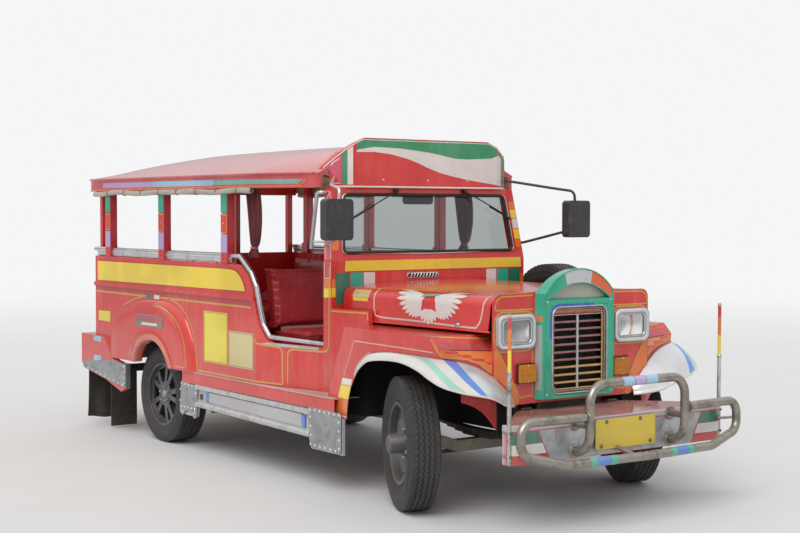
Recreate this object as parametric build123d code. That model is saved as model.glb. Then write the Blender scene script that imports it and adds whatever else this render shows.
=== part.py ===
from build123d import *
import math
import os

# A jeepney: a long-nosed open-sided passenger vehicle on a ladder frame.
# Millimetres, +X forward, +Y to the vehicle's left, +Z up, the road at z = 0.

# Wheels, axles and steering
wheelbase = 3096.0
front_axle_x = 1620.0
front_track = 1680.0
rear_track = 1534.0
front_tyre_radius = 386.0
front_tyre_width = 190.0
rear_tyre_radius = 354.0
rear_tyre_width = 225.0
rim_seat_radius = 226.0
rim_flange_radius = 240.0
rim_wall = 8.0
hub_radius = 62.0
spindle_radius = 26.0
fit_gap = 0.5
kingpin_span = 1460.0
kingpin_radius = 18.0
steer_at_rest = 23.0
steering_arm = 150.0
rear_axle_x = front_axle_x - wheelbase

# Ladder frame and running gear
gearbox_rear_x = 720.0
rail_rear_x = -2440.0
rail_front_x = 2020.0
rail_offset = 338.0
rail_width = 76.0
rail_bottom_z = 480.0
rail_height = 118.0
rail_wall = 8.0
rail_top_z = rail_bottom_z + rail_height
axle_tube_radius = 44.0
spring_width = 64.0
leaf_thickness = 9.0
exhaust_radius = 24.0
exhaust_y = -450.0

# Passenger body
body_rear_x = -2490.0
body_half_width = 925.0
wall = 30.0
floor_thickness = 22.0
sill_bottom_z = 580.0
sill_top_z = 1358.0
ledge_z = 1137.0
body_taper_x = 0.0
rear_arch_x = rear_axle_x + 46.0
rear_arch_z = 352.0
rear_well_half = 430.0
rear_well_top_z = 782.0
rear_flare_reach = 36.0

# Cab
cab_half_width = 760.0
door_front_x = 600.0
door_sill_z = 858.0
cowl_x = 690.0
cowl_top_z = 1400.0
cowl_side_front_x = 1000.0
cowl_front_half_width = 722.0
cowl_side_top_z = 1107.0
panel = 6.0
screen_top_x = 620.0
screen_glass_low_z = 1452.0
screen_glass_high_z = 1820.0
screen_low_half_width = 790.0
screen_high_half_width = 740.0
screen_pillar = 90.0
pillar_depth = 84.0
glass = 6.0

# Rails along the sills
rail_tube_radius = 17.0
rail_level_z = 1411.0
foot_height = 84.0

# Roof, posts and sign board
roof_rear_x = -2587.0
roof_overhang = 25.0
roof_half_width = body_half_width + roof_overhang
roof_fascia_z = 1865.0
roof_gutter_z = 1958.0
roof_crown_z = 2160.0
roof_shell = 22.0
roof_tuck = 40.0
roof_tuck_length = 110.0
roof_front_x = 560.0
roof_front_half_width = 790.0
post_size_x = 62.0
post_size_y = 46.0
curtain_radius = 19.0
curtain_rear_x = -2440.0
tied_curtain_inset = 37.0
board_x = 645.0
board_top_z = 2180.0
board_half_width = 775.0
board_front_half_width = 625.0
board_crown_half_width = 505.0
board_thickness = 26.0

# Nose
fender_inset = 5.0
fender_half_width = body_half_width - fender_inset
fender_rear_x = 777.0
fender_top_z = 1020.0
fender_bottom_z = 462.0
apron_half_width = 410.0
fascia_x = 2030.0
fascia_half_width = 607.0
fascia_top_z = 1252.0
fascia_corner = 52.0
fascia_bottom_z = 625.0
hood_gap = 8.0
hinge_x = 694.0
hinge_z = 1310.0
hood_crown_z = 1272.0
hood_edge_z = 1034.0
hood_rear_half_width = 705.0
hood_corner = 66.0
shell_half_width = 266.0
shell_flare = 34.0
shell_depth = 52.0
shell_bottom_z = 646.0
shell_shoulder_z = 1250.0
shell_top_z = 1387.0
arch_band = 84.0
grille_half_width = 222.0
grille_bottom_z = 665.0
grille_top_z = 1178.0
badge_height = 54.0
grille_bars = 9
headlamp_y = 452.0
headlamp_z = 1040.0
headlamp_width = 284.0
headlamp_height = 198.0

# Spare wheel on the left flank
spare_x = 900.0
spare_z = 975.0
spare_gap = 12.0
spare_inner_gap = 6.0

# Bumpers and bars
bumper_x = 2452.0
bumper_half_width = 824.0
bumper_bottom_z = 371.0
bumper_top_z = 582.0
bull_tube_radius = 25.0
bull_reach_x = 2655.0
ring_half_width = 836.0
ring_end_x = 2540.0
ring_top_z = 612.0
ring_low_z = 375.0
hoop_half_width = 368.0
hoop_x = 2568.0
hoop_top_z = 786.0
pole_radius = 9.0
pole_top_z = 1174.0
rear_bumper_x = -2680.0
rear_bumper_reach = 37.0
rear_bumper_half_width = body_half_width + rear_bumper_reach
rear_bumper_top_z = 732.0
tow_plate = 20.0
tow_hole_radius = 18.0
tow_hole_z = 415.0

# Seats
bench_inner_y = 500.0
bench_top_z = 950.0
cushion_thickness = 80.0
front_seat_z = 920.0
front_seat_back_z = 1350.0
front_cushion = 150.0


def block(x0, x1, y0, y1, z0, z1):
    """A box between two corners."""
    size = (x1 - x0, y1 - y0, z1 - z0)
    centre = ((x0 + x1) / 2, (y0 + y1) / 2, (z0 + z1) / 2)
    return Pos(*centre) * Box(*size)


def both_sides(shape):
    """The shape and its mirror image in the plane of symmetry, as one compound."""
    return Compound(children=[shape, mirror(shape, about=Plane.XZ)])


def group(shapes):
    """Several separate solids kept together in one sub-part."""
    solids = [solid for shape in shapes for solid in shape.solids()]
    return Compound(children=solids)


def side_profile(points, y0, y1):
    """A prism whose outline is drawn in side view, as (x, z), between two y values."""
    outline = Polyline(*[(x, y0, z) for x, z in points], close=True)
    return extrude(make_face(outline), amount=y1 - y0, dir=(0, 1, 0))


def plan_profile(points, z0, z1):
    """A prism whose outline is drawn in plan, as (x, y), between two z values."""
    outline = Polyline(*[(x, y, z0) for x, y in points], close=True)
    return extrude(make_face(outline), amount=z1 - z0, dir=(0, 0, 1))


def front_profile(points, x0, x1):
    """A prism whose outline is drawn in front view, as (y, z), between two x values."""
    outline = Polyline(*[(x0, y, z) for y, z in points], close=True)
    return extrude(make_face(outline), amount=x1 - x0, dir=(1, 0, 0))


def rod(start, end, radius):
    """A straight round bar between two points."""
    start, end = Vector(*start), Vector(*end)
    length = (end - start).length
    plane = Plane(origin=start, z_dir=end - start)
    return plane * Cylinder(radius, length, align=(Align.CENTER, Align.CENTER, Align.MIN))


def tube(points, radius, bend):
    """A round tube along straight runs joined by bends of one radius."""
    path = FilletPolyline(*points, radius=bend)
    section = Plane(origin=path @ 0, z_dir=path % 0) * Circle(radius)
    return sweep(section, path=path)


def wheel_ring(profile):
    """A body of revolution about the Y axis from an outline of (y, r) points."""
    outline = Polyline(*[(r, y, 0) for y, r in profile], close=True)
    return revolve(make_face(outline), axis=Axis.Y)


def tyre(radius, width):
    """A tyre centred on the origin, axle along Y, with rounded side walls."""
    bead = width * 0.36
    tread = width * 0.40
    shoulder = radius - 22
    middle = (rim_flange_radius + shoulder) / 2
    half = Polyline((rim_seat_radius, -bead, 0), (rim_flange_radius + 3, -bead, 0))
    wall_arc = ThreePointArc(
        (rim_flange_radius + 3, -bead, 0), (middle, -width / 2, 0), (shoulder, -tread - 6, 0)
    )
    crown = ThreePointArc((shoulder, -tread - 6, 0), (radius - 5, -tread + 3, 0), (radius, -tread / 2, 0))
    left = [half, wall_arc, crown]
    right = [mirror(edge, about=Plane.XZ) for edge in left]
    top = Line((radius, -tread / 2, 0), (radius, tread / 2, 0))
    base = Line((rim_seat_radius, -bead, 0), (rim_seat_radius, bead, 0))
    section = make_face(left + [top, base] + right)
    return revolve(section, axis=Axis.Y)


def rim_barrel(width):
    """The rolled rim that the tyre sits on, with a flange at each side."""
    bead = width * 0.36
    inner = rim_seat_radius - rim_wall
    lip = bead + rim_wall
    return wheel_ring(
        [
            (-lip, inner), (-lip, rim_flange_radius), (-bead, rim_flange_radius), (-bead, rim_seat_radius),
            (bead, rim_seat_radius), (bead, rim_flange_radius), (lip, rim_flange_radius), (lip, inner),
        ]
    )


def front_rim(has_hub=True):
    """A dished pressed-steel wheel with round vents, on a long hub or open at its centre."""
    barrel_inner = rim_seat_radius - rim_wall + 1
    bore = spindle_radius + fit_gap
    dish = [
        (-30, barrel_inner), (-44, 150), (-18, 96), (-18, hub_radius - 2), (-6, hub_radius - 2), (-6, 100),
        (-34, 150), (-20, barrel_inner),
    ]
    disc = wheel_ring(dish)
    vents = [
        Rot(0, index * 45, 0) * Pos(180, 0, 0) * Rot(90, 0, 0) * Cylinder(17, 160) for index in range(8)
    ]
    wheel = rim_barrel(front_tyre_width) + (disc - vents)
    if not has_hub:
        return wheel
    hub = wheel_ring(
        [
            (-18, 96), (-18, hub_radius), (-128, hub_radius - 8), (-138, hub_radius - 20), (-138, 0), (-118, 0),
            (-118, bore), (26, bore), (26, 96), (20, 150), (4, 150), (-6, 96),
        ]
    )
    nuts = [
        Rot(0, index * 60 + 30, 0) * Pos(80, -24, 0) * Rot(90, 0, 0) * Cylinder(11, 22) for index in range(6)
    ]
    return wheel + hub + nuts


def rear_rim():
    """A cast wheel with five pairs of spokes."""
    barrel_inner = rim_seat_radius - rim_wall + 1
    bore = spindle_radius + fit_gap
    disc = wheel_ring(
        [
            (-62, barrel_inner), (-70, 70), (-78, 40), (-78, 0), (-58, 0), (-58, bore), (66, bore),
            (66, 140), (0, 140), (-20, 86), (-44, 96), (-40, barrel_inner),
        ]
    )
    cutters = []
    for index in range(5):
        turn = Rot(0, index * 72, 0)
        # columns: half angle of the window at the hub and at the rim, inner and outer radius, turn
        for near, far, low, high, swing in ((13, 17, 92, 200, 36), (3.5, 7, 104, 198, 0)):
            corners = [(low, -near), (high, -far), (high, far), (low, near)]
            points = [
                (r * math.cos(math.radians(a + swing)), -120, r * math.sin(math.radians(a + swing)))
                for r, a in corners
            ]
            window = extrude(make_face(Polyline(*points, close=True)), amount=110, dir=(0, 1, 0))
            cutters.append(turn * window)
    return rim_barrel(rear_tyre_width) + (disc - cutters)


def at_kingpin(shape, side):
    """Places a right-hand wheel-end piece, drawn about its kingpin, at one side and steers it."""
    if side > 0:
        shape = mirror(shape, about=Plane.XZ)
    place = Pos(front_axle_x, side * kingpin_span / 2, front_tyre_radius)
    return place * Rot(0, 0, -steer_at_rest) * shape


def knuckle():
    """A steering knuckle: fork, kingpin, spindle and a rearward steering arm."""
    scrub = (front_track - kingpin_span) / 2
    fork_y = -52.0
    pin = Cylinder(kingpin_radius, 150)
    arms = [Pos(0, fork_y / 2, z) * Box(56, 108, 18) for z in (64, -64)]
    web = Pos(0, fork_y - 8, 0) * Box(60, 24, 146)
    spindle = rod((0, fork_y, 0), (0, -scrub - 110, 0), spindle_radius)
    plate = rod((0, fork_y - 16, 0), (0, fork_y - 22, 0), 86)
    arm = Pos(-steering_arm / 2, 0, -64) * Box(steering_arm, 34, 16)
    end = Pos(-steering_arm, 0, -64) * Cylinder(22, 16)
    ball_pin = Pos(-steering_arm, 0, -84) * Cylinder(8, 56)
    return pin + arms + web + spindle + plate + arm + end + ball_pin


def tie_rod():
    """The track rod between the two steering arms."""
    turn = math.radians(steer_at_rest)
    x = front_axle_x - steering_arm * math.cos(turn)
    shift = steering_arm * math.sin(turn)
    z = front_tyre_radius - 92
    reach = kingpin_span / 2
    eye = Cylinder(20, 18) - Cylinder(8 + fit_gap, 20)
    eyes = [Pos(x, shift + side * reach, z) * eye for side in (-1, 1)]
    bar = rod((x, shift - reach + 18, z), (x, shift + reach - 18, z), 12)
    return bar + eyes


def front_axle():
    """A forged beam that drops between the springs and ends in kingpin bosses."""
    z = front_tyre_radius
    half = kingpin_span / 2
    outline = [
        (-half, z + 32), (-half + 90, z + 32), (-half + 190, z - 2), (half - 190, z - 2), (half - 90, z + 32),
        (half, z + 32), (half, z - 32), (half - 80, z - 32), (half - 180, z - 66), (-half + 180, z - 66),
        (-half + 80, z - 32), (-half, z - 32),
    ]
    beam = front_profile(outline, front_axle_x - 30, front_axle_x + 30)
    bosses = [Pos(front_axle_x, side * half, z) * Cylinder(30, 98) for side in (-1, 1)]
    bores = [Pos(front_axle_x, side * half, z) * Cylinder(kingpin_radius + fit_gap, 120) for side in (-1, 1)]
    ends = [Pos(front_axle_x, side * (half + 40), z) * Box(90, 60, 90) for side in (-1, 1)]
    return (beam - ends) + bosses - bores


def rear_axle():
    """A live axle: tubes, a differential housing and stub shafts."""
    z = rear_tyre_radius
    half = rear_track / 2
    body = rod((rear_axle_x, -half + 75, z), (rear_axle_x, half - 75, z), axle_tube_radius)
    stubs = rod((rear_axle_x, -half - 54, z), (rear_axle_x, half + 54, z), spindle_radius)
    housing = Pos(rear_axle_x, 0, z) * (Rot(90, 0, 0) * Cylinder(138, 130) & Sphere(148))
    nose = rod((rear_axle_x, 0, z), (rear_axle_x + 210, 0, z + 14), 62)
    return body + stubs + housing + nose


def spring_pack(x, length, top_z, half_drop):
    """A pack of curved leaves, the longest on top, hung from two eyes."""
    leaves = None
    for index in range(5):
        reach = length / 2 * (1 - 0.17 * index)
        drop = half_drop * (1 - (2 * reach / length) ** 2)
        high = top_z - drop - index * leaf_thickness
        middle = top_z - half_drop - index * leaf_thickness
        upper = ThreePointArc((x - reach, 0, high), (x, 0, middle), (x + reach, 0, high))
        lower = ThreePointArc(
            (x - reach, 0, high - leaf_thickness), (x, 0, middle - leaf_thickness),
            (x + reach, 0, high - leaf_thickness),
        )
        ends = [Line(upper @ side, lower @ side) for side in (0, 1)]
        leaf = extrude(make_face([upper, lower] + ends), amount=spring_width / 2, dir=(0, 1, 0), both=True)
        leaves = leaf if leaves is None else leaves + leaf
    eyes = [
        Pos(x + side * (length / 2 + 8), 0, top_z - 4) * Rot(90, 0, 0) * Cylinder(16, spring_width)
        for side in (-1, 1)
    ]
    hangers = [
        block(x + side * (length / 2 + 8) - 14, x + side * (length / 2 + 8) + 14,
              -spring_width / 2, spring_width / 2, top_z - 4, rail_bottom_z)
        for side in (-1, 1)
    ]
    return leaves + eyes + hangers


def leaf_springs():
    """Four leaf springs under the rails, seated on the axles."""
    packs = []
    # columns: axle x, spring length, height of the axle under the spring
    for x, length, seat in (
        (front_axle_x, 900.0, front_tyre_radius - 2), (rear_axle_x, 1080.0, rear_tyre_radius + axle_tube_radius),
    ):
        stack = 5 * leaf_thickness
        top = rail_bottom_z - 22
        drop = top - stack - seat
        pack = spring_pack(x, length, top, max(drop, 4.0))
        packs.append(Pos(0, -rail_offset, 0) * pack)
        packs.append(Pos(0, rail_offset, 0) * pack)
    return group(packs)


def chassis_frame():
    """Two box rails with cross members."""
    length = rail_front_x - rail_rear_x
    middle = (rail_front_x + rail_rear_x) / 2
    outer = Box(length, rail_width, rail_height) - Box(
        length + 2, rail_width - 2 * rail_wall, rail_height - 2 * rail_wall
    )
    z = rail_bottom_z + rail_height / 2
    rails = [Pos(middle, side * rail_offset, z) * outer for side in (-1, 1)]
    inner = rail_offset - rail_width / 2
    members = [
        block(x - 40, x + 40, -inner, inner, z - 30, z + 30)
        for x in (rail_rear_x + 40, -1850, -1050, -250, rail_front_x - 40)
    ]
    return rails[0] + rails[1] + members


def engine():
    """The engine and gearbox as one plain mass between the rails."""
    block_part = block(1210, 1860, -240, 240, 505, 1040)
    gearbox = block(gearbox_rear_x, 1210, -120, 120, 450, rail_top_z - 4)
    inner = rail_offset - rail_width / 2
    mounts = block(1400, 1480, -inner, inner, 505, 560)
    radiator = block(
        fascia_x - 82, fascia_x - 20, -grille_half_width - 30, grille_half_width + 30,
        rail_bottom_z + rail_height / 2 + 30, grille_top_z + 40,
    )
    return Compound(children=[block_part + gearbox + mounts, radiator])


def propeller_shaft():
    """The shaft from the gearbox to the rear axle."""
    start = (gearbox_rear_x, 0, 520)
    end = (rear_axle_x + 210, 0, rear_tyre_radius + 14)
    yoke = rod(start, (gearbox_rear_x - 60, 0, 520), 44)
    return rod((gearbox_rear_x - 40, 0, 519), end, 34) + yoke - rear_axle()


def exhaust():
    """A pipe under the right-hand rail, a silencer, and a tail pipe before the rear wheel."""
    pipe = tube(
        [(1210, -190, 540), (1130, -190, 540), (1040, -190, 425), (900, exhaust_y, 425),
         (-580, exhaust_y, 425), (-730, -640, 318), (-730, -850, 318)],
        exhaust_radius, 40,
    )
    silencer = rod((120, exhaust_y, 425), (-430, exhaust_y, 425), 68)
    strap = block(-170, -130, exhaust_y - 6, exhaust_y + 6, 480, rail_top_z)
    return pipe + silencer + strap


def fuel_tank():
    """A slab tank hung outside the left-hand rail."""
    tank = block(-760, -180, rail_offset + rail_width / 2 + 8, 800, 372, rail_top_z)
    return fillet(tank.edges().filter_by(Axis.X), 30)


def swell_rows():
    """The swell round the rear wheel: angle about the arch's middle, and radius of edge, crest and foot."""
    return (
        (20, 352, 520, 640), (32, 345, 560, 690), (45, 350, 620, 730), (58, 371, 662, 750), (72, 396, 674, 735),
        (88, 411, 682, 710), (104, 418, 702, 722), (121, 425, 756, 768), (134, 410, 822, 835), (143, 383, 846, 860),
        (151, 358, 815, 830), (163, 322, 752, 770),
    )


def arch_point(angle, radius):
    """Side-view place of a point given about the middle of the rear arch."""
    a = math.radians(angle)
    return rear_arch_x + radius * math.cos(a), rear_arch_z + radius * math.sin(a)


def arch_cut(side):
    """The prism that opens the rear wheel arch through the wall: steep behind the wheel, sloping ahead of it."""
    y0, y1 = sorted((side * (body_half_width - 2.5 * wall), side * (body_half_width + 4 * rear_flare_reach)))
    edge = [arch_point(angle, radius) for angle, radius, _, _ in swell_rows()]
    ends = [(edge[-1][0], 0), (edge[0][0], 0)]
    return side_profile(edge + ends, y0, y1)


def wall_plan(inset, reach):
    """Plan points of the right-hand body side from the rear corner to the door's front edge."""
    out = -(body_half_width - inset)
    cab = -(cab_half_width + wall - inset)
    return [(body_rear_x - reach, out), (body_taper_x, out), (door_front_x + reach, cab)]


def door_curve():
    """Side-view points of the body's edge along the open doorway, from its top rear to the sill."""
    # columns: x from the taper line, height as a share of the way from the sill up to the rail
    shares = ((-300, 1.0), (-200, 0.98), (-110, 0.87), (-48, 0.70), (-8, 0.44), (28, 0.20), (90, 0.04), (150, 0.0))
    rise = sill_top_z - door_sill_z
    return [(body_taper_x + x, door_sill_z + share * rise) for x, share in shares]


def side_wall():
    """The right-hand side of the passenger body with its low door sill and wheel arch."""
    plan = wall_plan(0, 0) + wall_plan(wall, 0)[::-1]
    panel_solid = plan_profile(plan, sill_bottom_z, sill_top_z)
    curve = door_curve()
    opening = [curve[0]] + curve[1:] + [
        (door_front_x + wall, door_sill_z), (door_front_x + wall, sill_top_z + wall), (curve[0][0], sill_top_z + wall)
    ]
    doorway = side_profile(opening, -body_half_width - wall, -cab_half_width / 2)
    moulding_plan = wall_plan(-14, 0)[:2] + wall_plan(0, 0)[:2][::-1]
    moulding = plan_profile(moulding_plan, ledge_z - 14, ledge_z + 14)
    return panel_solid + moulding - doorway - arch_cut(-1)


def rear_flare():
    """The swollen panel round the rear wheel arch, highest behind the wheel."""
    y = -body_half_width
    stations = []
    for angle, edge, crest, foot in swell_rows():
        corners = []
        for radius, out in ((edge, -1), (edge, rear_flare_reach), (crest, rear_flare_reach), (foot, -1)):
            x, z = arch_point(angle, radius)
            corners.append((x, y - out, z))
        stations.append(make_face(Polyline(*corners, close=True)))
    return loft(stations, ruled=True)


def rear_wing_outline():
    """Side-view points of the wing that runs forward from the rear step along the body side."""
    return [
        (rear_bumper_x, 502), (rear_bumper_x, rear_bumper_top_z), (-2256, rear_bumper_top_z), (-2116, 574),
        (-1880, 540), (-1880, 360), (-1960, 330), (-2230, 400), (rear_bumper_x + 60, 456),
    ]


def side_walls():
    """Both body sides, each with its flared arch, cut level with the sill and clear of the rear wing."""
    below = block(
        body_rear_x, body_taper_x, -body_half_width - 4 * rear_flare_reach, 0, -200, sill_bottom_z
    )
    wing = side_profile(rear_wing_outline(), -body_half_width - 4 * rear_flare_reach, -body_half_width)
    flare = rear_flare() - below - wing
    return both_sides(side_wall() + flare)


def floor():
    """The floor of cab and passenger space, with raised boxes over the rear wheels."""
    plan = [
        (body_rear_x, -body_half_width + wall), (body_taper_x, -body_half_width + wall),
        (door_front_x, -cab_half_width), (cowl_x - panel, -cab_half_width), (cowl_x - panel, cab_half_width),
        (door_front_x, cab_half_width), (body_taper_x, body_half_width - wall),
        (body_rear_x, body_half_width - wall),
    ]
    top = rail_top_z + floor_thickness
    plate = plan_profile(plan, rail_top_z, top)
    inner_y = rear_track / 2 - rear_tyre_width / 2 - 70
    outer_y = body_half_width - wall
    boxes = []
    wells = []
    for side in (-1, 1):
        y0, y1 = sorted((side * inner_y, side * outer_y))
        boxes.append(block(rear_arch_x - rear_well_half, rear_arch_x + rear_well_half, y0, y1, rail_top_z, rear_well_top_z))
        w0, w1 = sorted((side * (inner_y + panel), side * (outer_y + 2)))
        half = rear_well_half - panel
        wells.append(block(rear_arch_x - half, rear_arch_x + half, w0, w1, 0, rear_well_top_z - panel))
    return plate + boxes - wells


def cowl_flank(side):
    """One cowl side: upright behind the door post, then drawn in towards the hood, with a shelf on top."""
    out = cab_half_width + wall
    inner_front = cowl_front_half_width - wall
    plan = [
        (door_front_x, out), (cowl_x, out), (cowl_side_front_x, cowl_front_half_width),
        (cowl_side_front_x, inner_front), (cowl_x, cab_half_width), (door_front_x, cab_half_width),
    ]
    shelf_y = hood_rear_half_width + hood_gap
    share = (cab_half_width - shelf_y) / (cab_half_width - inner_front)
    shelf_x = cowl_x + share * (cowl_side_front_x - cowl_x)
    shelf = [
        (cowl_x - panel, cab_half_width + panel), (cowl_x, cab_half_width + panel), (shelf_x, shelf_y + panel),
        (shelf_x, shelf_y), (cowl_x - panel, shelf_y),
    ]
    low = plan_profile([(x, side * y) for x, y in plan], sill_bottom_z, cowl_side_top_z)
    top = plan_profile([(x, side * y) for x, y in shelf], cowl_side_top_z - panel, cowl_side_top_z)
    post = block(
        door_front_x, cowl_x, min(side * out, side * cab_half_width), max(side * out, side * cab_half_width),
        sill_bottom_z, cowl_top_z,
    )
    return [low, top, post]


def cowl():
    """The scuttle: a cross panel under the windscreen and the two side panels beside the hood."""
    low = rail_top_z + floor_thickness
    cross = block(cowl_x - wall, cowl_x, -cab_half_width, cab_half_width, low, cowl_top_z)
    sides = cowl_flank(-1) + cowl_flank(1)
    front = cowl_front_half_width - wall
    toe = plan_profile(
        [(cowl_x - panel, -cab_half_width), (cowl_x, -cab_half_width), (cowl_side_front_x, -front),
         (cowl_side_front_x, front), (cowl_x, cab_half_width), (cowl_x - panel, cab_half_width)],
        sill_bottom_z, rail_top_z - panel,
    )
    rails = block(
        cowl_x - 50, cowl_side_front_x + 10, -rail_offset - rail_width, rail_offset + rail_width, 0, rail_top_z + 4
    )
    return cross + sides + (toe - rails) - steering_path(steering_clear)


steering_y = 380.0
steering_wheel_x = 345.0
steering_wheel_z = 1232.0
steering_slope = 38.0
steering_wheel_radius = 195.0
column_radius = 19.0
steering_clear = 8.0
column_length = 760.0


def along_column(distance):
    """A point on the steering column's axis, measured forward and down from the wheel."""
    a = math.radians(steering_slope)
    return (
        steering_wheel_x + distance * math.cos(a), steering_y, steering_wheel_z - distance * math.sin(a)
    )


def steering_path(gap):
    """The straight room that the steering column takes, with a gap round it."""
    return rod(along_column(20), along_column(column_length), column_radius + gap)


def steering_column():
    """The column tube with a bracket to the dashboard and a steering box at its foot."""
    tube_part = rod(along_column(26), along_column(column_length), column_radius)
    foot = along_column(column_length)
    box = block(foot[0] - 60, foot[0] + 60, steering_y - 62, steering_y + 18, rail_top_z, foot[2] + 50)
    return tube_part + box


def steering_wheel():
    """A three-spoke wheel on a short boss, square to its column."""
    centre = along_column(0)
    plane = Plane(origin=centre, x_dir=(0, 1, 0), z_dir=Vector(*along_column(1)) - Vector(*centre))
    rim = plane * Torus(steering_wheel_radius - 13, 13)
    boss = plane * Pos(0, 0, 8) * Cylinder(38, 34)
    spokes = [
        plane * Rot(0, 0, index * 120 + 90) * Pos(steering_wheel_radius / 2 - 5, 0, 2)
        * Box(steering_wheel_radius - 20, 26, 10)
        for index in range(3)
    ]
    return rim + boss + spokes


def dashboard():
    """A plain padded dash under the windscreen."""
    top = cowl_top_z - 40
    outline = [
        (cowl_x - wall, top - 220), (cowl_x - wall, top), (cowl_x - wall - 110, top - 20), (cowl_x - wall - 130, top - 190)
    ]
    return side_profile(outline, -cab_half_width + 4, cab_half_width - 4)


def screen_point(z):
    """The x of the windscreen frame's front face at a height."""
    share = (z - cowl_top_z) / (roof_fascia_z - cowl_top_z)
    return cowl_x + share * (screen_top_x - cowl_x)


def screen_half(z):
    """Half the windscreen frame's width at a height."""
    share = (z - cowl_top_z) / (roof_fascia_z - cowl_top_z)
    return screen_low_half_width + share * (screen_high_half_width - screen_low_half_width)


def screen_slab(z0, z1, depth0, depth1, rim):
    """A leaning, tapering slab of the windscreen between two heights and two depths, inset by its rim."""
    sections = []
    for depth in (depth0, depth1):
        low, high = screen_half(z0) - rim, screen_half(z1) - rim
        corners = [(low, z0), (high, z1), (-high, z1), (-low, z0)]
        outline = Polyline(*[(screen_point(z) - depth, y, z) for y, z in corners], close=True)
        sections.append(make_face(outline))
    return loft(sections, ruled=True)


def windscreen_frame():
    """The frame round the windscreen, leaning back, with a deep pillar at each side."""
    slab = screen_slab(cowl_top_z, roof_fascia_z, 0, 44, 0)
    hole = screen_slab(screen_glass_low_z, screen_glass_high_z, -20, 80, screen_pillar)
    deep = screen_slab(cowl_top_z, roof_fascia_z, 40, pillar_depth, 0) - screen_slab(
        cowl_top_z - 20, roof_fascia_z + 20, 30, pillar_depth + 20, wall
    )
    return slab - hole + deep


def windscreen_glass():
    """One flat pane seated in the middle of its frame."""
    return screen_slab(screen_glass_low_z, screen_glass_high_z, 16, 16 + glass, screen_pillar)


def cowl_half(x):
    """The outside half width of the cowl's drawn-in side at an x."""
    share = (x - cowl_x) / (cowl_side_front_x - cowl_x)
    return cab_half_width + wall + share * (cowl_front_half_width - cab_half_width - wall)


def fender_plan():
    """Plan points of the right-hand fender, from its rear corner round the nose to the apron."""
    return [
        (fender_rear_x, -cowl_half(fender_rear_x)), (fender_rear_x, -fender_half_width + 35),
        (1300, -fender_half_width), (fascia_x - 92, -fender_half_width), (fascia_x, -fascia_half_width),
        (fascia_x, -apron_half_width), (cowl_side_front_x, -apron_half_width),
        (cowl_side_front_x, -cowl_front_half_width),
    ]


def fender_side(inset, bottom):
    """Side-view points of the fender: slanted rear edge, level top and folded front corner."""
    top = fender_top_z - inset
    rear = fender_rear_x + inset
    return [
        (rear, bottom), (rear, 537), (rear + 222, top), (1878 - inset * 0.4, top),
        (1977, top - 99), (fascia_x + 5, top - 99 - (fascia_x + 5 - 1977)), (fascia_x + 5, bottom),
    ]


def front_arch():
    """The opening of the front wheel arch, drawn in side view and cut through the outer panel."""
    y = -fender_half_width - 60
    points = {
        "foot": (1030, y, fender_bottom_z - 60), "rear": (1030, y, fender_bottom_z + 12),
        "rear_top": (1136, y, 745), "peak": (1440, y, 876), "front_top": (1660, y, 874),
        "shoulder": (1857, y, 858), "tip": (2110, y, 790), "front": (2110, y, fender_bottom_z - 60),
    }
    edges = [
        Line(points["foot"], points["rear"]),
        ThreePointArc(points["rear"], points["rear_top"], points["peak"]),
        ThreePointArc(points["peak"], points["front_top"], points["shoulder"]),
        Line(points["shoulder"], points["tip"]), Line(points["tip"], points["front"]),
        Line(points["front"], points["foot"]),
    ]
    return extrude(make_face(edges), amount=fender_half_width - cab_half_width + 40, dir=(0, 1, 0))


def steer_room():
    """The ball that the right-hand tyre sweeps about its kingpin, outside the inner apron."""
    scrub = (front_track - kingpin_span) / 2 + front_tyre_width / 2
    radius = math.hypot(front_tyre_radius, scrub) + 14
    ball = Pos(front_axle_x, -kingpin_span / 2, front_tyre_radius) * Sphere(radius)
    keep = block(
        front_axle_x - 800, front_axle_x + 800, -2 * fender_half_width, -apron_half_width - panel - 6, -100, 2000
    )
    return ball & keep


def fender_block(plan_inset, bottom):
    """The right-hand fender as a full block, inset from its outside by a sheet's thickness."""
    plan = make_face(Polyline(*[(x, y, bottom) for x, y in fender_plan()], close=True))
    if plan_inset:
        plan = offset(plan, amount=-plan_inset, kind=Kind.INTERSECTION)
    return extrude(plan, amount=2 * fender_top_z, dir=(0, 0, 1)) & side_profile(
        fender_side(plan_inset, bottom), -fender_half_width - 5, 0
    )


def spare_well(radius):
    """The round room that the spare wheel takes out of the left-hand fender."""
    y0 = cab_half_width + wall
    return rod((spare_x, y0, spare_z), (spare_x, y0 + 400, spare_z), radius)


def fenders():
    """Both front fenders as sheet shells open below, the left one with a well for the spare wheel."""
    outer = fender_block(0, fender_bottom_z)
    shell = outer - fender_block(panel, fender_bottom_z - 50) - front_arch() - steer_room()
    left = mirror(shell, about=Plane.XZ)
    well_radius = front_tyre_radius + spare_gap
    lining = (spare_well(well_radius + panel) & mirror(outer, about=Plane.XZ)) - mirror(
        front_arch() + steer_room(), about=Plane.XZ
    )
    left = (left + lining - spare_well(well_radius)).solids().sort_by(SortBy.VOLUME)[-1]
    return group([shell, left])


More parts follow.
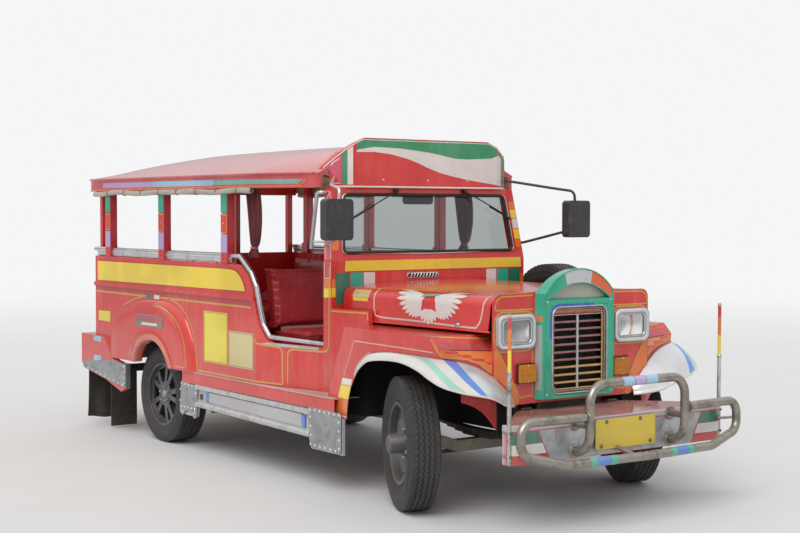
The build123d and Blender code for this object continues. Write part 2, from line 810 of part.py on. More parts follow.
def fender_flares():
    """Deep flares that sweep forward from the front arches and wrap round the nose."""
    fender_y = -fender_half_width
    stations = []
    # columns: seat on the body x, y, z; lip x, y, z; the lip stands clear of the steered tyre
    rows = (
        (1160, fender_y + 1, 796, 1170, fender_y - 5, 774),
        (1300, fender_y + 1, 884, 1310, fender_y - 12, 850),
        (1470, fender_y + 1, 904, 1480, fender_y - 18, 868),
        (1640, fender_y + 1, 906, 1650, fender_y - 30, 868),
        (1810, fender_y + 1, 906, 1845, fender_y - 66, 844),
        (1930, fender_y + 2, 904, 1985, fender_y - 92, 810),
        (1952, fender_y + 60, 896, 2085, fender_y - 74, 774),
        (1978, fender_y + 150, 876, 2145, fender_y + 22, 740),
        (2002, fender_y + 230, 848, 2185, fender_y + 163, 710),
        (2026, fender_y + 310, 800, 2172, fender_y + 250, 680),
        (2030, fender_y + 390, 736, 2150, fender_y + 317, 652),
        (2030, -apron_half_width - 62, 672, 2066, -apron_half_width - 56, 630),
    )
    for seat_x, seat_y, seat_z, lip_x, lip_y, lip_z in rows:
        corners = [
            (seat_x, seat_y, seat_z), (lip_x, lip_y, lip_z), (lip_x, lip_y, lip_z - panel * 1.6),
            (seat_x, seat_y, seat_z - panel * 1.6),
        ]
        stations.append(make_face(Polyline(*corners, close=True)))
    flare = loft(stations, ruled=True) - fender_block(0, fender_bottom_z) - block(
        fascia_x - 200, fascia_x + 2 * panel, -fascia_half_width, 0, fascia_bottom_z - 60, fascia_top_z
    )
    left = mirror(flare, about=Plane.XZ) - spare_well(front_tyre_radius + spare_gap)
    return group([flare.solids().sort_by(SortBy.VOLUME)[-1], left.solids().sort_by(SortBy.VOLUME)[-1]])


def front_fascia():
    """The shield across the nose behind the radiator shell, with rounded upper corners."""
    half = fascia_half_width
    outline = [
        (-half, fascia_bottom_z + 90), (-half, fascia_top_z), (half, fascia_top_z),
        (half, fascia_bottom_z + 90), (half - 150, fascia_bottom_z), (-half + 150, fascia_bottom_z),
    ]
    plate = front_profile(outline, fascia_x, fascia_x + 2 * panel)
    upper = plate.edges().filter_by(Axis.X).group_by(Axis.Z)[-1]
    plate = fillet(upper, fascia_corner)
    opening = block(
        fascia_x - 5, fascia_x + 40, -grille_half_width, grille_half_width, grille_bottom_z, grille_top_z
    )
    room = steer_room()
    return plate - opening - room - mirror(room, about=Plane.XZ)


def shell_outline(x, half, low, shoulder, top):
    """An arched outline of the radiator shell in front view, at one x."""
    arch = ThreePointArc((x, -half, shoulder), (x, 0, top), (x, half, shoulder))
    rest = Polyline((x, half, shoulder), (x, half, low), (x, -half, low), (x, -half, shoulder))
    return make_face([arch, rest])


def radiator_shell():
    """A deep shell round the grille, crowned by an arched band over a sunk half-round panel."""
    rear = fascia_x + 2 * panel
    front = rear + shell_depth
    shell = loft(
        [shell_outline(rear, shell_half_width + shell_flare, shell_bottom_z, shell_shoulder_z, shell_top_z),
         shell_outline(front, shell_half_width, shell_bottom_z, shell_shoulder_z, shell_top_z)],
        ruled=True,
    )
    opening = block(
        rear - 5, front + 5, -grille_half_width, grille_half_width, grille_bottom_z, grille_top_z
    )
    sill = grille_top_z + 34
    sunk = shell_outline(front - 34, shell_half_width - 30, sill, sill + 2, shell_top_z - arch_band)
    return shell - opening - extrude(sunk, amount=60, dir=(1, 0, 0))


def grille():
    """A frame with a plain strip along its top, and two columns of thin bars beside a centre post."""
    rear = fascia_x + 2 * panel + 12
    front = rear + 16
    half, rim = grille_half_width, 24.0
    high = grille_top_z - badge_height
    frame = block(rear, front, -half, half, grille_bottom_z, grille_top_z) - block(
        rear - 2, front + 2, -half + rim, half - rim, grille_bottom_z + rim, high
    )
    post = block(rear, front, -7, 7, grille_bottom_z + rim - 2, high + 2)
    pitch = (high - grille_bottom_z - rim) / (grille_bars + 1)
    bars = [
        block(rear + 2, front, -half + rim - 2, half - rim + 2, z - 6, z + 6)
        for z in (grille_bottom_z + rim + pitch * (index + 1) for index in range(grille_bars))
    ]
    return frame + post + bars


def headlamps():
    """Rectangular lamps with wide bezels, let into the fascia."""
    front = fascia_x + 2 * panel
    bezel = block(front, front + 26, -headlamp_y - headlamp_width / 2, -headlamp_y + headlamp_width / 2,
                  headlamp_z - headlamp_height / 2, headlamp_z + headlamp_height / 2)
    bezel = fillet(bezel.edges().filter_by(Axis.X), 44)
    pit = block(front + 10, front + 40, -headlamp_y - headlamp_width / 2 + 42, -headlamp_y + headlamp_width / 2 - 42,
                headlamp_z - headlamp_height / 2 + 36, headlamp_z + headlamp_height / 2 - 36)
    return both_sides(bezel - pit)


def headlamp_lenses():
    """The glass of the two headlamps, seated in the bezels."""
    front = fascia_x + 2 * panel + 10
    lens = block(front, front + 12, -headlamp_y - headlamp_width / 2 + 42, -headlamp_y + headlamp_width / 2 - 42,
                 headlamp_z - headlamp_height / 2 + 36, headlamp_z + headlamp_height / 2 - 36)
    return both_sides(lens)


def turn_lamps():
    """Square amber lamps below the headlamps."""
    front = fascia_x + 2 * panel
    lamp = block(front, front + 30, -440, -304, 742, 856)
    return both_sides(fillet(lamp.edges().filter_by(Axis.X), 12))


def front_bumper():
    """A deep bumper beam carrying a deck back to the nose."""
    rear_x = 2160.0
    half = bumper_half_width
    deck_plan = [
        (bumper_x, -half + 40), (bumper_x - 40, -half), (rear_x, -half), (rear_x, -apron_half_width),
        (rail_front_x, -apron_half_width), (rail_front_x, apron_half_width), (rear_x, apron_half_width),
        (rear_x, half), (bumper_x - 40, half), (bumper_x, half - 40),
    ]
    deck = plan_profile(deck_plan, bumper_top_z - panel, bumper_top_z)
    face = block(bumper_x - panel, bumper_x, -half + 40, half - 40, bumper_bottom_z, bumper_top_z)
    cheeks = [
        block(rear_x, bumper_x - 36, side * half - (panel if side > 0 else 0), side * half + (0 if side > 0 else panel),
              bumper_bottom_z + 60, bumper_top_z)
        for side in (-1, 1)
    ]
    horns = [
        block(rail_front_x, bumper_x - panel + 1, side * rail_offset - rail_width / 2,
              side * rail_offset + rail_width / 2, rail_bottom_z, bumper_top_z - panel + 1)
        for side in (-1, 1)
    ]
    return deck + face + cheeks + horns


def bull_bar():
    """A tube ring that wraps the bumper, under a taller hoop whose legs turn back into the bumper."""
    r = bull_tube_radius
    leg_z, stay_z = 412.0, 564.0
    ring = tube(
        [(hoop_x, -hoop_half_width - 12, ring_top_z), (ring_end_x, -ring_half_width, ring_top_z),
         (ring_end_x + 4, -ring_half_width, 440), (bull_reach_x - 55, -560, ring_low_z), (bull_reach_x - r, 0, ring_low_z),
         (bull_reach_x - 55, 560, ring_low_z), (ring_end_x + 4, ring_half_width, 440),
         (ring_end_x, ring_half_width, ring_top_z), (hoop_x, hoop_half_width + 12, ring_top_z)], r, 78,
    )
    hoop = tube(
        [(bumper_x, -hoop_half_width, leg_z), (hoop_x, -hoop_half_width, leg_z), (hoop_x, -hoop_half_width, hoop_top_z),
         (hoop_x, hoop_half_width, hoop_top_z), (hoop_x, hoop_half_width, leg_z), (bumper_x, hoop_half_width, leg_z)],
        r, 105,
    )
    stays = [
        rod((bumper_x, side * hoop_half_width, stay_z), (hoop_x, side * hoop_half_width, stay_z), 20)
        for side in (-1, 1)
    ]
    middle = rod((bumper_x + 4, -70, leg_z), (bull_reach_x - r - 4, -60, ring_low_z), 13)
    end_stays = [
        rod((bumper_x + 6, side * 776, 500), (ring_end_x + 4, side * (ring_half_width - 4), 512), 8) for side in (-1, 1)
    ]
    feet = [(-70, leg_z, 22)]
    for side in (-1, 1):
        feet += [(side * hoop_half_width, leg_z, r + 9), (side * hoop_half_width, stay_z, r + 9), (side * 776, 500, 16)]
    plates = [rod((bumper_x, y, z), (bumper_x + 8, y, z), radius) for y, z, radius in feet]
    return ring + hoop + stays + plates + middle + end_stays


def marker_poles():
    """Two slim poles at the bumper's corners."""
    x = bumper_x - 70
    y = -bumper_half_width - pole_radius - 3
    pole = rod((x, y, bumper_bottom_z), (x, y, pole_top_z), pole_radius)
    clamp = block(x - 22, x + 22, y - pole_radius - 3, -bumper_half_width, bumper_top_z - 60, bumper_top_z - 20)
    return both_sides(pole + clamp)


def roof_section(x, half, gutter, crown, low):
    """A cross-section of the roof: upright sides and an arched crown."""
    arch = ThreePointArc((x, -half, gutter), (x, 0, crown), (x, half, gutter))
    rest = Polyline((x, half, gutter), (x, half, low), (x, -half, low), (x, -half, gutter))
    return make_face([arch, rest])


def roof_stations():
    """The roof's sections from rear to front: x, half width and crown height."""
    rise = roof_crown_z - roof_gutter_z
    # columns: x, half width, share of the crown's rise
    return (
        (roof_rear_x, roof_half_width - roof_tuck, 0.14), (roof_rear_x + roof_tuck_length, roof_half_width, 0.42),
        (roof_rear_x + 420, roof_half_width, 0.76), (roof_rear_x + 1100, roof_half_width, 0.96),
        (body_taper_x, roof_half_width, 1.0), (roof_front_x, roof_front_half_width, 1.0),
    ), rise


def roof_envelope():
    """The roof's outer form as a full block."""
    stations, rise = roof_stations()
    return loft(
        [roof_section(x, half, roof_gutter_z, roof_gutter_z + share * rise, roof_fascia_z)
         for x, half, share in stations],
        ruled=True,
    )


def roof():
    """A thin shell roof, arched across and drooping at the rear, with a deep side band."""
    stations, rise = roof_stations()
    t = roof_shell
    last = len(stations) - 1
    inner = []
    for index, (x, half, share) in enumerate(stations):
        shift = t if index == 0 else (5 if index == last else 0)
        inner.append(
            roof_section(x + shift, half - t, roof_gutter_z - t, roof_gutter_z + share * rise - t,
                         roof_fascia_z - 30)
        )
    gutter = []
    for index in range(last - 1):
        x0, half0 = stations[index][0], stations[index][1]
        x1, half1 = stations[index + 1][0], stations[index + 1][1]
        for side in (-1, 1):
            plan = [(x0, side * half0), (x1, side * half1), (x1, side * (half1 + 10)), (x0, side * (half0 + 10))]
            gutter.append(plan_profile(plan, roof_gutter_z - 10, roof_gutter_z))
    return roof_envelope() - loft(inner, ruled=True) + gutter


def sign_board():
    """The board over the windscreen, its cheeks swept back to the roof's sides."""
    t = board_thickness
    side_x = roof_front_x - 60
    half, flat = board_half_width, board_front_half_width
    cheek_x = board_x - 34
    rise = board_top_z - roof_gutter_z
    cheek_z, bend_z = roof_gutter_z + 0.585 * rise, board_top_z - 0.153 * rise
    plan = [
        (side_x, -half), (cheek_x, -flat - 50), (board_x, -flat + 40), (board_x, flat - 40), (cheek_x, flat + 50),
        (side_x, half), (side_x, half - t), (cheek_x - t, flat + 50 - t), (board_x - t, flat - 50),
        (board_x - t, -flat + 50), (cheek_x - t, -flat - 50 + t), (side_x, -half + t),
    ]
    outline = [
        (-half - 5, roof_fascia_z), (-half - 5, roof_gutter_z + 6), (-flat - 50, cheek_z),
        (-flat + 40, bend_z), (-board_crown_half_width, board_top_z),
        (board_crown_half_width, board_top_z), (flat - 40, bend_z), (flat + 50, cheek_z),
        (half + 5, roof_gutter_z + 6), (half + 5, roof_fascia_z),
    ]
    board = plan_profile(plan, roof_fascia_z, board_top_z) & front_profile(outline, side_x - 5, board_x + 5)
    return board - roof_envelope()


def post_places():
    """The x of the roof posts along the passenger body."""
    return (body_rear_x + 252, -1336.0, -408.0)


def rail_y():
    """The y of the right-hand sill rail, in line with the middle of the roof posts."""
    return -(roof_half_width - roof_shell - post_size_y / 2)


def roof_posts():
    """Posts between the body's sill and the roof's side band, each on a foot that the rail passes through."""
    posts = []
    y = rail_y()
    foot_top = sill_top_z + foot_height
    for x in post_places():
        post = block(x - post_size_x / 2, x + post_size_x / 2, y - post_size_y / 2, y + post_size_y / 2,
                     foot_top, roof_fascia_z + 60)
        foot = block(x - 44, x + 44, y - 30, y + 30, sill_top_z, foot_top)
        bore = rod((x - 60, y, rail_level_z), (x + 60, y, rail_level_z), rail_tube_radius + 0.3)
        posts.append(both_sides(post + foot - bore))
    return group(posts)


def side_rails():
    """Plated tubes along the sills, turning down along the open doorways."""
    r = rail_tube_radius
    y = rail_y()
    cab_y = -cab_half_width - wall / 2
    curve = door_curve()
    lift = r + 1
    slope = (cab_y - y) / (door_front_x - body_taper_x)

    def edge_y(x):
        return y + max(0.0, x - body_taper_x) * slope

    start_x = curve[0][0] - 10
    points = [(start_x - 200, y, rail_level_z), (start_x + 70, y, rail_level_z)]
    for x, z in curve[2:7]:
        points.append((x + lift, edge_y(x + lift), z + lift * 0.8))
    points.append((door_front_x - 40, cab_y, door_sill_z + lift))
    points.append((door_front_x, cab_y, door_sill_z + lift))
    front = tube(points, r, 30)
    rear = rod((body_rear_x - 30, y, rail_level_z), (start_x - 200, y, rail_level_z), r)
    feet = [
        block(x - 8, x + 8, y - 8, y + 8, sill_top_z, rail_level_z)
        for x in (body_rear_x + 60, -1800.0, -900.0, -560.0)
    ]
    return both_sides(front + rear + feet)


def seat_bases():
    """Boxed frames of the two long benches and of the two front seats."""
    low = rail_top_z + floor_thickness
    x0, x1 = body_rear_x + 110, body_taper_x - 380
    y_out = -body_half_width + wall
    seat = block(x0, x1, y_out, -bench_inner_y, bench_top_z - 22, bench_top_z)
    front = block(x0, x1, -bench_inner_y - 14, -bench_inner_y, low, bench_top_z - 22)
    high = front_seat_z - front_cushion
    boxes = [block(-110, 300, y0, y1, low, high) for y0, y1 in ((90, 690), (-720, 50))]
    return group([both_sides(seat + front)] + boxes)


def bench_cushions():
    """Seat and back cushions of the two long benches."""
    x0, x1 = body_rear_x + 112, body_taper_x - 382
    y_out = -body_half_width + wall
    seat = block(x0, x1, y_out, -bench_inner_y + 12, bench_top_z, bench_top_z + cushion_thickness)
    back = block(x0, x1, y_out, y_out + 62, bench_top_z + cushion_thickness + 4, sill_top_z - 24)
    return both_sides(Compound(children=[seat, back]))


def front_seats():
    """The driver's seat and the wider passenger seat, each a cushion and a leaning back."""
    pieces = []
    # columns: right edge y, left edge y
    for y0, y1 in ((80, 700), (-730, 60)):
        low = front_seat_z - front_cushion
        cushion = block(-110, 320, y0, y1, low, front_seat_z)
        pieces.append(fillet(cushion.edges().filter_by(Axis.Y), 36))
        back = side_profile(
            [(-112, low), (-128, front_seat_z + 40), (-150, front_seat_back_z), (-270, front_seat_back_z),
             (-246, low)], y0, y1)
        pieces.append(back)
    return group(pieces)


def mirrors():
    """Door mirrors held out ahead of the pillars on bent tube arms."""
    x = 1020.0
    head = block(x - 34, x + 34, -1066, -872, 1540, 1788)
    head = fillet(head.edges().filter_by(Axis.X), 26)
    arm = tube(
        [(board_x - 78, -board_front_half_width - 60, 1930), (x - 160, -905, 1872), (x, -950, 1850), (x, -958, 1770)],
        9, 40,
    )
    root_z = 1500.0
    root_x, root_y = screen_point(root_z) - 20, 2 - screen_half(root_z)
    stay = tube([(root_x, root_y, root_z), (root_x, root_y - 36, root_z), (x - 10, -905, 1585)], 9, 14)
    return both_sides(head + (arm - sign_board() - roof_envelope()) + stay) - windscreen_frame()


def grab_rails():
    """Upright grab tubes behind the windscreen pillars."""
    x = 520.0
    top, foot = 1832.0, 1520.0
    root_x, root_y = screen_point(top) - 60, 2 - screen_half(top)
    y = root_y - 44
    low_x, low_y = screen_point(foot) - 70, -screen_half(foot)
    pipe = tube([(root_x, root_y, top), (root_x, y, top), (x, y, top), (x, y - 44, 1475)], 13, 18)
    stay = rod((low_x, low_y + 2, foot), (x, y - 38, foot), 8)
    return both_sides(pipe + stay) - windscreen_frame()


def rear_bumper():
    """A boxed rear step with wings that sweep forward along the body sides."""
    half = rear_bumper_half_width
    wings = [
        side_profile(rear_wing_outline(), -half, -body_half_width),
        side_profile(rear_wing_outline(), body_half_width, half),
    ]
    step = block(rear_bumper_x, body_rear_x, -half, half, 520, 620)
    sides = block(rear_bumper_x, body_rear_x, -half, half, 620, rear_bumper_top_z) - block(
        rear_bumper_x - 5, body_rear_x + 5, -380, 380, 619, rear_bumper_top_z + 5
    )
    return step + sides + wings


def rear_frame():
    """The rear end: two quarter panels beside the doorway and the posts that frame it."""
    y_in = 330.0
    y_out = body_half_width - wall
    low = rail_top_z + floor_thickness
    quarter = block(body_rear_x, body_rear_x + wall, -y_out, -y_in, low, sill_top_z)
    roof_z = roof_gutter_z + 10
    post = block(body_rear_x, body_rear_x + 40, -y_in - 40, -y_in, low, roof_z)
    corner = block(body_rear_x, body_rear_x + 44, -y_out + 12, -y_out + 56, sill_top_z, roof_fascia_z)
    tuck = roof_tuck * max(0.0, 1 - (body_rear_x - roof_rear_x) / roof_tuck_length)
    band_y = roof_half_width - roof_shell - tuck - 1
    header = block(body_rear_x, body_rear_x + 40, -band_y, band_y, roof_fascia_z - 20, roof_fascia_z + 50)
    half_frame = quarter + post + corner
    return half_frame + mirror(half_frame, about=Plane.XZ) + header


def tail_lamps():
    """Round-cornered lamps on the rear quarter panels."""
    outer = 75.0 - body_half_width
    lamp = block(body_rear_x - 26, body_rear_x, outer, outer + 130, 800, 1010)
    return both_sides(fillet(lamp.edges().filter_by(Axis.X), 30))


def mud_flaps():
    """Rubber flaps behind the rear wheels on a steel bar."""
    x = -2290.0
    outer = 33.0 - body_half_width
    flap = block(x, x + 8, outer, outer + 220, 20, 470)
    bar = block(x - 12, x, -body_half_width, -rail_offset - rail_width / 2, 440, 500)
    return both_sides(flap + bar)


def side_skirts():
    """Skirt panels below the sills, ending in riveted plates, with a tube along their lower edge."""
    y = -body_half_width
    outline = [
        (-1030, 490), (-1060, 262), (-830, 262), (-800, 372), (640, 344), (660, 240), (1010, 240),
        (1010, fender_bottom_z), (fender_rear_x - 7, fender_bottom_z), (fender_rear_x - 7, sill_bottom_z),
        (-1000, sill_bottom_z),
    ]
    skirt = side_profile(outline, y + 6, y + 24)
    inner = -rail_offset - rail_width / 2
    brackets = [block(x - 20, x + 20, y + 24, inner, 520, 560) for x in (-900.0, -90.0, 420.0)]
    run = rod((-802, y + 15, 356), (644, y + 15, 328), 19)
    return both_sides(skirt + brackets + run)


def tow_eye():
    """A thick towing plate with one round hole, welded under the rear step."""
    x = -2585.0
    plate = block(x - 45, x + 45, -tow_plate / 2, tow_plate / 2, 370, 520)
    return plate - rod((x, -60, tow_hole_z), (x, 60, tow_hole_z), tow_hole_radius)


def rolled_curtains():
    """Rain curtains rolled up and tied under the roof's edge."""
    y = -roof_half_width - curtain_radius + roof_shell - 2
    z = roof_fascia_z - curtain_radius
    return both_sides(rod((curtain_rear_x, y, z), (body_taper_x - 14, y, z), curtain_radius))


def tied_curtains():
    """A curtain drawn aside and tied behind each cab doorway, hung from the roof's edge."""
    # columns: height, x of the middle, half length along the vehicle, half thickness
    middle_y = tied_curtain_inset - body_half_width
    rows = (
        (roof_fascia_z, -110, 92, 16), (1760, -118, 106, 22), (1600, -126, 100, 26), (1480, -134, 66, 22),
        (1408, -140, 42, 14),
    )
    sections = []
    for z, x, long, thick in rows:
        corners = [(x - long, middle_y, z), (x, middle_y - thick, z), (x + long, middle_y, z), (x, middle_y + thick, z)]
        sections.append(make_face(Polyline(*corners, close=True)))
    return both_sides(loft(sections, ruled=True))


def spare_place(shape):
    """Places a wheel drawn about the origin on the left flank of the nose."""
    y = cab_half_width + wall + spare_inner_gap + front_tyre_width / 2
    return Pos(spare_x, y, spare_z) * mirror(shape, about=Plane.XZ)


def spare_rim():
    """The spare's rim on the bracket that holds it to the cowl."""
    y = cab_half_width + wall
    middle = y + spare_inner_gap + front_tyre_width / 2
    stem = rod((spare_x, y, spare_z), (spare_x, middle + 34, spare_z), 26)
    cap = rod((spare_x, middle + 12, spare_z), (spare_x, middle + 30, spare_z), hub_radius + 12)
    return spare_place(front_rim(False)) + stem + cap


def front_wheel_piece(shape, side):
    """Places a wheel piece on its steered spindle."""
    scrub = (front_track - kingpin_span) / 2
    return at_kingpin(Pos(0, -scrub, 0) * shape, side)


def rear_wheel_piece(shape, side):
    """Places a wheel piece on the rear axle."""
    if side > 0:
        shape = mirror(shape, about=Plane.XZ)
    return Pos(rear_axle_x, side * rear_track / 2, rear_tyre_radius) * shape


def hood_section(x, half, shoulder, crown, inset):
    """A cross-section of the hood: upright sides, rounded corners and a nearly flat top."""
    half, crown, corner = half - inset, crown - inset, hood_corner - inset
    low = hood_edge_z - (20 if inset else 0)
    eave = shoulder + corner
    bend = corner * (1 - math.sqrt(0.5))
    right = ThreePointArc((x, -half, shoulder), (x, -half + bend, eave - bend), (x, -half + corner, eave))
    top = ThreePointArc((x, -half + corner, eave), (x, 0, crown), (x, half - corner, eave))
    left = ThreePointArc((x, half - corner, eave), (x, half - bend, eave - bend), (x, half, shoulder))
    rest = Polyline((x, half, shoulder), (x, half, low), (x, -half, low), (x, -half, shoulder))
    return make_face([right, top, left, rest])


def hood():
    """The engine cover: a tapered, crowned sheet that hinges at the cowl."""
    rear = cowl_x + hood_gap
    front = fascia_x - hood_gap
    # rows: x, half width, height where the side starts to round, height of the crown
    rows = (
        (rear, hood_rear_half_width, hood_crown_z - 94, hood_crown_z),
        (front, fascia_half_width, fascia_top_z - 74, fascia_top_z + 4),
    )
    outer = loft([hood_section(*row, 0) for row in rows], ruled=True)
    hollow = [(x + reach, *row) for reach, (x, *row) in zip((-10, 10), rows)]
    inner = loft([hood_section(*row, panel) for row in hollow], ruled=True)
    reach = hood_rear_half_width + 20
    swing = rod((hinge_x, -reach, hinge_z), (hinge_x, reach, hinge_z), front - hinge_x)
    return (outer - inner) & swing


parts = {
    "chassis_frame": chassis_frame(),
    "front_axle": front_axle(),
    "rear_axle": rear_axle(),
    "leaf_springs": leaf_springs(),
    "engine": engine(),
    "propeller_shaft": propeller_shaft(),
    "exhaust": exhaust(),
    "fuel_tank": fuel_tank(),
    "floor": floor(),
    "side_walls": side_walls(),
    "cowl": cowl(),
    "dashboard": dashboard(),
    "windscreen_frame": windscreen_frame(),
    "windscreen_glass": windscreen_glass(),
    "fenders": fenders(),
    "fender_flares": fender_flares(),
    "front_fascia": front_fascia(),
    "radiator_shell": radiator_shell(),
    "grille": grille(),
    "headlamps": headlamps(),
    "headlamp_lenses": headlamp_lenses(),
    "turn_lamps": turn_lamps(),
    "front_bumper": front_bumper(),
    "bull_bar": bull_bar(),
    "marker_poles": marker_poles(),
    "roof": roof(),
    "sign_board": sign_board(),
    "roof_posts": roof_posts(),
    "side_rails": side_rails(),
    "seat_bases": seat_bases(),
    "bench_cushions": bench_cushions(),
    "front_seats": front_seats(),
    "steering_column": steering_column(),
    "steering_wheel": steering_wheel(),
    "mirrors": mirrors(),
    "grab_rails": grab_rails(),
    "rear_bumper": rear_bumper(),
    "rear_frame": rear_frame(),
    "tail_lamps": tail_lamps(),
    "mud_flaps": mud_flaps(),
    "side_skirts": side_skirts(),
    "rolled_curtains": rolled_curtains(),
    "tied_curtains": tied_curtains(),
    "spare_tyre": spare_place(tyre(front_tyre_radius, front_tyre_width)),
    "spare_rim": spare_rim(),
    "tow_eye": tow_eye(),
    "tie_rod": tie_rod(),
    "hood": hood(),
}
for name, side in (("right", -1), ("left", 1)):
    parts["knuckle_" + name] = at_kingpin(knuckle(), side)
    parts["front_tyre_" + name] = front_wheel_piece(tyre(front_tyre_radius, front_tyre_width), side)
    parts["front_rim_" + name] = front_wheel_piece(front_rim(), side)
    parts["rear_tyre_" + name] = rear_wheel_piece(tyre(rear_tyre_radius, rear_tyre_width), side)
    parts["rear_rim_" + name] = rear_wheel_piece(rear_rim(), side)

os.makedirs("parts", exist_ok=True)
for name, shape in parts.items():
    export_step(shape, "parts/" + name + ".step")
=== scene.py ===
"""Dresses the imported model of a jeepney: enamel, plated trim, glass, tyres, cushions and tarps."""

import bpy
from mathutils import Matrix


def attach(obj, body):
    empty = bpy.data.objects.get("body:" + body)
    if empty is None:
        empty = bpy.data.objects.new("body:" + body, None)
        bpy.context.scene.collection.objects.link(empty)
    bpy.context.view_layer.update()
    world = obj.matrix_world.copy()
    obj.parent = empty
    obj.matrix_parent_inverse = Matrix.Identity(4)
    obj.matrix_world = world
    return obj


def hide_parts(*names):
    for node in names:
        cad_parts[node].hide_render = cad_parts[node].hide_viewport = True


bl_info = {
    "name": "Jeepney dressing",
    "version": (1, 0, 0),
    "blender": (4, 5, 0),
    "location": "3D View > Sidebar > Jeepney",
    "description": "Builds the paintwork, trim, tyres and soft goods of a jeepney on its CAD frame",
    "category": "Object",
}

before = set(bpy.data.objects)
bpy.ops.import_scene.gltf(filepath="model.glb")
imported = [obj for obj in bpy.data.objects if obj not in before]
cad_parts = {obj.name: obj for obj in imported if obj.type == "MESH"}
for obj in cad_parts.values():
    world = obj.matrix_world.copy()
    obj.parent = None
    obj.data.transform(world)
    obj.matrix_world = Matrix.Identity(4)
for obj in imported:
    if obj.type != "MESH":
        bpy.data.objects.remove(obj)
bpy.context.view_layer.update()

import math
import random

import bmesh
import bpy
from bpy.props import FloatProperty, FloatVectorProperty, IntProperty, PointerProperty
from mathutils import Matrix, Vector
from mathutils.bvhtree import BVHTree

# Centres of the headlamps (to each side, and up), the grille's opening and the front plate, in metres
LAMP_Y, LAMP_Z = 0.452, 1.040
GRILLE_Z = 0.9215
PLATE_Z = 0.489
# Ribs across a tyre's tread, and the points round a ring on its wall
TREAD_RIBS = 5
RING_POINTS = 96
# Frames in which a cushion's cover comes to rest
SETTLE_FRAMES = 20


def rgb(code):
    """A screen colour such as 'D8302C' as scene-linear red, green and blue."""
    parts = [int(code[i:i + 2], 16) / 255 for i in (0, 2, 4)]
    return tuple(c / 12.92 if c <= 0.04045 else ((c + 0.055) / 1.055) ** 2.4 for c in parts)


def colour_prop(name, description, code):
    return FloatVectorProperty(name=name, description=description, subtype="COLOR", size=3, min=0, max=1,
                               default=rgb(code))


def length_prop(name, description, default):
    return FloatProperty(name=name, description=description, default=default, min=0, unit="LENGTH",
                         subtype="DISTANCE")


class PaintColours(bpy.types.PropertyGroup):
    """The enamel colours of the body and its stripes."""

    body_red: colour_prop("Body red", "Main enamel of the body", "DD2A22")
    deep_red: colour_prop("Deep red", "Darker enamel on the nose and pillars", "C6282C")
    roof_red: colour_prop("Roof red", "Weathered enamel of the roof", "D2454C")
    yellow: colour_prop("Yellow", "Bands along the sides and under the windscreen", "FBDD3A")
    orange: colour_prop("Orange", "Fields on the nose and door sills", "EE7A1E")
    gold: colour_prop("Gold", "Thin lines round the panels", "D9A03F")
    cream: colour_prop("Cream", "Pale thin lines on the hood and fenders", "E4CFC0")
    white: colour_prop("White", "White fields and piping", "ECEAE4")
    teal: colour_prop("Teal", "Radiator shell and blocks", "12AD8A")
    dark_teal: colour_prop("Dark teal", "Outer blocks under the windscreen", "0F7C62")
    mint: colour_prop("Mint", "Blocks under the windscreen", "1FBC9F")
    pale_mint: colour_prop("Pale mint", "Stripe on the front flares", "A5E3D0")
    bright_blue: colour_prop("Bright blue", "Stripe on the front flares", "3B86E6")
    light_blue: colour_prop("Light blue", "Bands on the rails and the roof line", "9CCBE4")
    lavender: colour_prop("Lavender", "Rear part of the roof line", "BFA6D6")
    pink: colour_prop("Pink", "Faded fields on the pillars", "D9506E")
    green: colour_prop("Green", "Top of the sign board", "2E9C6A")
    deck_red: colour_prop("Deck red", "Worn paint on top of the bumper", "9A4B48")
    grey: colour_prop("Grey", "Panels below the sills", "BFC2C6")


class BodySizes(bpy.types.PropertyGroup):
    """Sizes of the lines, pipes and fasteners on the body."""

    fine_line: length_prop("Fine line", "Width of a thin painted line", 0.009)
    bold_line: length_prop("Bold line", "Width of a broad painted line", 0.014)
    piping: length_prop("Piping", "Thickness of the piping round the sign board", 0.011)
    rivet: length_prop("Rivet", "Radius of a rivet's head", 0.0078)
    rivet_pitch: length_prop("Rivet pitch", "Distance between rivets along the skirts", 0.055)


class TyreSizes(bpy.types.PropertyGroup):
    """The tread that is cut into each tyre."""

    groove: length_prop("Groove width", "Width of each groove round the tyre", 0.0075)
    depth: length_prop("Groove depth", "Depth of each groove round the tyre", 0.0075)
    zigzag: length_prop("Zigzag", "How far a groove wanders to each side", 0.0038)
    blocks: IntProperty(name="Blocks", description="Zigzags and shoulder notches in one turn", default=66, min=12,
                        max=120)


class ClothSizes(bpy.types.PropertyGroup):
    """The sewn and rolled pieces."""

    pleat: length_prop("Pleat", "Width of one sewn channel of a seat", 0.062)
    roll_turns: IntProperty(name="Roll turns", description="Turns of cloth in a rolled rain curtain", default=6,
                            min=2, max=12)
    tie_pitch: length_prop("Tie pitch", "Distance between the ties of a rolled curtain", 0.285)
    curtain_cut: length_prop("Curtain cut", "Flat width of a tied side curtain", 0.72)


class StageSettings(bpy.types.PropertyGroup):
    """The camera and the lights."""

    lens: FloatProperty(name="Lens", description="Focal length in millimetres", default=65.6, min=10, max=300)
    eye: FloatVectorProperty(name="Eye", description="Where the camera stands", subtype="TRANSLATION",
                             unit="LENGTH", size=3, default=(8.257, -5.800, 1.722))
    heading: FloatProperty(name="Heading", description="Direction of view in plan", subtype="ANGLE",
                           unit="ROTATION", default=math.radians(143.80))
    pitch: FloatProperty(name="Pitch", description="Tilt of the view", subtype="ANGLE", unit="ROTATION",
                         default=math.radians(-2.22))
    roll: FloatProperty(name="Roll", description="Lean of the view", subtype="ANGLE", unit="ROTATION",
                        default=math.radians(-0.12))
    sky: FloatProperty(name="Sky", description="Strength of the even light", default=0.64, min=0, max=2)
    sun: FloatProperty(name="Sun", description="Strength of the soft key light", default=1.35, min=0, max=10)


# Shader graphs


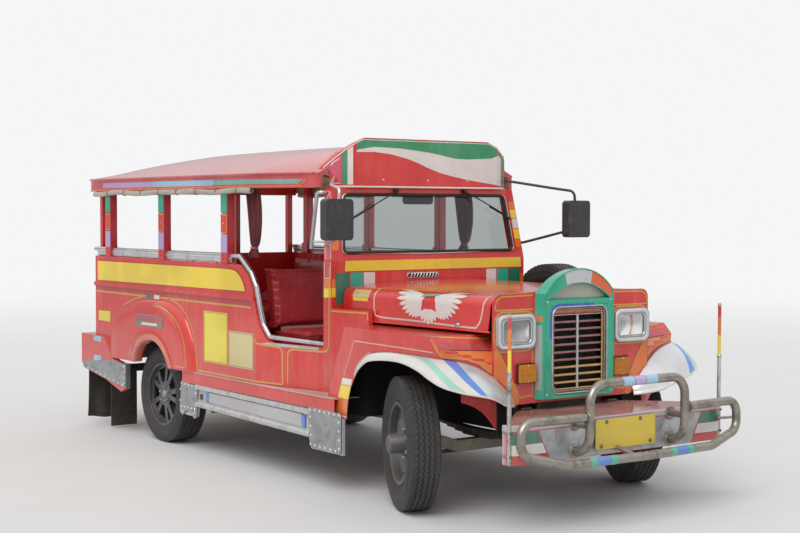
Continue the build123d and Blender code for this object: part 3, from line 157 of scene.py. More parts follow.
class Graph:
    """Adds and links shader nodes in one node tree."""

    def __init__(self, tree):
        self.tree = tree

    def feed(self, socket, value):
        if isinstance(value, bpy.types.NodeSocket):
            self.tree.links.new(value, socket)
        elif hasattr(value, "__len__") and len(value) == 3 and socket.type == "RGBA":
            socket.default_value = (*value, 1)
        else:
            socket.default_value = value

    def add(self, kind, inputs=None, **settings):
        node = self.tree.nodes.new(kind)
        for key, value in settings.items():
            setattr(node, key, value)
        for key, value in (inputs or {}).items():
            self.feed(node.inputs[key], value)
        return node

    def maths(self, operation, first, second=0.0, clamp=False):
        return self.add("ShaderNodeMath", {0: first, 1: second}, operation=operation, use_clamp=clamp).outputs[0]

    def mix(self, factor, first, second, blend="MIX"):
        node = self.add("ShaderNodeMix", {0: factor, 6: first, 7: second}, data_type="RGBA", blend_type=blend)
        return node.outputs[2]

    def blend(self, factor, first, second):
        return self.add("ShaderNodeMix", {0: factor, 2: first, 3: second}, data_type="FLOAT").outputs[0]

    def step(self, value, low, high, to_low=0.0, to_high=1.0):
        return self.add("ShaderNodeMapRange", {"Value": value, "From Min": low, "From Max": high,
                                               "To Min": to_low, "To Max": to_high},
                        interpolation_type="SMOOTHSTEP").outputs[0]

    def place(self, scale=(1, 1, 1)):
        where = self.add("ShaderNodeTexCoord").outputs["Object"]
        return self.add("ShaderNodeMapping", {"Vector": where, "Scale": scale}).outputs[0]

    def noise(self, where, scale, detail=3.0, roughness=0.55, distortion=0.0):
        return self.add("ShaderNodeTexNoise", {"Vector": where, "Scale": scale, "Detail": detail,
                                               "Roughness": roughness, "Distortion": distortion}).outputs[0]


def new_group(name, inputs, outputs):
    """An empty node group with named sockets: (name, kind, default) in and (name, kind) out."""
    tree = bpy.data.node_groups.new(name, "ShaderNodeTree")
    for label, kind, default in inputs:
        socket = tree.interface.new_socket(label, in_out="INPUT", socket_type="NodeSocket" + kind)
        socket.default_value = (*default, 1) if kind == "Color" else default
    for label, kind in outputs:
        tree.interface.new_socket(label, in_out="OUTPUT", socket_type="NodeSocket" + kind)
    graph = Graph(tree)
    return graph, graph.add("NodeGroupInput").outputs, graph.add("NodeGroupOutput").inputs


def group_tree(name, build):
    """The node group of that name, built the first time it is asked for."""
    return bpy.data.node_groups.get(name) or build(name)


def build_road_dust(name):
    """Where dust lies: low on the body, on ledges, and in soft clouds everywhere."""
    graph, given, out = new_group(
        name, [("Amount", "Float", 0.5), ("Splash height", "Float", 0.85), ("Ledges", "Float", 0.5)],
        [("Mask", "Float")])
    where = graph.place()
    height = graph.add("ShaderNodeSeparateXYZ", {0: where}).outputs[2]
    upward = graph.add("ShaderNodeSeparateXYZ", {0: graph.add("ShaderNodeNewGeometry").outputs["Normal"]}).outputs[2]
    cloud = graph.noise(where, 4.0, 5.0, 0.6, 0.4)
    speckle = graph.noise(where, 55.0, 3.0, 0.7)
    low = graph.maths("SUBTRACT", 1.0, graph.maths("DIVIDE", height, given["Splash height"]), True)
    ledge = graph.maths("MULTIPLY", graph.step(upward, 0.45, 0.95), given["Ledges"])
    amount = graph.maths("ADD", graph.maths("ADD", low, ledge), 0.07)
    amount = graph.maths("MULTIPLY", amount, graph.step(cloud, 0.28, 0.78, 0.45, 1.35))
    amount = graph.maths("MULTIPLY", amount, graph.step(speckle, 0.2, 0.8, 0.75, 1.2))
    graph.feed(out["Mask"], graph.maths("MULTIPLY", amount, given["Amount"], True))
    return graph.tree


def build_edge_wear(name):
    """Rounds hard edges softly, and masks where paint has rubbed off them."""
    graph, given, out = new_group(name, [("Amount", "Float", 0.5), ("Radius", "Float", 0.004)],
                                  [("Mask", "Float"), ("Normal", "Vector")])
    rounded = graph.add("ShaderNodeBevel", {"Radius": given["Radius"]}, samples=4).outputs[0]
    flat = graph.add("ShaderNodeNewGeometry").outputs["Normal"]
    likeness = graph.add("ShaderNodeVectorMath", {0: rounded, 1: flat}, operation="DOT_PRODUCT").outputs["Value"]
    where = graph.place()
    patchy = graph.maths("MULTIPLY", graph.noise(where, 9.0, 4.0, 0.6), graph.noise(where, 70.0, 4.0, 0.75))
    edge = graph.step(likeness, 0.985, 0.80)
    worn = graph.maths("MULTIPLY", edge, graph.step(patchy, 0.22, 0.36))
    graph.feed(out["Mask"], graph.maths("MULTIPLY", worn, given["Amount"], True))
    graph.feed(out["Normal"], rounded)
    return graph.tree


def build_enamel_ageing(name):
    """Hand-sprayed enamel: faded clouds, dust, chipped edges, soft dents and a slight orange peel."""
    graph, given, out = new_group(
        name,
        [("Colour", "Color", (0.5, 0.1, 0.1)), ("Undercoat", "Color", (0.25, 0.2, 0.18)),
         ("Dust colour", "Color", rgb("B4A594")), ("Fade", "Float", 0.3), ("Dust", "Float", 0.3),
         ("Ledges", "Float", 0.5), ("Wear", "Float", 0.4), ("Gloss", "Float", 0.22)],
        [("Colour", "Color"), ("Roughness", "Float"), ("Coat", "Float"), ("Height", "Float"), ("Normal", "Vector")])
    where = graph.place()
    cloud = graph.noise(where, 1.7, 4.0, 0.55, 0.6)
    streak = graph.noise(graph.place((9.0, 9.0, 1.3)), 2.2, 4.0, 0.6)
    bleached = graph.mix(0.38, given["Colour"], rgb("E8D5CC"))
    fade = graph.maths("MULTIPLY", graph.step(graph.maths("MULTIPLY", cloud, streak), 0.16, 0.42), given["Fade"])
    colour = graph.mix(graph.maths("MULTIPLY", fade, 0.6), given["Colour"], bleached)
    deep = graph.mix(1.0, given["Colour"], rgb("D2C6C6"), "MULTIPLY")
    colour = graph.mix(graph.step(cloud, 0.62, 0.38, 0.0, 0.35), colour, deep)
    dust = graph.add("ShaderNodeGroup", {}, node_tree=group_tree("Road dust", build_road_dust))
    graph.feed(dust.inputs["Amount"], given["Dust"])
    graph.feed(dust.inputs["Ledges"], given["Ledges"])
    edge = graph.add("ShaderNodeGroup", {}, node_tree=group_tree("Edge wear", build_edge_wear))
    graph.feed(edge.inputs["Amount"], given["Wear"])
    chips = graph.maths("MULTIPLY", graph.step(graph.noise(where, 38.0, 5.0, 0.8, 1.2), 0.70, 0.73), given["Wear"])
    worn = graph.maths("MAXIMUM", edge.outputs["Mask"], graph.maths("MULTIPLY", chips, 0.8))
    colour = graph.mix(dust.outputs["Mask"], colour, given["Dust colour"])
    graph.feed(out["Colour"], graph.mix(worn, colour, given["Undercoat"]))
    rough = graph.maths("ADD", given["Gloss"], graph.maths("MULTIPLY", dust.outputs["Mask"], 0.55))
    rough = graph.maths("ADD", rough, graph.maths("MULTIPLY", fade, 0.18))
    graph.feed(out["Roughness"], graph.maths("MAXIMUM", rough, graph.maths("MULTIPLY", worn, 0.6), True))
    graph.feed(out["Coat"], graph.maths("SUBTRACT", 0.75, graph.maths("ADD", dust.outputs["Mask"], worn), True))
    peel = graph.maths("MULTIPLY", graph.noise(where, 260.0, 2.0, 0.5), 0.06)
    dents = graph.maths("MULTIPLY", graph.noise(where, 3.2, 2.0, 0.4), 2.4)
    height = graph.maths("SUBTRACT", graph.maths("ADD", peel, dents), graph.maths("MULTIPLY", worn, 0.5))
    graph.feed(out["Height"], height)
    graph.feed(out["Normal"], edge.outputs["Normal"])
    return graph.tree


def build_painted_wheel_well_shade(name):
    """Black painted shade inside the front wings: below their tops, behind the slanted corners and the fascia."""
    graph, given, out = new_group(name, [("Top", "Float", 0.955), ("Back", "Float", 0.80)], [("Mask", "Float")])
    parts = graph.add("ShaderNodeSeparateXYZ", {0: graph.place()}).outputs
    across = graph.maths("ABSOLUTE", parts[1])
    inside = graph.step(across, 0.9085, 0.9025)
    under = graph.step(graph.maths("SUBTRACT", parts[2], given["Top"]), 0.004, -0.004)
    ahead = graph.step(graph.maths("SUBTRACT", parts[0], given["Back"]), -0.004, 0.004)
    slant = graph.maths("SUBTRACT", graph.maths("MULTIPLY", graph.maths("SUBTRACT", parts[0], 1.938), 0.96),
                        graph.maths("MULTIPLY", graph.maths("SUBTRACT", 0.92, across), 0.28))
    behind = graph.maths("MULTIPLY", graph.step(slant, -0.006, -0.012), graph.step(parts[0], 2.037, 2.033))
    facing = graph.add("ShaderNodeSeparateXYZ", {0: graph.add("ShaderNodeNewGeometry").outputs["Normal"]}).outputs[1]
    outward = graph.maths("MULTIPLY", facing, graph.maths("SIGN", parts[1]))
    inward = graph.maths("MAXIMUM", graph.step(outward, 0.8, 0.6), graph.step(across, 0.890, 0.880))
    inside = graph.maths("MAXIMUM", inside, graph.step(outward, -0.6, -0.8))
    mask = graph.maths("MULTIPLY", graph.maths("MULTIPLY", inside, under), graph.maths("MULTIPLY", ahead, behind))
    mask = graph.maths("MULTIPLY", mask, inward)
    graph.feed(out["Mask"], mask)
    return graph.tree


def build_metal_ageing(name):
    """Bare or plated metal: brushing, stains, spots of rust and dust."""
    graph, given, out = new_group(
        name,
        [("Colour", "Color", (0.6, 0.6, 0.6)), ("Rust", "Float", 0.2), ("Dust", "Float", 0.3),
         ("Shine", "Float", 0.25), ("Stains", "Float", 0.4)],
        [("Colour", "Color"), ("Roughness", "Float"), ("Metallic", "Float"), ("Height", "Float"),
         ("Normal", "Vector")])
    where = graph.place()
    stain = graph.step(graph.noise(where, 11.0, 5.0, 0.65, 0.8), 0.42, 0.72)
    brushed = graph.noise(graph.place((1.0, 30.0, 30.0)), 9.0, 3.0, 0.7)
    rust = graph.maths("MULTIPLY", graph.step(graph.noise(where, 24.0, 6.0, 0.75, 0.5), 0.56, 0.66), given["Rust"])
    dust = graph.add("ShaderNodeGroup", {}, node_tree=group_tree("Road dust", build_road_dust))
    graph.feed(dust.inputs["Amount"], given["Dust"])
    dull = graph.mix(1.0, given["Colour"], rgb("A8A49E"), "MULTIPLY")
    colour = graph.mix(graph.maths("MULTIPLY", stain, given["Stains"]), given["Colour"], dull)
    colour = graph.mix(graph.step(brushed, 0.3, 0.7, 0.0, 0.14), colour, dull)
    rusty = graph.mix(graph.noise(where, 60.0, 3.0), rgb("5B2E19"), rgb("9A5A33"))
    colour = graph.mix(rust, colour, rusty)
    graph.feed(out["Colour"], graph.mix(dust.outputs["Mask"], colour, rgb("9F9384")))
    rough = graph.maths("ADD", given["Shine"], graph.maths("MULTIPLY", stain, 0.14))
    rough = graph.maths("ADD", rough, graph.maths("MULTIPLY", brushed, 0.10))
    rough = graph.maths("ADD", rough, graph.maths("MULTIPLY", graph.maths("ADD", rust, dust.outputs["Mask"]), 0.5))
    graph.feed(out["Roughness"], graph.maths("MINIMUM", rough, 0.95))
    covered = graph.maths("ADD", rust, graph.maths("MULTIPLY", dust.outputs["Mask"], 0.9))
    graph.feed(out["Metallic"], graph.maths("SUBTRACT", 1.0, covered, True))
    graph.feed(out["Height"], graph.maths("ADD", graph.maths("MULTIPLY", rust, 0.6),
                                          graph.maths("MULTIPLY", brushed, 0.10)))
    edge = graph.add("ShaderNodeGroup", {}, node_tree=group_tree("Edge wear", build_edge_wear))
    graph.feed(out["Normal"], edge.outputs["Normal"])
    return graph.tree


def build_grain(name):
    """Leathery vinyl or moulded grain, with scuffs, dust, and painted shade in the grain's creases."""
    graph, given, out = new_group(
        name,
        [("Colour", "Color", (0.3, 0.05, 0.05)), ("Scale", "Float", 160.0), ("Scuffs", "Float", 0.3),
         ("Dust", "Float", 0.15), ("Shine", "Float", 0.42)],
        [("Colour", "Color"), ("Roughness", "Float"), ("Height", "Float")])
    where = graph.place()
    cells = graph.add("ShaderNodeTexVoronoi", {"Vector": where, "Scale": given["Scale"]},
                      feature="DISTANCE_TO_EDGE").outputs["Distance"]
    creases = graph.step(cells, 0.0, 0.12)
    soft = graph.noise(where, 6.0, 4.0, 0.6)
    scuff = graph.maths("MULTIPLY", graph.step(graph.noise(where, 19.0, 6.0, 0.75, 1.0), 0.52, 0.68),
                        given["Scuffs"])
    dust = graph.add("ShaderNodeGroup", {}, node_tree=group_tree("Road dust", build_road_dust))
    graph.feed(dust.inputs["Amount"], given["Dust"])
    dark = graph.mix(1.0, given["Colour"], rgb("A39C9C"), "MULTIPLY")
    light = graph.mix(0.35, given["Colour"], rgb("D8CFC8"))
    colour = graph.mix(graph.step(soft, 0.3, 0.7, 0.35, 0.0), given["Colour"], dark)
    # Darker in the grain's creases: painted shade
    colour = graph.mix(graph.maths("SUBTRACT", 0.35, graph.maths("MULTIPLY", creases, 0.35), True), colour, dark)
    colour = graph.mix(graph.maths("MULTIPLY", scuff, 0.5), colour, light)
    graph.feed(out["Colour"], graph.mix(dust.outputs["Mask"], colour, rgb("9F9384")))
    rough = graph.maths("ADD", given["Shine"], graph.maths("MULTIPLY", scuff, 0.25))
    graph.feed(out["Roughness"], graph.maths("ADD", rough, graph.maths("MULTIPLY", dust.outputs["Mask"], 0.3), True))
    graph.feed(out["Height"], graph.maths("MULTIPLY", creases, 0.5))
    return graph.tree


def build_weave(name):
    """Plain woven cloth: crossing threads, uneven dye, and soft stains."""
    graph, given, out = new_group(
        name, [("Colour", "Color", (0.5, 0.5, 0.45)), ("Threads", "Float", 420.0), ("Stains", "Float", 0.4)],
        [("Colour", "Color"), ("Roughness", "Float"), ("Height", "Float")])
    where = graph.place()
    warp = graph.add("ShaderNodeTexWave", {"Vector": where, "Scale": given["Threads"], "Distortion": 0.6},
                     wave_type="BANDS", bands_direction="X").outputs[1]
    weft = graph.add("ShaderNodeTexWave", {"Vector": where, "Scale": given["Threads"], "Distortion": 0.6},
                     wave_type="BANDS", bands_direction="Z").outputs[1]
    thread = graph.maths("MAXIMUM", warp, weft)
    dye = graph.noise(where, 5.0, 5.0, 0.65, 0.4)
    dark = graph.mix(1.0, given["Colour"], rgb("9C948C"), "MULTIPLY")
    stain = graph.maths("MULTIPLY", graph.step(dye, 0.45, 0.75), given["Stains"])
    colour = graph.mix(stain, given["Colour"], dark)
    graph.feed(out["Colour"], graph.mix(graph.step(thread, 0.0, 0.7, 0.4, 0.0), colour, dark))
    graph.feed(out["Roughness"], graph.step(dye, 0.2, 0.8, 0.78, 0.92))
    graph.feed(out["Height"], graph.maths("MULTIPLY", thread, 0.6))
    return graph.tree


# Materials: each is made once, under its own name


def start_material(name):
    """A new node material as (material, graph, shader)."""
    material = bpy.data.materials.new(name)
    material.use_nodes = True
    graph = Graph(material.node_tree)
    return material, graph, material.node_tree.nodes["Principled BSDF"]


def bump(graph, shader, height, distance, normal=None):
    node = graph.add("ShaderNodeBump", {"Height": height, "Strength": 1.0, "Distance": distance})
    if normal is not None:
        graph.feed(node.inputs["Normal"], normal)
    graph.feed(shader.inputs["Normal"], node.outputs[0])


def enamel(name, colour, fade=0.35, dust=0.30, wear=0.35, gloss=0.24, ledges=0.5, undercoat="6A5347",
           metallic=0.0, dust_colour="B4A594"):
    """Sprayed enamel of one colour."""
    if name in bpy.data.materials:
        return bpy.data.materials[name]
    material, graph, shader = start_material(name)
    aged = graph.add("ShaderNodeGroup", {}, node_tree=group_tree("Enamel ageing", build_enamel_ageing))
    for key, value in (("Colour", tuple(colour)), ("Undercoat", rgb(undercoat)), ("Fade", fade), ("Dust", dust),
                       ("Ledges", ledges), ("Wear", wear), ("Gloss", gloss), ("Dust colour", rgb(dust_colour))):
        graph.feed(aged.inputs[key], value)
    graph.feed(shader.inputs["Base Color"], aged.outputs["Colour"])
    graph.feed(shader.inputs["Roughness"], aged.outputs["Roughness"])
    graph.feed(shader.inputs["Coat Weight"], aged.outputs["Coat"])
    shader.inputs["Coat Roughness"].default_value = 0.12
    shader.inputs["Metallic"].default_value = metallic
    bump(graph, shader, aged.outputs["Height"], 0.0012, aged.outputs["Normal"])
    return material


def enamel_with_painted_shade(name, colour):
    """Body enamel that gives way to black painted shade inside the front wings."""
    if name in bpy.data.materials:
        return bpy.data.materials[name]
    material = enamel(name, colour, fade=0.35, dust=0.22, wear=0.3)
    graph = Graph(material.node_tree)
    shader = material.node_tree.nodes["Principled BSDF"]
    aged = shader.inputs["Base Color"].links[0].from_socket
    rough = shader.inputs["Roughness"].links[0].from_socket
    coat = shader.inputs["Coat Weight"].links[0].from_socket
    mask = graph.add("ShaderNodeGroup", {}, node_tree=group_tree("Underseal", build_painted_wheel_well_shade)).outputs["Mask"]
    # Near-black where the mask is set: painted shade inside the wings
    graph.feed(shader.inputs["Base Color"], graph.mix(mask, aged, rgb("0E0D0D")))
    graph.feed(shader.inputs["Roughness"], graph.blend(mask, rough, 0.95))
    graph.feed(shader.inputs["Coat Weight"], graph.blend(mask, coat, 0.0))
    return material


def metal(name, code, rust=0.1, dust=0.25, shine=0.2, stains=0.4):
    """Bare or plated metal."""
    if name in bpy.data.materials:
        return bpy.data.materials[name]
    material, graph, shader = start_material(name)
    aged = graph.add("ShaderNodeGroup", {}, node_tree=group_tree("Metal ageing", build_metal_ageing))
    for key, value in (("Colour", rgb(code)), ("Rust", rust), ("Dust", dust), ("Shine", shine),
                       ("Stains", stains)):
        graph.feed(aged.inputs[key], value)
    graph.feed(shader.inputs["Base Color"], aged.outputs["Colour"])
    graph.feed(shader.inputs["Roughness"], aged.outputs["Roughness"])
    graph.feed(shader.inputs["Metallic"], aged.outputs["Metallic"])
    bump(graph, shader, aged.outputs["Height"], 0.0006, aged.outputs["Normal"])
    return material


def moulded(name, code, scale=160.0, scuffs=0.3, dust=0.15, shine=0.42, depth=0.0005, sheen=0.0):
    """Vinyl, rubber or plastic with a moulded grain."""
    if name in bpy.data.materials:
        return bpy.data.materials[name]
    material, graph, shader = start_material(name)
    aged = graph.add("ShaderNodeGroup", {}, node_tree=group_tree("Grain", build_grain))
    for key, value in (("Colour", rgb(code)), ("Scale", scale), ("Scuffs", scuffs), ("Dust", dust),
                       ("Shine", shine)):
        graph.feed(aged.inputs[key], value)
    graph.feed(shader.inputs["Base Color"], aged.outputs["Colour"])
    graph.feed(shader.inputs["Roughness"], aged.outputs["Roughness"])
    shader.inputs["Sheen Weight"].default_value = sheen
    bump(graph, shader, aged.outputs["Height"], depth)
    return material


def cloth(name, code, threads=420.0, stains=0.4, depth=0.0006):
    """Woven cloth."""
    if name in bpy.data.materials:
        return bpy.data.materials[name]
    material, graph, shader = start_material(name)
    aged = graph.add("ShaderNodeGroup", {}, node_tree=group_tree("Weave", build_weave))
    for key, value in (("Colour", rgb(code)), ("Threads", threads), ("Stains", stains)):
        graph.feed(aged.inputs[key], value)
    graph.feed(shader.inputs["Base Color"], aged.outputs["Colour"])
    graph.feed(shader.inputs["Roughness"], aged.outputs["Roughness"])
    shader.inputs["Sheen Weight"].default_value = 0.2
    bump(graph, shader, aged.outputs["Height"], depth)
    return material


def glass_pane(name, code, roughness=0.03, transmission=1.0, ior=1.45):
    """Clear or tinted glass with a film of dust."""
    if name in bpy.data.materials:
        return bpy.data.materials[name]
    material, graph, shader = start_material(name)
    dust = graph.add("ShaderNodeGroup", {"Amount": 0.35}, node_tree=group_tree("Road dust", build_road_dust))
    colour = graph.mix(graph.maths("MULTIPLY", dust.outputs["Mask"], 0.3), rgb(code), rgb("B9B0A2"))
    graph.feed(shader.inputs["Base Color"], colour)
    rough = graph.maths("ADD", roughness, graph.maths("MULTIPLY", dust.outputs["Mask"], 0.10))
    graph.feed(shader.inputs["Roughness"], rough)
    shader.inputs["Transmission Weight"].default_value = transmission
    shader.inputs["IOR"].default_value = ior
    return material


# Finishes that several pieces share: how it is made, colour, settings
SHARED_FINISHES = {
    "Chassis black": (enamel, "2B2A2A", dict(fade=0.3, dust=0.85, wear=0.5, gloss=0.5)),
    "Plated steel": (metal, "D9DADB", dict(rust=0.10, dust=0.12, shine=0.12, stains=0.45)),
    "Worn tube steel": (metal, "A9A49B", dict(rust=0.35, dust=0.25, shine=0.26, stains=0.8)),
    "Stainless strip": (metal, "E2E3E4", dict(rust=0.03, dust=0.16, shine=0.24, stains=0.5)),
    "Riveted plate": (metal, "B9BCBF", dict(rust=0.05, dust=0.12, shine=0.34, stains=0.5)),
    "Rivet head": (metal, "F0F1F2", dict(rust=0.02, dust=0.02, shine=0.22, stains=0.1)),
    "Lamp bezel metal": (metal, "B9BBBD", dict(rust=0.05, dust=0.2, shine=0.26, stains=0.5)),
    "Greasy iron": (metal, "4A4642", dict(rust=0.55, dust=0.75, shine=0.5)),
    "Black plastic": (moulded, "3A3D40", dict(scale=300.0, scuffs=0.4, dust=0.3, shine=0.45)),
    "Mud flap rubber": (moulded, "1A1A1A", dict(scale=90.0, scuffs=0.3, dust=0.16, shine=0.6)),
    "Gasket rubber": (moulded, "191818", dict(scale=240.0, scuffs=0.2, dust=0.2, shine=0.5)),
    "Tyre rubber": (moulded, "2C2D2F", dict(scale=210.0, scuffs=0.3, dust=0.12, shine=0.6)),
    "Amber lens": (moulded, "D98A1C", dict(scale=60.0, scuffs=0.2, dust=0.2, shine=0.2)),
    "Red lens": (moulded, "A01714", dict(scale=60.0, scuffs=0.2, dust=0.2, shine=0.2)),
    "Seat vinyl": (moulded, "C4343A", dict(scale=190.0, scuffs=0.4, dust=0.08, shine=0.36)),
    "Lamp glass": (glass_pane, "F4F6F6", dict(roughness=0.08)),
    "Tarp cloth": (cloth, "BDB9AC", dict()),
    "Curtain cloth": (cloth, "6E2C2E", dict()),
    "Tie tape": (cloth, "C2474F", dict(threads=900.0, stains=0.3)),
}


def shared(name):
    """A finish that several pieces share, made the first time it is asked for."""
    make, code, settings = SHARED_FINISHES[name]
    return make(name, rgb(code) if make is enamel else code, **settings)


def paint(key):
    """The enamel of one of the colours in the sidebar."""
    label = key.replace("_", " ").capitalize() + " enamel"
    if label in bpy.data.materials:
        return bpy.data.materials[label]
    special = {
        "body_red": dict(fade=0.14, dust=0.22, wear=0.26, gloss=0.20, ledges=0.35),
        "yellow": dict(fade=0.10, dust=0.12, wear=0.20, gloss=0.24),
        "lavender": dict(fade=0.20, dust=0.10, wear=0.20),
        "light_blue": dict(fade=0.20, dust=0.10, wear=0.20),
        "roof_red": dict(fade=0.50, dust=0.22, wear=0.25, gloss=0.19, ledges=0.20, dust_colour="C9B7B0"),
        "deck_red": dict(fade=0.9, dust=0.75, wear=1.0, gloss=0.5, ledges=0.5, undercoat="5D4A44"),
        "grey": dict(fade=0.2, dust=0.5, wear=0.5, gloss=0.34),
        "teal": dict(fade=0.25, dust=0.22, wear=0.45, gloss=0.26, undercoat="8E9A96"),
    }
    return enamel(label, getattr(bpy.context.scene.jeepney_paint, key), **special.get(key, {}))


# Mesh tools


class Mesh:
    """Collects points and faces of one piece, each face with one of the piece's materials."""

    def __init__(self):
        self.points, self.faces, self.slots, self.materials = [], [], [], []

    def slot(self, material):
        if material not in self.materials:
            self.materials.append(material)
        return self.materials.index(material)

    def add(self, points, faces, material):
        start, slot = len(self.points), self.slot(material)
        self.points += [tuple(p) for p in points]
        self.faces += [tuple(start + i for i in face) for face in faces]
        self.slots += [slot] * len(faces)

    def grid(self, rows, material, around=False, along=False):
        """A net of quads through rows of points; around closes each row, along joins the last row to the first."""
        count = len(rows[0])
        faces = []
        for i in range(len(rows) if along else len(rows) - 1):
            j = (i + 1) % len(rows)
            for k in range(count if around else count - 1):
                n = (k + 1) % count
                faces.append((i * count + k, i * count + n, j * count + n, j * count + k))
        self.add([p for row in rows for p in row], faces, material)

    def cap(self, ring, material, turned=False):
        order = range(len(ring))
        self.add(ring, [tuple(reversed(order)) if turned else tuple(order)], material)

    def tube(self, path, radius, material, sides=14, closed=False, ends=True, squeeze=None):
        """A round bar along a path of points; radius may be a list, one for each point."""
        path = [Vector(p) for p in path]
        count = len(path)
        radii = radius if isinstance(radius, (list, tuple)) else [radius] * count
        tangents = []
        for i in range(count):
            before = path[i - 1] if closed or i else path[i]
            after = path[(i + 1) % count] if closed or i < count - 1 else path[i]
            tangents.append((after - before).normalized())
        side = tangents[0].orthogonal().normalized()
        rows = []
        for point, tangent, r in zip(path, tangents, radii):
            side = (side - tangent * side.dot(tangent)).normalized()
            up = tangent.cross(side)
            wide, high = squeeze or (1, 1)
            rows.append([point + side * (r * wide * math.cos(a)) + up * (r * high * math.sin(a))
                         for a in (2 * math.pi * k / sides for k in range(sides))])
        self.grid(rows, material, around=True, along=closed)
        if ends and not closed:
            self.cap(rows[0], material, True)
            self.cap(rows[-1], material)

    def turned(self, profile, centre, axis, material, sides=48, closed=False):
        """A body turned about an axis; profile holds (distance along the axis, radius)."""
        axis = Vector(axis).normalized()
        side = axis.orthogonal().normalized()
        up = axis.cross(side)
        centre = Vector(centre)
        rows = [[centre + axis * along + (side * math.cos(a) + up * math.sin(a)) * r for along, r in profile]
                for a in (2 * math.pi * k / sides for k in range(sides))]
        self.grid(rows, material, around=closed, along=True)

    def slab(self, outline, thickness, direction, material, edge=0.0):
        """A flat plate: an outline of points thickened along a direction, its upper edge bevelled."""
        push = Vector(direction).normalized()
        outline = [Vector(p) for p in outline]
        middle = sum(outline, Vector()) / len(outline)
        rings = [outline]
        if edge:
            rings.append([p + push * (thickness - edge) for p in outline])
            drawn = [p + (middle - p).normalized() * edge * 1.2 + push * thickness for p in outline]
            rings.append(drawn)
        else:
            rings.append([p + push * thickness for p in outline])
        self.grid(rings, material, around=True)
        self.cap(rings[0], material, True)
        self.cap(rings[-1], material)

    def box(self, low, high, material, edge=0.004):
        """A block with chamfered edges."""
        x0, y0, z0 = low
        x1, y1, z1 = high
        edge = min(edge, (x1 - x0) * 0.45, (y1 - y0) * 0.45, (z1 - z0) * 0.45)
        rings = []
        for z, inset in ((z0, edge), (z0 + edge, 0), (z1 - edge, 0), (z1, edge)):
            ring = []
            for sx, sy in ((-1, -1), (1, -1), (1, 1), (-1, 1)):
                cx, cy = (x1 if sx > 0 else x0), (y1 if sy > 0 else y0)
                first = (cx - sx * (edge + inset), cy - sy * inset, z)
                second = (cx - sx * inset, cy - sy * (edge + inset), z)
                ring += [second, first] if sx * sy > 0 else [first, second]
            rings.append(ring[::-1])
        self.grid(rings, material, around=True)
        self.cap(rings[0], material, True)
        self.cap(rings[-1], material)

    def dome(self, centre, direction, radius, material, height=0.6, sides=10):
        """A rivet or bolt head."""
        steps = 3
        profile = [(radius * height * math.sin(math.pi / 2 * i / steps), radius * math.cos(math.pi / 2 * i / steps))
                   for i in range(steps)]
        profile.append((radius * height, radius * 0.05))
        self.turned(profile, centre, direction, material, sides)

    def bolt(self, centre, direction, radius, material, height=0.008):
        """A hexagon nut on a washer."""
        self.turned([(0, radius * 1.5), (height * 0.25, radius * 1.5), (height * 0.25, 0.001)], centre, direction,
                    material, 20)
        profile = [(height * 0.25, radius), (height * 0.9, radius), (height * 1.05, radius * 0.86),
                   (height * 1.05, 0.001)]
        self.turned(profile, centre, direction, material, 6)

    def mirrored(self):
        """Adds the same faces again on the other side of the centre plane."""
        count = len(self.points)
        self.points += [(x, -y, z) for x, y, z in self.points]
        self.faces += [tuple(count + i for i in reversed(face)) for face in list(self.faces)]
        self.slots += list(self.slots)

    def piece(self, name, body="body", slot=None, smooth=35.0, merge=0.0):
        """Makes the object, shades it and lets it ride on a body."""
        data = bpy.data.meshes.new(name)
        data.from_pydata(self.points, [], self.faces)
        for material in self.materials:
            data.materials.append(material)
        data.polygons.foreach_set("material_index", self.slots)
        if merge:
            work = bmesh.new()
            work.from_mesh(data)
            bmesh.ops.remove_doubles(work, verts=work.verts, dist=merge)
            work.to_mesh(data)
            work.free()
        data.validate()
        data.update()
        if smooth >= 180:
            data.shade_smooth()
        elif smooth > 0:
            data.set_sharp_from_angle(angle=math.radians(smooth))
            for polygon in data.polygons:
                polygon.use_smooth = True
        item = bpy.data.objects.new(name, data)
        bpy.context.scene.collection.objects.link(item)
        if body:
            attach(item, body)
        return item


def ring_outline(u, v, width, height, corner, steps=6):
    """A rounded rectangle about (u, v) as a list of pairs, counter-clockwise."""
    pairs = []
    corner = min(corner, width / 2, height / 2)
    for su, sv, first in ((1, 1, 0), (-1, 1, 90), (-1, -1, 180), (1, -1, 270)):
        cu, cv = u + su * (width / 2 - corner), v + sv * (height / 2 - corner)
        for i in range(steps + 1):
            a = math.radians(first + 90 * i / steps)
            pairs.append((cu + corner * math.cos(a), cv + corner * math.sin(a)))
    return pairs


def smooth_path(points, pitch=0.02, closed=False):
    """A Catmull-Rom curve through the points, in steps of about the pitch."""
    points = [Vector(p) for p in points]
    count = len(points)
    path = []
    for i in range(count if closed else count - 1):
        if closed:
            a, b, c, d = (points[(i + k) % count] for k in (-1, 0, 1, 2))
        else:
            a, b, c, d = (points[min(max(i + k, 0), count - 1)] for k in (-1, 0, 1, 2))
        steps = max(2, math.ceil((c - b).length / pitch))
        for j in range(steps):
            t = j / steps
            path.append(0.5 * ((2 * b) + (c - a) * t + (2 * a - 5 * b + 4 * c - d) * t * t
                               + (3 * b - a - 3 * c + d) * t ** 3))
    if not closed:
        path.append(points[-1])
    return path


def rounded_path(points, radius, steps=7):
    """Straight runs joined by arcs of about the radius, as in a bent tube."""
    points = [Vector(p) for p in points]
    path = [points[0]]
    for before, corner, after in zip(points, points[1:], points[2:]):
        reach = min(radius, (corner - before).length * 0.48, (after - corner).length * 0.48)
        start = corner + (before - corner).normalized() * reach
        end = corner + (after - corner).normalized() * reach
        for i in range(steps + 1):
            t = i / steps
            path.append(start * (1 - t) ** 2 + corner * 2 * t * (1 - t) + end * t * t)
    path.append(points[-1])
    return path


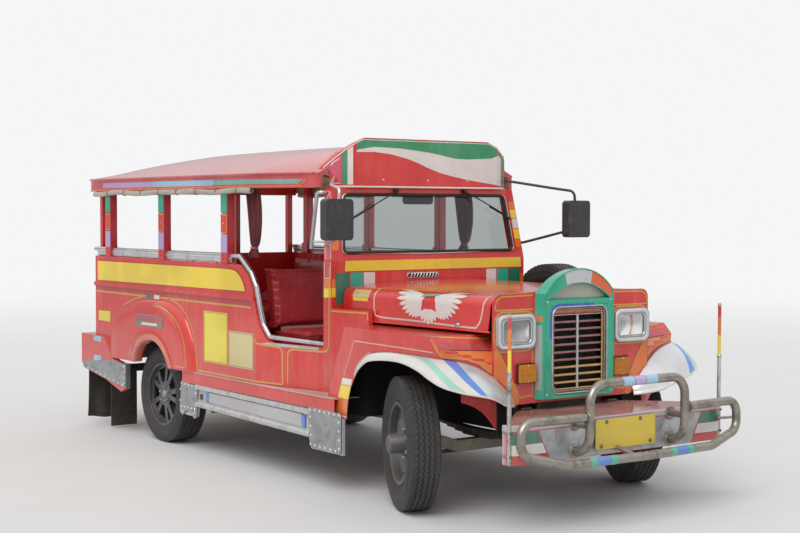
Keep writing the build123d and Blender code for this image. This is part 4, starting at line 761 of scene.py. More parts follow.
def even_pairs(pairs, pitch, closed=False):
    """The same line of pairs with more points, at most a pitch apart."""
    result = []
    last = len(pairs) if closed else len(pairs) - 1
    for i in range(last):
        (u0, v0), (u1, v1) = pairs[i], pairs[(i + 1) % len(pairs)]
        steps = max(1, math.ceil(math.hypot(u1 - u0, v1 - v0) / pitch))
        result += [(u0 + (u1 - u0) * j / steps, v0 + (v1 - v0) * j / steps) for j in range(steps)]
    if not closed:
        result.append(pairs[-1])
    return result


# Paint is laid on a surface along a view: each view turns a pair (u, v) into a ray


def from_side(side):
    return lambda u, v: (Vector((u, side * 3.0, v)), Vector((0, -side, 0)))


def from_front(u, v):
    return Vector((4.0, u, v)), Vector((-1, 0, 0))


def from_rear(u, v):
    return Vector((-4.0, u, v)), Vector((1, 0, 0))


def from_top(u, v):
    return Vector((u, v, 4.0)), Vector((0, 0, -1))


class Skin:
    """The outside of some nodes and pieces, on which paint and fittings are laid."""

    def __init__(self, *items):
        points, faces = [], []
        for item in items:
            data = (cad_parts[item] if isinstance(item, str) else item).data
            start = len(points)
            points += [v.co.copy() for v in data.vertices]
            faces += [[start + i for i in polygon.vertices] for polygon in data.polygons]
        self.tree = BVHTree.FromPolygons(points, faces)

    def hit(self, view, u, v, lift=0.0008):
        """The point and normal where a view's ray meets the skin, or nothing."""
        origin, direction = view(u, v)
        place, normal, _, _ = self.tree.ray_cast(origin, direction)
        if place is None:
            return None
        if normal.dot(direction) > 0:
            normal = -normal
        return place + normal * lift, normal

    def line(self, mesh, view, pairs, width, material, closed=False, pitch=0.02, lift=0.0014):
        """A painted line of even width along the pairs."""
        pairs = even_pairs(pairs, pitch, closed)
        count = len(pairs)
        sides = []
        for i, (u, v) in enumerate(pairs):
            before = pairs[i - 1] if closed or i else pairs[i]
            after = pairs[(i + 1) % count] if closed or i < count - 1 else pairs[i]
            du, dv = after[0] - before[0], after[1] - before[1]
            size = math.hypot(du, dv) or 1.0
            nu, nv = -dv / size * width / 2, du / size * width / 2
            sides.append((self.hit(view, u + nu, v + nv, lift), self.hit(view, u - nu, v - nv, lift)))
        for i in range(count if closed else count - 1):
            corners = (sides[i][0], sides[i][1], sides[(i + 1) % count][1], sides[(i + 1) % count][0])
            if all(corners) and (corners[0][0] - corners[2][0]).length < pitch * 2.5 + width:
                mesh.add([c[0] for c in corners], [(0, 1, 2, 3)], material)

    def field(self, mesh, view, pairs, material, pitch=None, cuts=(), lift=0.0008):
        """A painted field inside the pairs. pitch divides it for curved skins; cuts are (axis, value) creases."""
        work = bmesh.new()
        work.faces.new([work.verts.new((u, v, 0)) for u, v in pairs])
        lows = [min(p[i] for p in pairs) for i in (0, 1)]
        highs = [max(p[i] for p in pairs) for i in (0, 1)]
        planes = [(axis, value) for axis, value in cuts]
        if pitch:
            for axis in (0, 1):
                first = math.floor(lows[axis] / pitch) + 1
                planes += [(axis, k * pitch) for k in range(first, math.ceil(highs[axis] / pitch))]
        for axis, value in planes:
            normal = (1, 0, 0) if axis == 0 else (0, 1, 0)
            place = (value, 0, 0) if axis == 0 else (0, value, 0)
            bmesh.ops.bisect_plane(work, geom=work.verts[:] + work.edges[:] + work.faces[:], plane_co=place,
                                   plane_no=normal, dist=1e-6)
        bmesh.ops.triangulate(work, faces=work.faces[:])
        work.verts.index_update()
        points = [self.hit(view, v.co.x, v.co.y, lift) for v in work.verts]
        facing = view(*pairs[0])[1]
        for face in work.faces:
            corners = [points[v.index] for v in face.verts]
            if not all(corners):
                continue
            a, b, c = (corner[0] for corner in corners)
            order = (0, 1, 2) if (b - a).cross(c - a).dot(facing) < 0 else (2, 1, 0)
            mesh.add((a, b, c), [order], material)
        work.free()


def put_on(node, material, *others):
    """Gives a CAD node its finish."""
    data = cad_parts[node].data
    data.materials.clear()
    data.materials.append(material)
    for extra in others:
        data.materials.append(extra)


def both(mesh_builder):
    """Runs a builder for the right side (-1) and the left side (1)."""
    for side in (-1, 1):
        mesh_builder(side)


class JEEPNEY_OT_stage(bpy.types.Operator):
    """Sets up the pale floor, the soft light and the camera."""

    bl_idname = "jeepney.stage"
    bl_label = "Stage"

    def execute(self, context):
        scene, settings = context.scene, context.scene.jeepney_stage
        scene.view_settings.view_transform = "Standard"
        camera = bpy.data.objects.new("camera", bpy.data.cameras.new("camera"))
        camera.data.lens, camera.data.sensor_width = settings.lens, 36.0
        camera.data.clip_end = 200.0
        camera.location = settings.eye
        camera.rotation_euler = (math.pi / 2 + settings.pitch, settings.roll, settings.heading - math.pi / 2)
        scene.collection.objects.link(camera)
        scene.camera = camera

        lamp = bpy.data.objects.new("key", bpy.data.lights.new("key", "SUN"))
        lamp.data.energy, lamp.data.angle = settings.sun, math.radians(42)
        lamp.rotation_euler = Vector((0.42, -0.62, 0.86)).to_track_quat("Z", "Y").to_euler()
        scene.collection.objects.link(lamp)

        world = bpy.data.worlds.new("studio")
        world.use_nodes = True
        scene.world = world
        graph = Graph(world.node_tree)
        rays = graph.add("ShaderNodeLightPath").outputs
        seen = graph.maths("MAXIMUM", rays["Is Camera Ray"], rays["Is Transmission Ray"])
        up = graph.add("ShaderNodeSeparateXYZ", {0: graph.add("ShaderNodeTexCoord").outputs["Generated"]}).outputs[2]
        mirrored = graph.step(up, -0.05, 0.55, 0.42, 0.98)
        strength = graph.blend(rays["Is Glossy Ray"], graph.blend(seen, settings.sky, 0.93), mirrored)
        backdrop = world.node_tree.nodes["Background"]
        graph.feed(backdrop.inputs["Color"], (0.985, 0.99, 1.0))
        graph.feed(backdrop.inputs["Strength"], strength)

        floor = Mesh()
        rings = [[(r * math.cos(a), r * math.sin(a), 0.0) for a in (math.pi * k / 32 for k in range(64))]
                 for r in (0.5, 3.0, 6.0, 12.0, 22.0, 34.0)]
        material, graph, shader = start_material("Pale floor")
        where = graph.add("ShaderNodeTexCoord").outputs["Object"]
        away = graph.add("ShaderNodeVectorMath", {0: where}, operation="LENGTH").outputs["Value"]
        mottle = graph.noise(where, 1.5, 4.0, 0.5)
        graph.feed(shader.inputs["Base Color"],
                   graph.mix(graph.step(mottle, 0.3, 0.7, 0.0, 0.5), (0.80, 0.80, 0.79), (0.77, 0.77, 0.765)))
        shader.inputs["Roughness"].default_value = 0.9
        clear = graph.add("ShaderNodeBsdfTransparent")
        faded = graph.add("ShaderNodeMixShader", {0: graph.step(away, 7.0, 22.0), 1: shader.outputs[0],
                                                  2: clear.outputs[0]})
        graph.feed(material.node_tree.nodes["Material Output"].inputs["Surface"], faded.outputs[0])
        floor.grid(rings, material, around=True)
        floor.cap(rings[0], material)
        floor.piece("floor_plane", body=None, smooth=0)
        return {"FINISHED"}


class JEEPNEY_OT_finishes(bpy.types.Operator):
    """Gives every CAD node the finish of the part it stands for."""

    bl_idname = "jeepney.finishes"
    bl_label = "Finishes"

    def execute(self, context):
        red, iron = paint("body_red"), shared("Greasy iron")
        chassis = shared("Chassis black")
        chrome = shared("Plated steel")
        worn_tube = shared("Worn tube steel")
        black = shared("Black plastic")
        rubber = shared("Mud flap rubber")
        tyre = shared("Tyre rubber")
        dull_chrome = shared("Lamp bezel metal")
        finishes = {
            red: ("windscreen_frame", "sign_board", "roof_posts", "rear_bumper", "rear_frame", "hood", "seat_bases"),
            # Body red that turns near-black inside the front wings: painted shade
            enamel_with_painted_shade("Body red over underseal", context.scene.jeepney_paint.body_red):
                ("side_walls", "cowl", "fenders", "front_fascia"),
            paint("roof_red"): ("roof",),
            chassis: ("chassis_frame", "propeller_shaft", "fuel_tank", "steering_column", "rear_axle", "front_axle",
                      "front_bumper"),
            iron: ("leaf_springs", "engine", "knuckle_right", "knuckle_left", "tow_eye", "tie_rod"),
            metal("Exhaust steel", "7A6A5C", rust=0.9, dust=0.6, shine=0.45): ("exhaust",),
            chrome: ("side_rails", "grab_rails", "grille"),
            worn_tube: ("bull_bar", "marker_poles"),
            dull_chrome: ("headlamps",),
            black: ("steering_wheel", "dashboard"),
            rubber: ("mud_flaps",),
            tyre: ("front_tyre_right", "front_tyre_left", "rear_tyre_right", "rear_tyre_left", "spare_tyre"),
            metal("Front wheel silver", "77787B", rust=0.30, dust=0.35, shine=0.38):
                ("front_rim_right", "front_rim_left", "spare_rim"),
            metal("Rear wheel grey", "77787C", rust=0.12, dust=0.22, shine=0.24):
                ("rear_rim_right", "rear_rim_left"),
            glass_pane("Windscreen glass", "EAF3F0"): ("windscreen_glass",),
            shared("Lamp glass"): ("headlamp_lenses",),
            paint("teal"): ("radiator_shell",),
            paint("white"): ("fender_flares",),
            shared("Amber lens"): ("turn_lamps",),
            shared("Red lens"): ("tail_lamps",),
            shared("Seat vinyl"):
                ("bench_cushions", "front_seats"),
            shared("Tarp cloth"): ("rolled_curtains",),
            shared("Curtain cloth"): ("tied_curtains",),
            paint("grey"): ("side_skirts",),
            enamel("Floor plate", rgb("6E645B"), fade=0.3, dust=0.9, wear=0.8, gloss=0.5): ("floor",),
        }
        for material, nodes in finishes.items():
            for node in nodes:
                put_on(node, material)
        # Black mirror housings on plated arms
        put_on("mirrors", shared("Stainless strip"), black)
        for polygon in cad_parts["mirrors"].data.polygons:
            place = polygon.center
            if abs(place.y) > 0.866 and 1.534 < place.z < 1.792 or place.y > 0:
                polygon.material_index = 1
        return {"FINISHED"}


class JEEPNEY_OT_side_paint(bpy.types.Operator):
    """Lays the bands, notice panels and gold lines on both body sides."""

    bl_idname = "jeepney.side_paint"
    bl_label = "Side paint"

    def execute(self, context):
        sizes = context.scene.jeepney_body
        fine, bold = sizes.fine_line, sizes.bold_line
        walls = Skin("side_walls", "cowl")
        creases = ((0, 0.0), (0, 0.690))

        def side(sign):
            view = from_side(sign)
            coat = Mesh()
            # The broad yellow band above the moulding, with a rounded front end
            band = [(-2.448, 1.166), (-0.147, 1.181), (-0.152, 1.203), (-0.172, 1.238), (-0.200, 1.268),
                    (-0.232, 1.292), (-0.268, 1.309), (-0.320, 1.318), (-0.399, 1.321), (-2.448, 1.316)]
            walls.field(coat, view, band, paint("yellow"), cuts=creases)
            walls.line(coat, view, [(-2.474, 1.323), (-0.399, 1.328), (-0.316, 1.325), (-0.263, 1.315),
                                    (-0.226, 1.298), (-0.193, 1.273), (-0.165, 1.241), (-0.145, 1.204),
                                    (-0.139, 1.176), (-2.474, 1.160)], fine * 0.6, paint("deep_red"), pitch=0.05)
            # A darker red band under the moulding: painted shade where the ledge overhangs
            walls.field(coat, view, [(-2.474, 1.088), (-0.062, 1.086), (-0.082, 1.122), (-2.474, 1.122)],
                        paint("deep_red"), cuts=creases)
            walls.line(coat, view, [(-2.474, 1.078), (-0.060, 1.077)], bold, paint("gold"), pitch=0.1)
            # Blank notice panels with thin dark borders
            for u0, u1, v0, v1, finish in ((-0.710, -0.379, 0.668, 1.020, "Notice yellow"),
                                           (-0.363, -0.036, 0.665, 0.905, "Notice pale")):
                code = "F1DE3C" if finish == "Notice yellow" else "D9CB8E"
                sheet = enamel(finish, rgb(code), fade=0.25, dust=0.10, wear=0.3, gloss=0.4)
                frame_line = enamel("Notice border", rgb("5C4A22"), fade=0.3, dust=0.2, wear=0.6)
                corners = [(u0, v0), (u1, v0), (u1, v1), (u0, v1)]
                walls.field(coat, view, corners, sheet, cuts=creases)
                inner = [(u0 + 0.008, v0 + 0.008), (u1 - 0.008, v0 + 0.008), (u1 - 0.008, v1 - 0.008),
                         (u0 + 0.008, v1 - 0.008)]
                walls.line(coat, view, inner, 0.003, frame_line, closed=True, pitch=0.1)
            # Gold lines round the doorway panels and up the cowl
            gold = paint("gold")
            left = [(-0.062, 0.900), (-0.026, 0.866), (0.006, 0.846), (0.060, 0.840), (0.198, 0.834), (0.226, 0.826),
                    (0.242, 0.803), (0.243, 0.594)]
            right = [(0.289, 0.603), (0.290, 0.796), (0.303, 0.818), (0.337, 0.827), (0.590, 0.829), (0.640, 0.838),
                     (0.664, 0.868), (0.667, 1.040), (0.668, 1.372)]
            sill = [(-0.812, 0.596), (0.243, 0.594)]
            for line in (left, right, sill):
                walls.line(coat, view, line, bold * 0.85, gold, pitch=0.03)
            walls.line(coat, view, [(0.690, 1.092), (0.990, 1.092), (0.990, 1.050)], bold * 0.8, gold, pitch=0.03)
            # Coloured blocks on the side of the cowl post
            for v0, v1, key in ((1.285, 1.232, "orange"), (1.230, 1.172, "yellow")):
                walls.field(coat, view, [(0.606, v1), (0.684, v1 + 0.004), (0.684, v0 + 0.004), (0.606, v0)],
                            paint(key))
            walls.line(coat, view, [(0.612, 1.396), (0.612, 1.292), (0.680, 1.296), (0.680, 1.396)], fine * 0.6,
                       paint("white"), pitch=0.05)
            # The plated plate along the door sill
            walls.field(coat, view, [(0.020, 0.846), (0.120, 0.838), (0.560, 0.836), (0.560, 0.854), (0.118, 0.858)],
                        shared("Stainless strip"), cuts=creases)
            name = "right" if sign < 0 else "left"
            coat.piece("side_paint_" + name, slot="painted_trim", smooth=0)

        both(side)
        return {"FINISHED"}


class JEEPNEY_OT_sills(bpy.types.Operator):
    """Builds the ledges, plated strips, panels and riveted plates below the body sides."""

    bl_idname = "jeepney.sills"
    bl_label = "Sills"

    def execute(self, context):
        sizes = context.scene.jeepney_body
        red, grey = paint("body_red"), paint("grey")
        # Pale red for the sill ledge: a painted highlight
        pale = enamel("Rubbed sill red", rgb("E0A39C"), fade=1.0, dust=0.6, wear=0.9, gloss=0.4)
        steel = shared("Stainless strip")
        plate = shared("Riveted plate")
        head = shared("Rivet head")
        blue = paint("bright_blue")
        lower = Mesh()
        y = -0.925
        # The step-out under the tapering cab side, its top and lip in pale red: a painted highlight on worn, dusty
        # enamel
        ledge = [(-1.030, -0.9245), (-0.050, -0.9240), (0.0, -0.9235), (0.600, -0.7885), (0.692, -0.7885),
                 (0.930, -0.7420), (0.930, y - 0.004), (-1.030, y - 0.004)]
        lower.slab([(u, v, 0.5725) for u, v in ledge], 0.006, (0, 0, 1), pale)
        lower.tube(rounded_path([(-1.030, y - 0.003, 0.575), (0.905, y - 0.003, 0.575), (0.930, y - 0.003, 0.582)],
                                0.02),
                   0.006, pale, 8)
        lower.slab([(-1.030, y, 0.494), (0.930, y, 0.494), (0.930, y, 0.572), (-1.030, y, 0.572)][::-1], 0.004,
                   (0, -1, 0), red, 0.002)
        # The strip, a broad grey panel with blue ends, and the tube along the bottom
        lower.slab([(-0.832, y + 0.002, 0.463), (0.662, y + 0.002, 0.452), (0.662, y + 0.002, 0.487),
                    (-0.832, y + 0.002, 0.494)][::-1], 0.012, (0, -1, 0), steel, 0.004)
        lower.slab([(-0.640, y + 0.002, 0.385), (0.560, y + 0.002, 0.362), (0.560, y + 0.002, 0.446),
                    (-0.640, y + 0.002, 0.456)][::-1], 0.006, (0, -1, 0), grey, 0.003)
        for u in (-0.680, 0.562):
            drop = 0.385 - 0.0185 * (u + 0.64)
            lower.slab([(u, y + 0.002, drop), (u + 0.038, y + 0.002, drop - 0.001),
                        (u + 0.038, y + 0.002, drop + 0.075),
                        (u, y + 0.002, drop + 0.076)][::-1], 0.0065, (0, -1, 0), blue, 0.002)
        lower.tube([(-0.815, y + 0.006, 0.356), (0.655, y + 0.006, 0.328)], 0.0215, steel, 20)
        lower.tube([(-0.815, y + 0.006, 0.380), (0.655, y + 0.006, 0.352)], 0.010, steel, 10)
        # Riveted end plates, the lower edge of the rear one scalloped
        rear = [(-1.040, 0.500), (-1.062, 0.300), (-1.052, 0.268), (-1.020, 0.256), (-0.985, 0.286), (-0.930, 0.300),
                (-0.880, 0.286), (-0.850, 0.250), (-0.822, 0.254), (-0.806, 0.330), (-0.800, 0.486)]
        front = [(0.648, 0.500), (0.652, 0.300), (0.664, 0.262), (0.700, 0.248), (0.985, 0.244), (1.004, 0.262),
                 (1.004, 0.472), (0.990, 0.496)]
        for outline in (rear, front):
            lower.slab([(u, y + 0.001, v) for u, v in outline][::-1], 0.0085, (0, -1, 0), plate, 0.003)
        for u0, v0, u1, v1 in ((-1.030, 0.484, -0.822, 0.474), (-1.040, 0.318, -0.836, 0.318),
                               (-1.040, 0.286, -1.010, 0.280),
                               (-0.856, 0.284, -0.832, 0.300), (0.664, 0.484, 0.985, 0.482),
                               (0.668, 0.440, 0.672, 0.270),
                               (0.985, 0.440, 0.988, 0.280), (0.720, 0.268, 0.950, 0.262),
                               (-1.046, 0.440, -1.050, 0.360),
                               (-0.824, 0.430, -0.828, 0.350)):
            steps = max(1, round(math.hypot(u1 - u0, v1 - v0) / sizes.rivet_pitch))
            for i in range(steps + 1):
                t = i / steps
                lower.dome((u0 + (u1 - u0) * t, y - 0.0073, v0 + (v1 - v0) * t), (0, -1, 0), sizes.rivet, head, 0.7)
        # Stainless strip with rivets below the rear step's wings
        wing = [(-2.250, 0.410), (-1.882, 0.365), (-1.882, 0.545), (-2.100, 0.560), (-2.640, 0.512), (-2.640, 0.466)]
        lower.slab([(u, -0.9615, v) for u, v in wing][::-1], 0.006, (0, -1, 0), plate, 0.002)
        for i in range(9):
            u = -1.925 - i * 0.078
            edge = 0.382 + (-1.905 - u) * 0.128
            lower.dome((u, -0.9670, edge), (0, -1, 0), sizes.rivet, head, 0.7)
        for i in range(4):
            lower.dome((-1.897, -0.9670, 0.400 + 0.042 * i), (0, -1, 0), sizes.rivet, head, 0.7)
        lower.box((-1.884, -0.9675, 0.362), (-1.872, -0.925, 0.552), plate, 0.002)
        # Drain holes and a hinge shadow along the ledge
        dark = moulded("Shadow rubber", "161414", scale=120.0, scuffs=0.1, dust=0.3)
        lower.box((-0.775, y - 0.001, 0.396), (-0.735, y + 0.006, 0.430), dark)
        lower.mirrored()
        lower.piece("sill_panels", slot="painted_trim", smooth=30)
        return {"FINISHED"}


class JEEPNEY_OT_wheel_swells(bpy.types.Operator):
    """Builds the swollen panels over the rear wheels, with their lips, lines and label plates."""

    bl_idname = "jeepney.wheel_swells"
    bl_label = "Wheel swells"

    def execute(self, context):
        red, gold = paint("body_red"), paint("gold")
        # Lighter red on the rolled lips: a painted highlight over faded, worn enamel
        pale = enamel("Rubbed lip red", rgb("E26E62"), fade=1.0, dust=0.3, wear=0.7, gloss=0.3)
        centre_x, centre_z, y = -1.430, 0.352, -0.925
        # columns: angle, radius of the opening, of the crest, and of the foot on the wall
        rows = ((20.5, 0.348, 0.520, 0.645), (27, 0.344, 0.539, 0.662), (33, 0.341, 0.562, 0.692),
                (40, 0.343, 0.594, 0.718),
                (48, 0.350, 0.648, 0.740), (55, 0.362, 0.660, 0.752), (64, 0.377, 0.667, 0.744),
                (75, 0.394, 0.675, 0.730), (88, 0.407, 0.682, 0.710), (104, 0.414, 0.702, 0.722),
                (121, 0.421, 0.756, 0.768), (133, 0.407, 0.818, 0.832), (141, 0.384, 0.848, 0.860),
                (149, 0.360, 0.826, 0.842), (157, 0.336, 0.772, 0.790), (163, 0.318, 0.752, 0.770))
        net = []
        for k in range(len(rows) - 1):
            p0, p1, p2, p3 = (rows[min(max(k + d, 0), len(rows) - 1)] for d in (-1, 0, 1, 2))
            for j in range(4):
                t = j / 4
                net.append([0.5 * (2 * b + (c - a) * t + (2 * a - 5 * b + 4 * c - d) * t * t
                                   + (3 * b - a - 3 * c + d) * t ** 3) for a, b, c, d in zip(p0, p1, p2, p3)])
        net.append(list(rows[-1]))
        swell = Mesh()
        lip, face = [], []
        for angle, opening, crest, foot in net:
            a = math.radians(angle)

            def at(radius, out):
                return (centre_x + radius * math.cos(a), y - out, max(centre_z + radius * math.sin(a), 0.579))

            proud = 0.042
            lip.append([at(opening - 0.002, -0.018), at(opening - 0.004, 0.004), at(opening - 0.002, proud - 0.004),
                        at(opening + 0.005, proud + 0.003), at(opening + 0.016, proud + 0.004),
                        at(opening + 0.027, proud), at(opening + 0.032, proud - 0.005)])
            ring = [at(opening + 0.032, proud - 0.005)]
            ring += [at(opening + 0.032 + (crest - opening - 0.075) * t, proud - 0.005)
                     for t in (0.25, 0.5, 0.75, 1.0)]
            for t in (0.2, 0.4, 0.6, 0.8, 1.0):
                bend = math.radians(90 * t)
                reach = foot - (crest - 0.043)
                ring.append(at(crest - 0.043 + reach * math.sin(bend), (proud - 0.005) * math.cos(bend) - 0.001))
            face.append(ring)
        swell.grid(lip, pale)
        swell.grid(face, red)
        swell.mirrored()
        panel = swell.piece("wheel_swells", slot="painted_body", smooth=50, merge=0.0004)

        skin = Skin(panel, "side_walls")

        def side(sign):
            view = from_side(sign)
            coat = Mesh()
            outer = [(-0.806, 0.596), (-0.828, 0.743), (-0.893, 0.898), (-0.985, 0.992), (-1.102, 1.050),
                     (-1.235, 1.073)]
            outer = [(p[0], p[1]) for p in smooth_path([(u, v, 0) for u, v in outer], 0.03)]
            skin.line(coat, view, outer, 0.011, gold)
            back = [(-1.640, 1.072), (-1.823, 1.040), (-2.000, 0.985)]
            skin.line(coat, view, [(p[0], p[1]) for p in smooth_path([(u, v, 0) for u, v in back], 0.03)], 0.010,
                      gold)
            inner = [(-1.420, 1.020), (-1.280, 1.010), (-1.150, 0.970), (-1.050, 0.915), (-0.975, 0.830),
                     (-0.935, 0.730),
                     (-0.920, 0.605), (-1.080, 0.602)]
            inner = [(p[0], p[1]) for p in smooth_path([(u, v, 0) for u, v in inner[:-1]], 0.03)] + inner[-1:]
            skin.line(coat, view, inner, 0.008, gold, pitch=0.03)
            ring = []
            for angle, opening, _, _ in net:
                a = math.radians(angle)
                v = centre_z + (opening + 0.038) * math.sin(a)
                if v > 0.59:
                    ring.append((centre_x + (opening + 0.038) * math.cos(a), v))
            skin.line(coat, view, ring, 0.008, gold)
            # A blank label plate, a small flag mark on the crest and a blank yellow plate
            label = [(-1.700, 0.862), (-1.262, 0.866), (-1.258, 0.944), (-1.700, 0.944)]
            skin.field(coat, view, label, enamel("Label red", rgb("B5484A"), fade=0.8, dust=0.3, wear=0.5), pitch=0.1,
                       lift=0.0014)
            skin.field(coat, view, [(-1.694, 0.866), (-1.268, 0.870), (-1.268, 0.890), (-1.694, 0.888)],
                       paint("green"), pitch=0.1, lift=0.002)
            skin.field(coat, view, [(-1.600, 0.868), (-1.350, 0.870), (-1.350, 0.889), (-1.600, 0.887)],
                       paint("white"), pitch=0.1, lift=0.0026)
            skin.line(coat, view, label, 0.006, metal("Label frame", "BFC1C2"), closed=True, pitch=0.05, lift=0.003)
            for u0, u1, key in ((-1.590, -1.512, "dark_teal"), (-1.512, -1.466, "deep_red"),
                                (-1.466, -1.376, "white")):
                skin.field(coat, view, [(u0, 1.064), (u1, 1.064), (u1, 1.094), (u0, 1.094)], paint(key), pitch=0.05,
                           lift=0.0036)
            skin.field(coat, view, [(-2.432, 0.849), (-2.224, 0.847), (-2.222, 0.930), (-2.432, 0.925)],
                       enamel("Notice yellow", rgb("F1DE3C")))
            coat.piece("swell_paint_" + ("right" if sign < 0 else "left"), slot="painted_trim", smooth=0)

        both(side)
        return {"FINISHED"}


class JEEPNEY_OT_roof(bpy.types.Operator):
    """Builds the crowned roof with its band, drip rails, lining and painted line."""

    bl_idname = "jeepney.roof"
    bl_label = "Roof"

    def execute(self, context):
        red, lining = paint("roof_red"), enamel("Roof lining", rgb("BBA57B"), fade=0.5, dust=0.3, wear=0.4,
                                                gloss=0.45)
        fascia, gutter, rise, shell = 1.865, 1.958, 0.202, 0.022
        stations = ((-2.587, 0.910, 0.14), (-2.560, 0.928, 0.24), (-2.477, 0.948, 0.44), (-2.320, 0.950, 0.64),
                    (-2.167, 0.950, 0.76), (-1.830, 0.950, 0.89), (-1.487, 0.950, 0.96), (-0.900, 0.950, 0.99),
                    (-0.300, 0.950, 1.0), (0.0, 0.948, 1.0), (0.120, 0.920, 1.0), (0.560, 0.790, 0.99))
        path = smooth_path([Vector(s) for s in stations], 0.07)
        steps = 22

        def arch(x, half, crown, low):
            """A roof section from the right gutter over the crown to the left gutter."""
            radius = (half * half + (crown - low) ** 2) / (2 * (crown - low))
            reach = math.asin(min(1.0, half / radius))
            return [(x, radius * math.sin(a), crown - radius + radius * math.cos(a))
                    for a in (-reach + 2 * reach * k / steps for k in range(steps + 1))]

        roof = Mesh()
        outer, inner = [], []
        for place in path:
            x, half, share = place.x, place.y, place.z
            crown = gutter + rise * share
            skin = arch(x, half + 0.004, crown, gutter)
            outer.append([(x, -half, fascia), (x, -half, gutter - 0.012), (x, -half - 0.006, gutter - 0.008)] + skin
                         + [(x, half + 0.006, gutter - 0.008), (x, half, gutter - 0.012), (x, half, fascia)])
            x = min(max(x, -2.587 + shell), 0.555)
            under = arch(x, half - shell, crown - shell, gutter - shell)
            inner.append([(x, -half + shell, fascia)] + under + [(x, half - shell, fascia)])
        roof.grid(outer, red)
        roof.grid([row[::-1] for row in inner], lining)
        for row_out, row_in in ((outer[0], inner[0]), (outer[-1][::-1], inner[-1][::-1])):
            ring = list(row_out) + list(row_in[::-1])
            roof.cap(ring, red, True)
        for index in (0, -1):
            rim = [[row[index] for row in outer], [row[index] for row in inner]]
            roof.grid(rim if index else rim[::-1], red)
        item = roof.piece("roof_skin", slot="painted_roof", smooth=40, merge=0.0002)
        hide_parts("roof")

        trim = Mesh()
        for sign in (-1, 1):
            rail = [(p.x, sign * (p.y + 0.006), gutter - 0.003) for p in path if p.x < 0.53]
            trim.tube(rail, 0.007, red, 8)
            foot = [(p.x, sign * (p.y - 0.004), fascia + 0.002) for p in path if p.x < 0.53]
            trim.tube(foot, 0.006, red, 8)
        # Bows across the ceiling
        for x in (-2.1, -1.65, -1.2, -0.75, -0.3, 0.15):
            bow = [Vector(p) + Vector((0, 0, -0.004)) for p in arch(x, 0.900, 2.130 if x > -1.5 else 2.085, 1.940)]
            trim.tube(bow, 0.014, lining, 8)
        trim.piece("roof_trim", slot="painted_roof", smooth=60)

        # The painted line along the band: lavender, light blue and teal over a thin orange one
        skin = Skin(item)

        def side(sign):
            view = from_side(sign)
            coat = Mesh()
            for u0, u1, key in ((-2.289, -1.423, "lavender"), (-1.423, -0.528, "light_blue")):
                skin.field(coat, view, [(u0, 1.886), (u1, 1.885), (u1, 1.924), (u0, 1.925)], paint(key),
                           cuts=((0, -2.0), (0, -1.7), (0, -1.1), (0, -0.8)))
            faded_teal = enamel("Faded teal", rgb("7DB4AD"), fade=0.3, dust=0.2, wear=0.3)
            skin.field(coat, view, [(-0.528, 1.889), (0.385, 1.888), (0.425, 1.918), (-0.528, 1.922)], faded_teal,
                       pitch=0.015)
            skin.line(coat, view, [(-2.455, 1.873), (-1.4, 1.874), (-0.5, 1.875), (0.0, 1.876), (0.400, 1.876),
                                   (0.448, 1.916)], 0.010, paint("orange"), pitch=0.04)
            coat.piece("roof_line_" + ("right" if sign < 0 else "left"), slot="painted_trim", smooth=0)

        both(side)
        return {"FINISHED"}


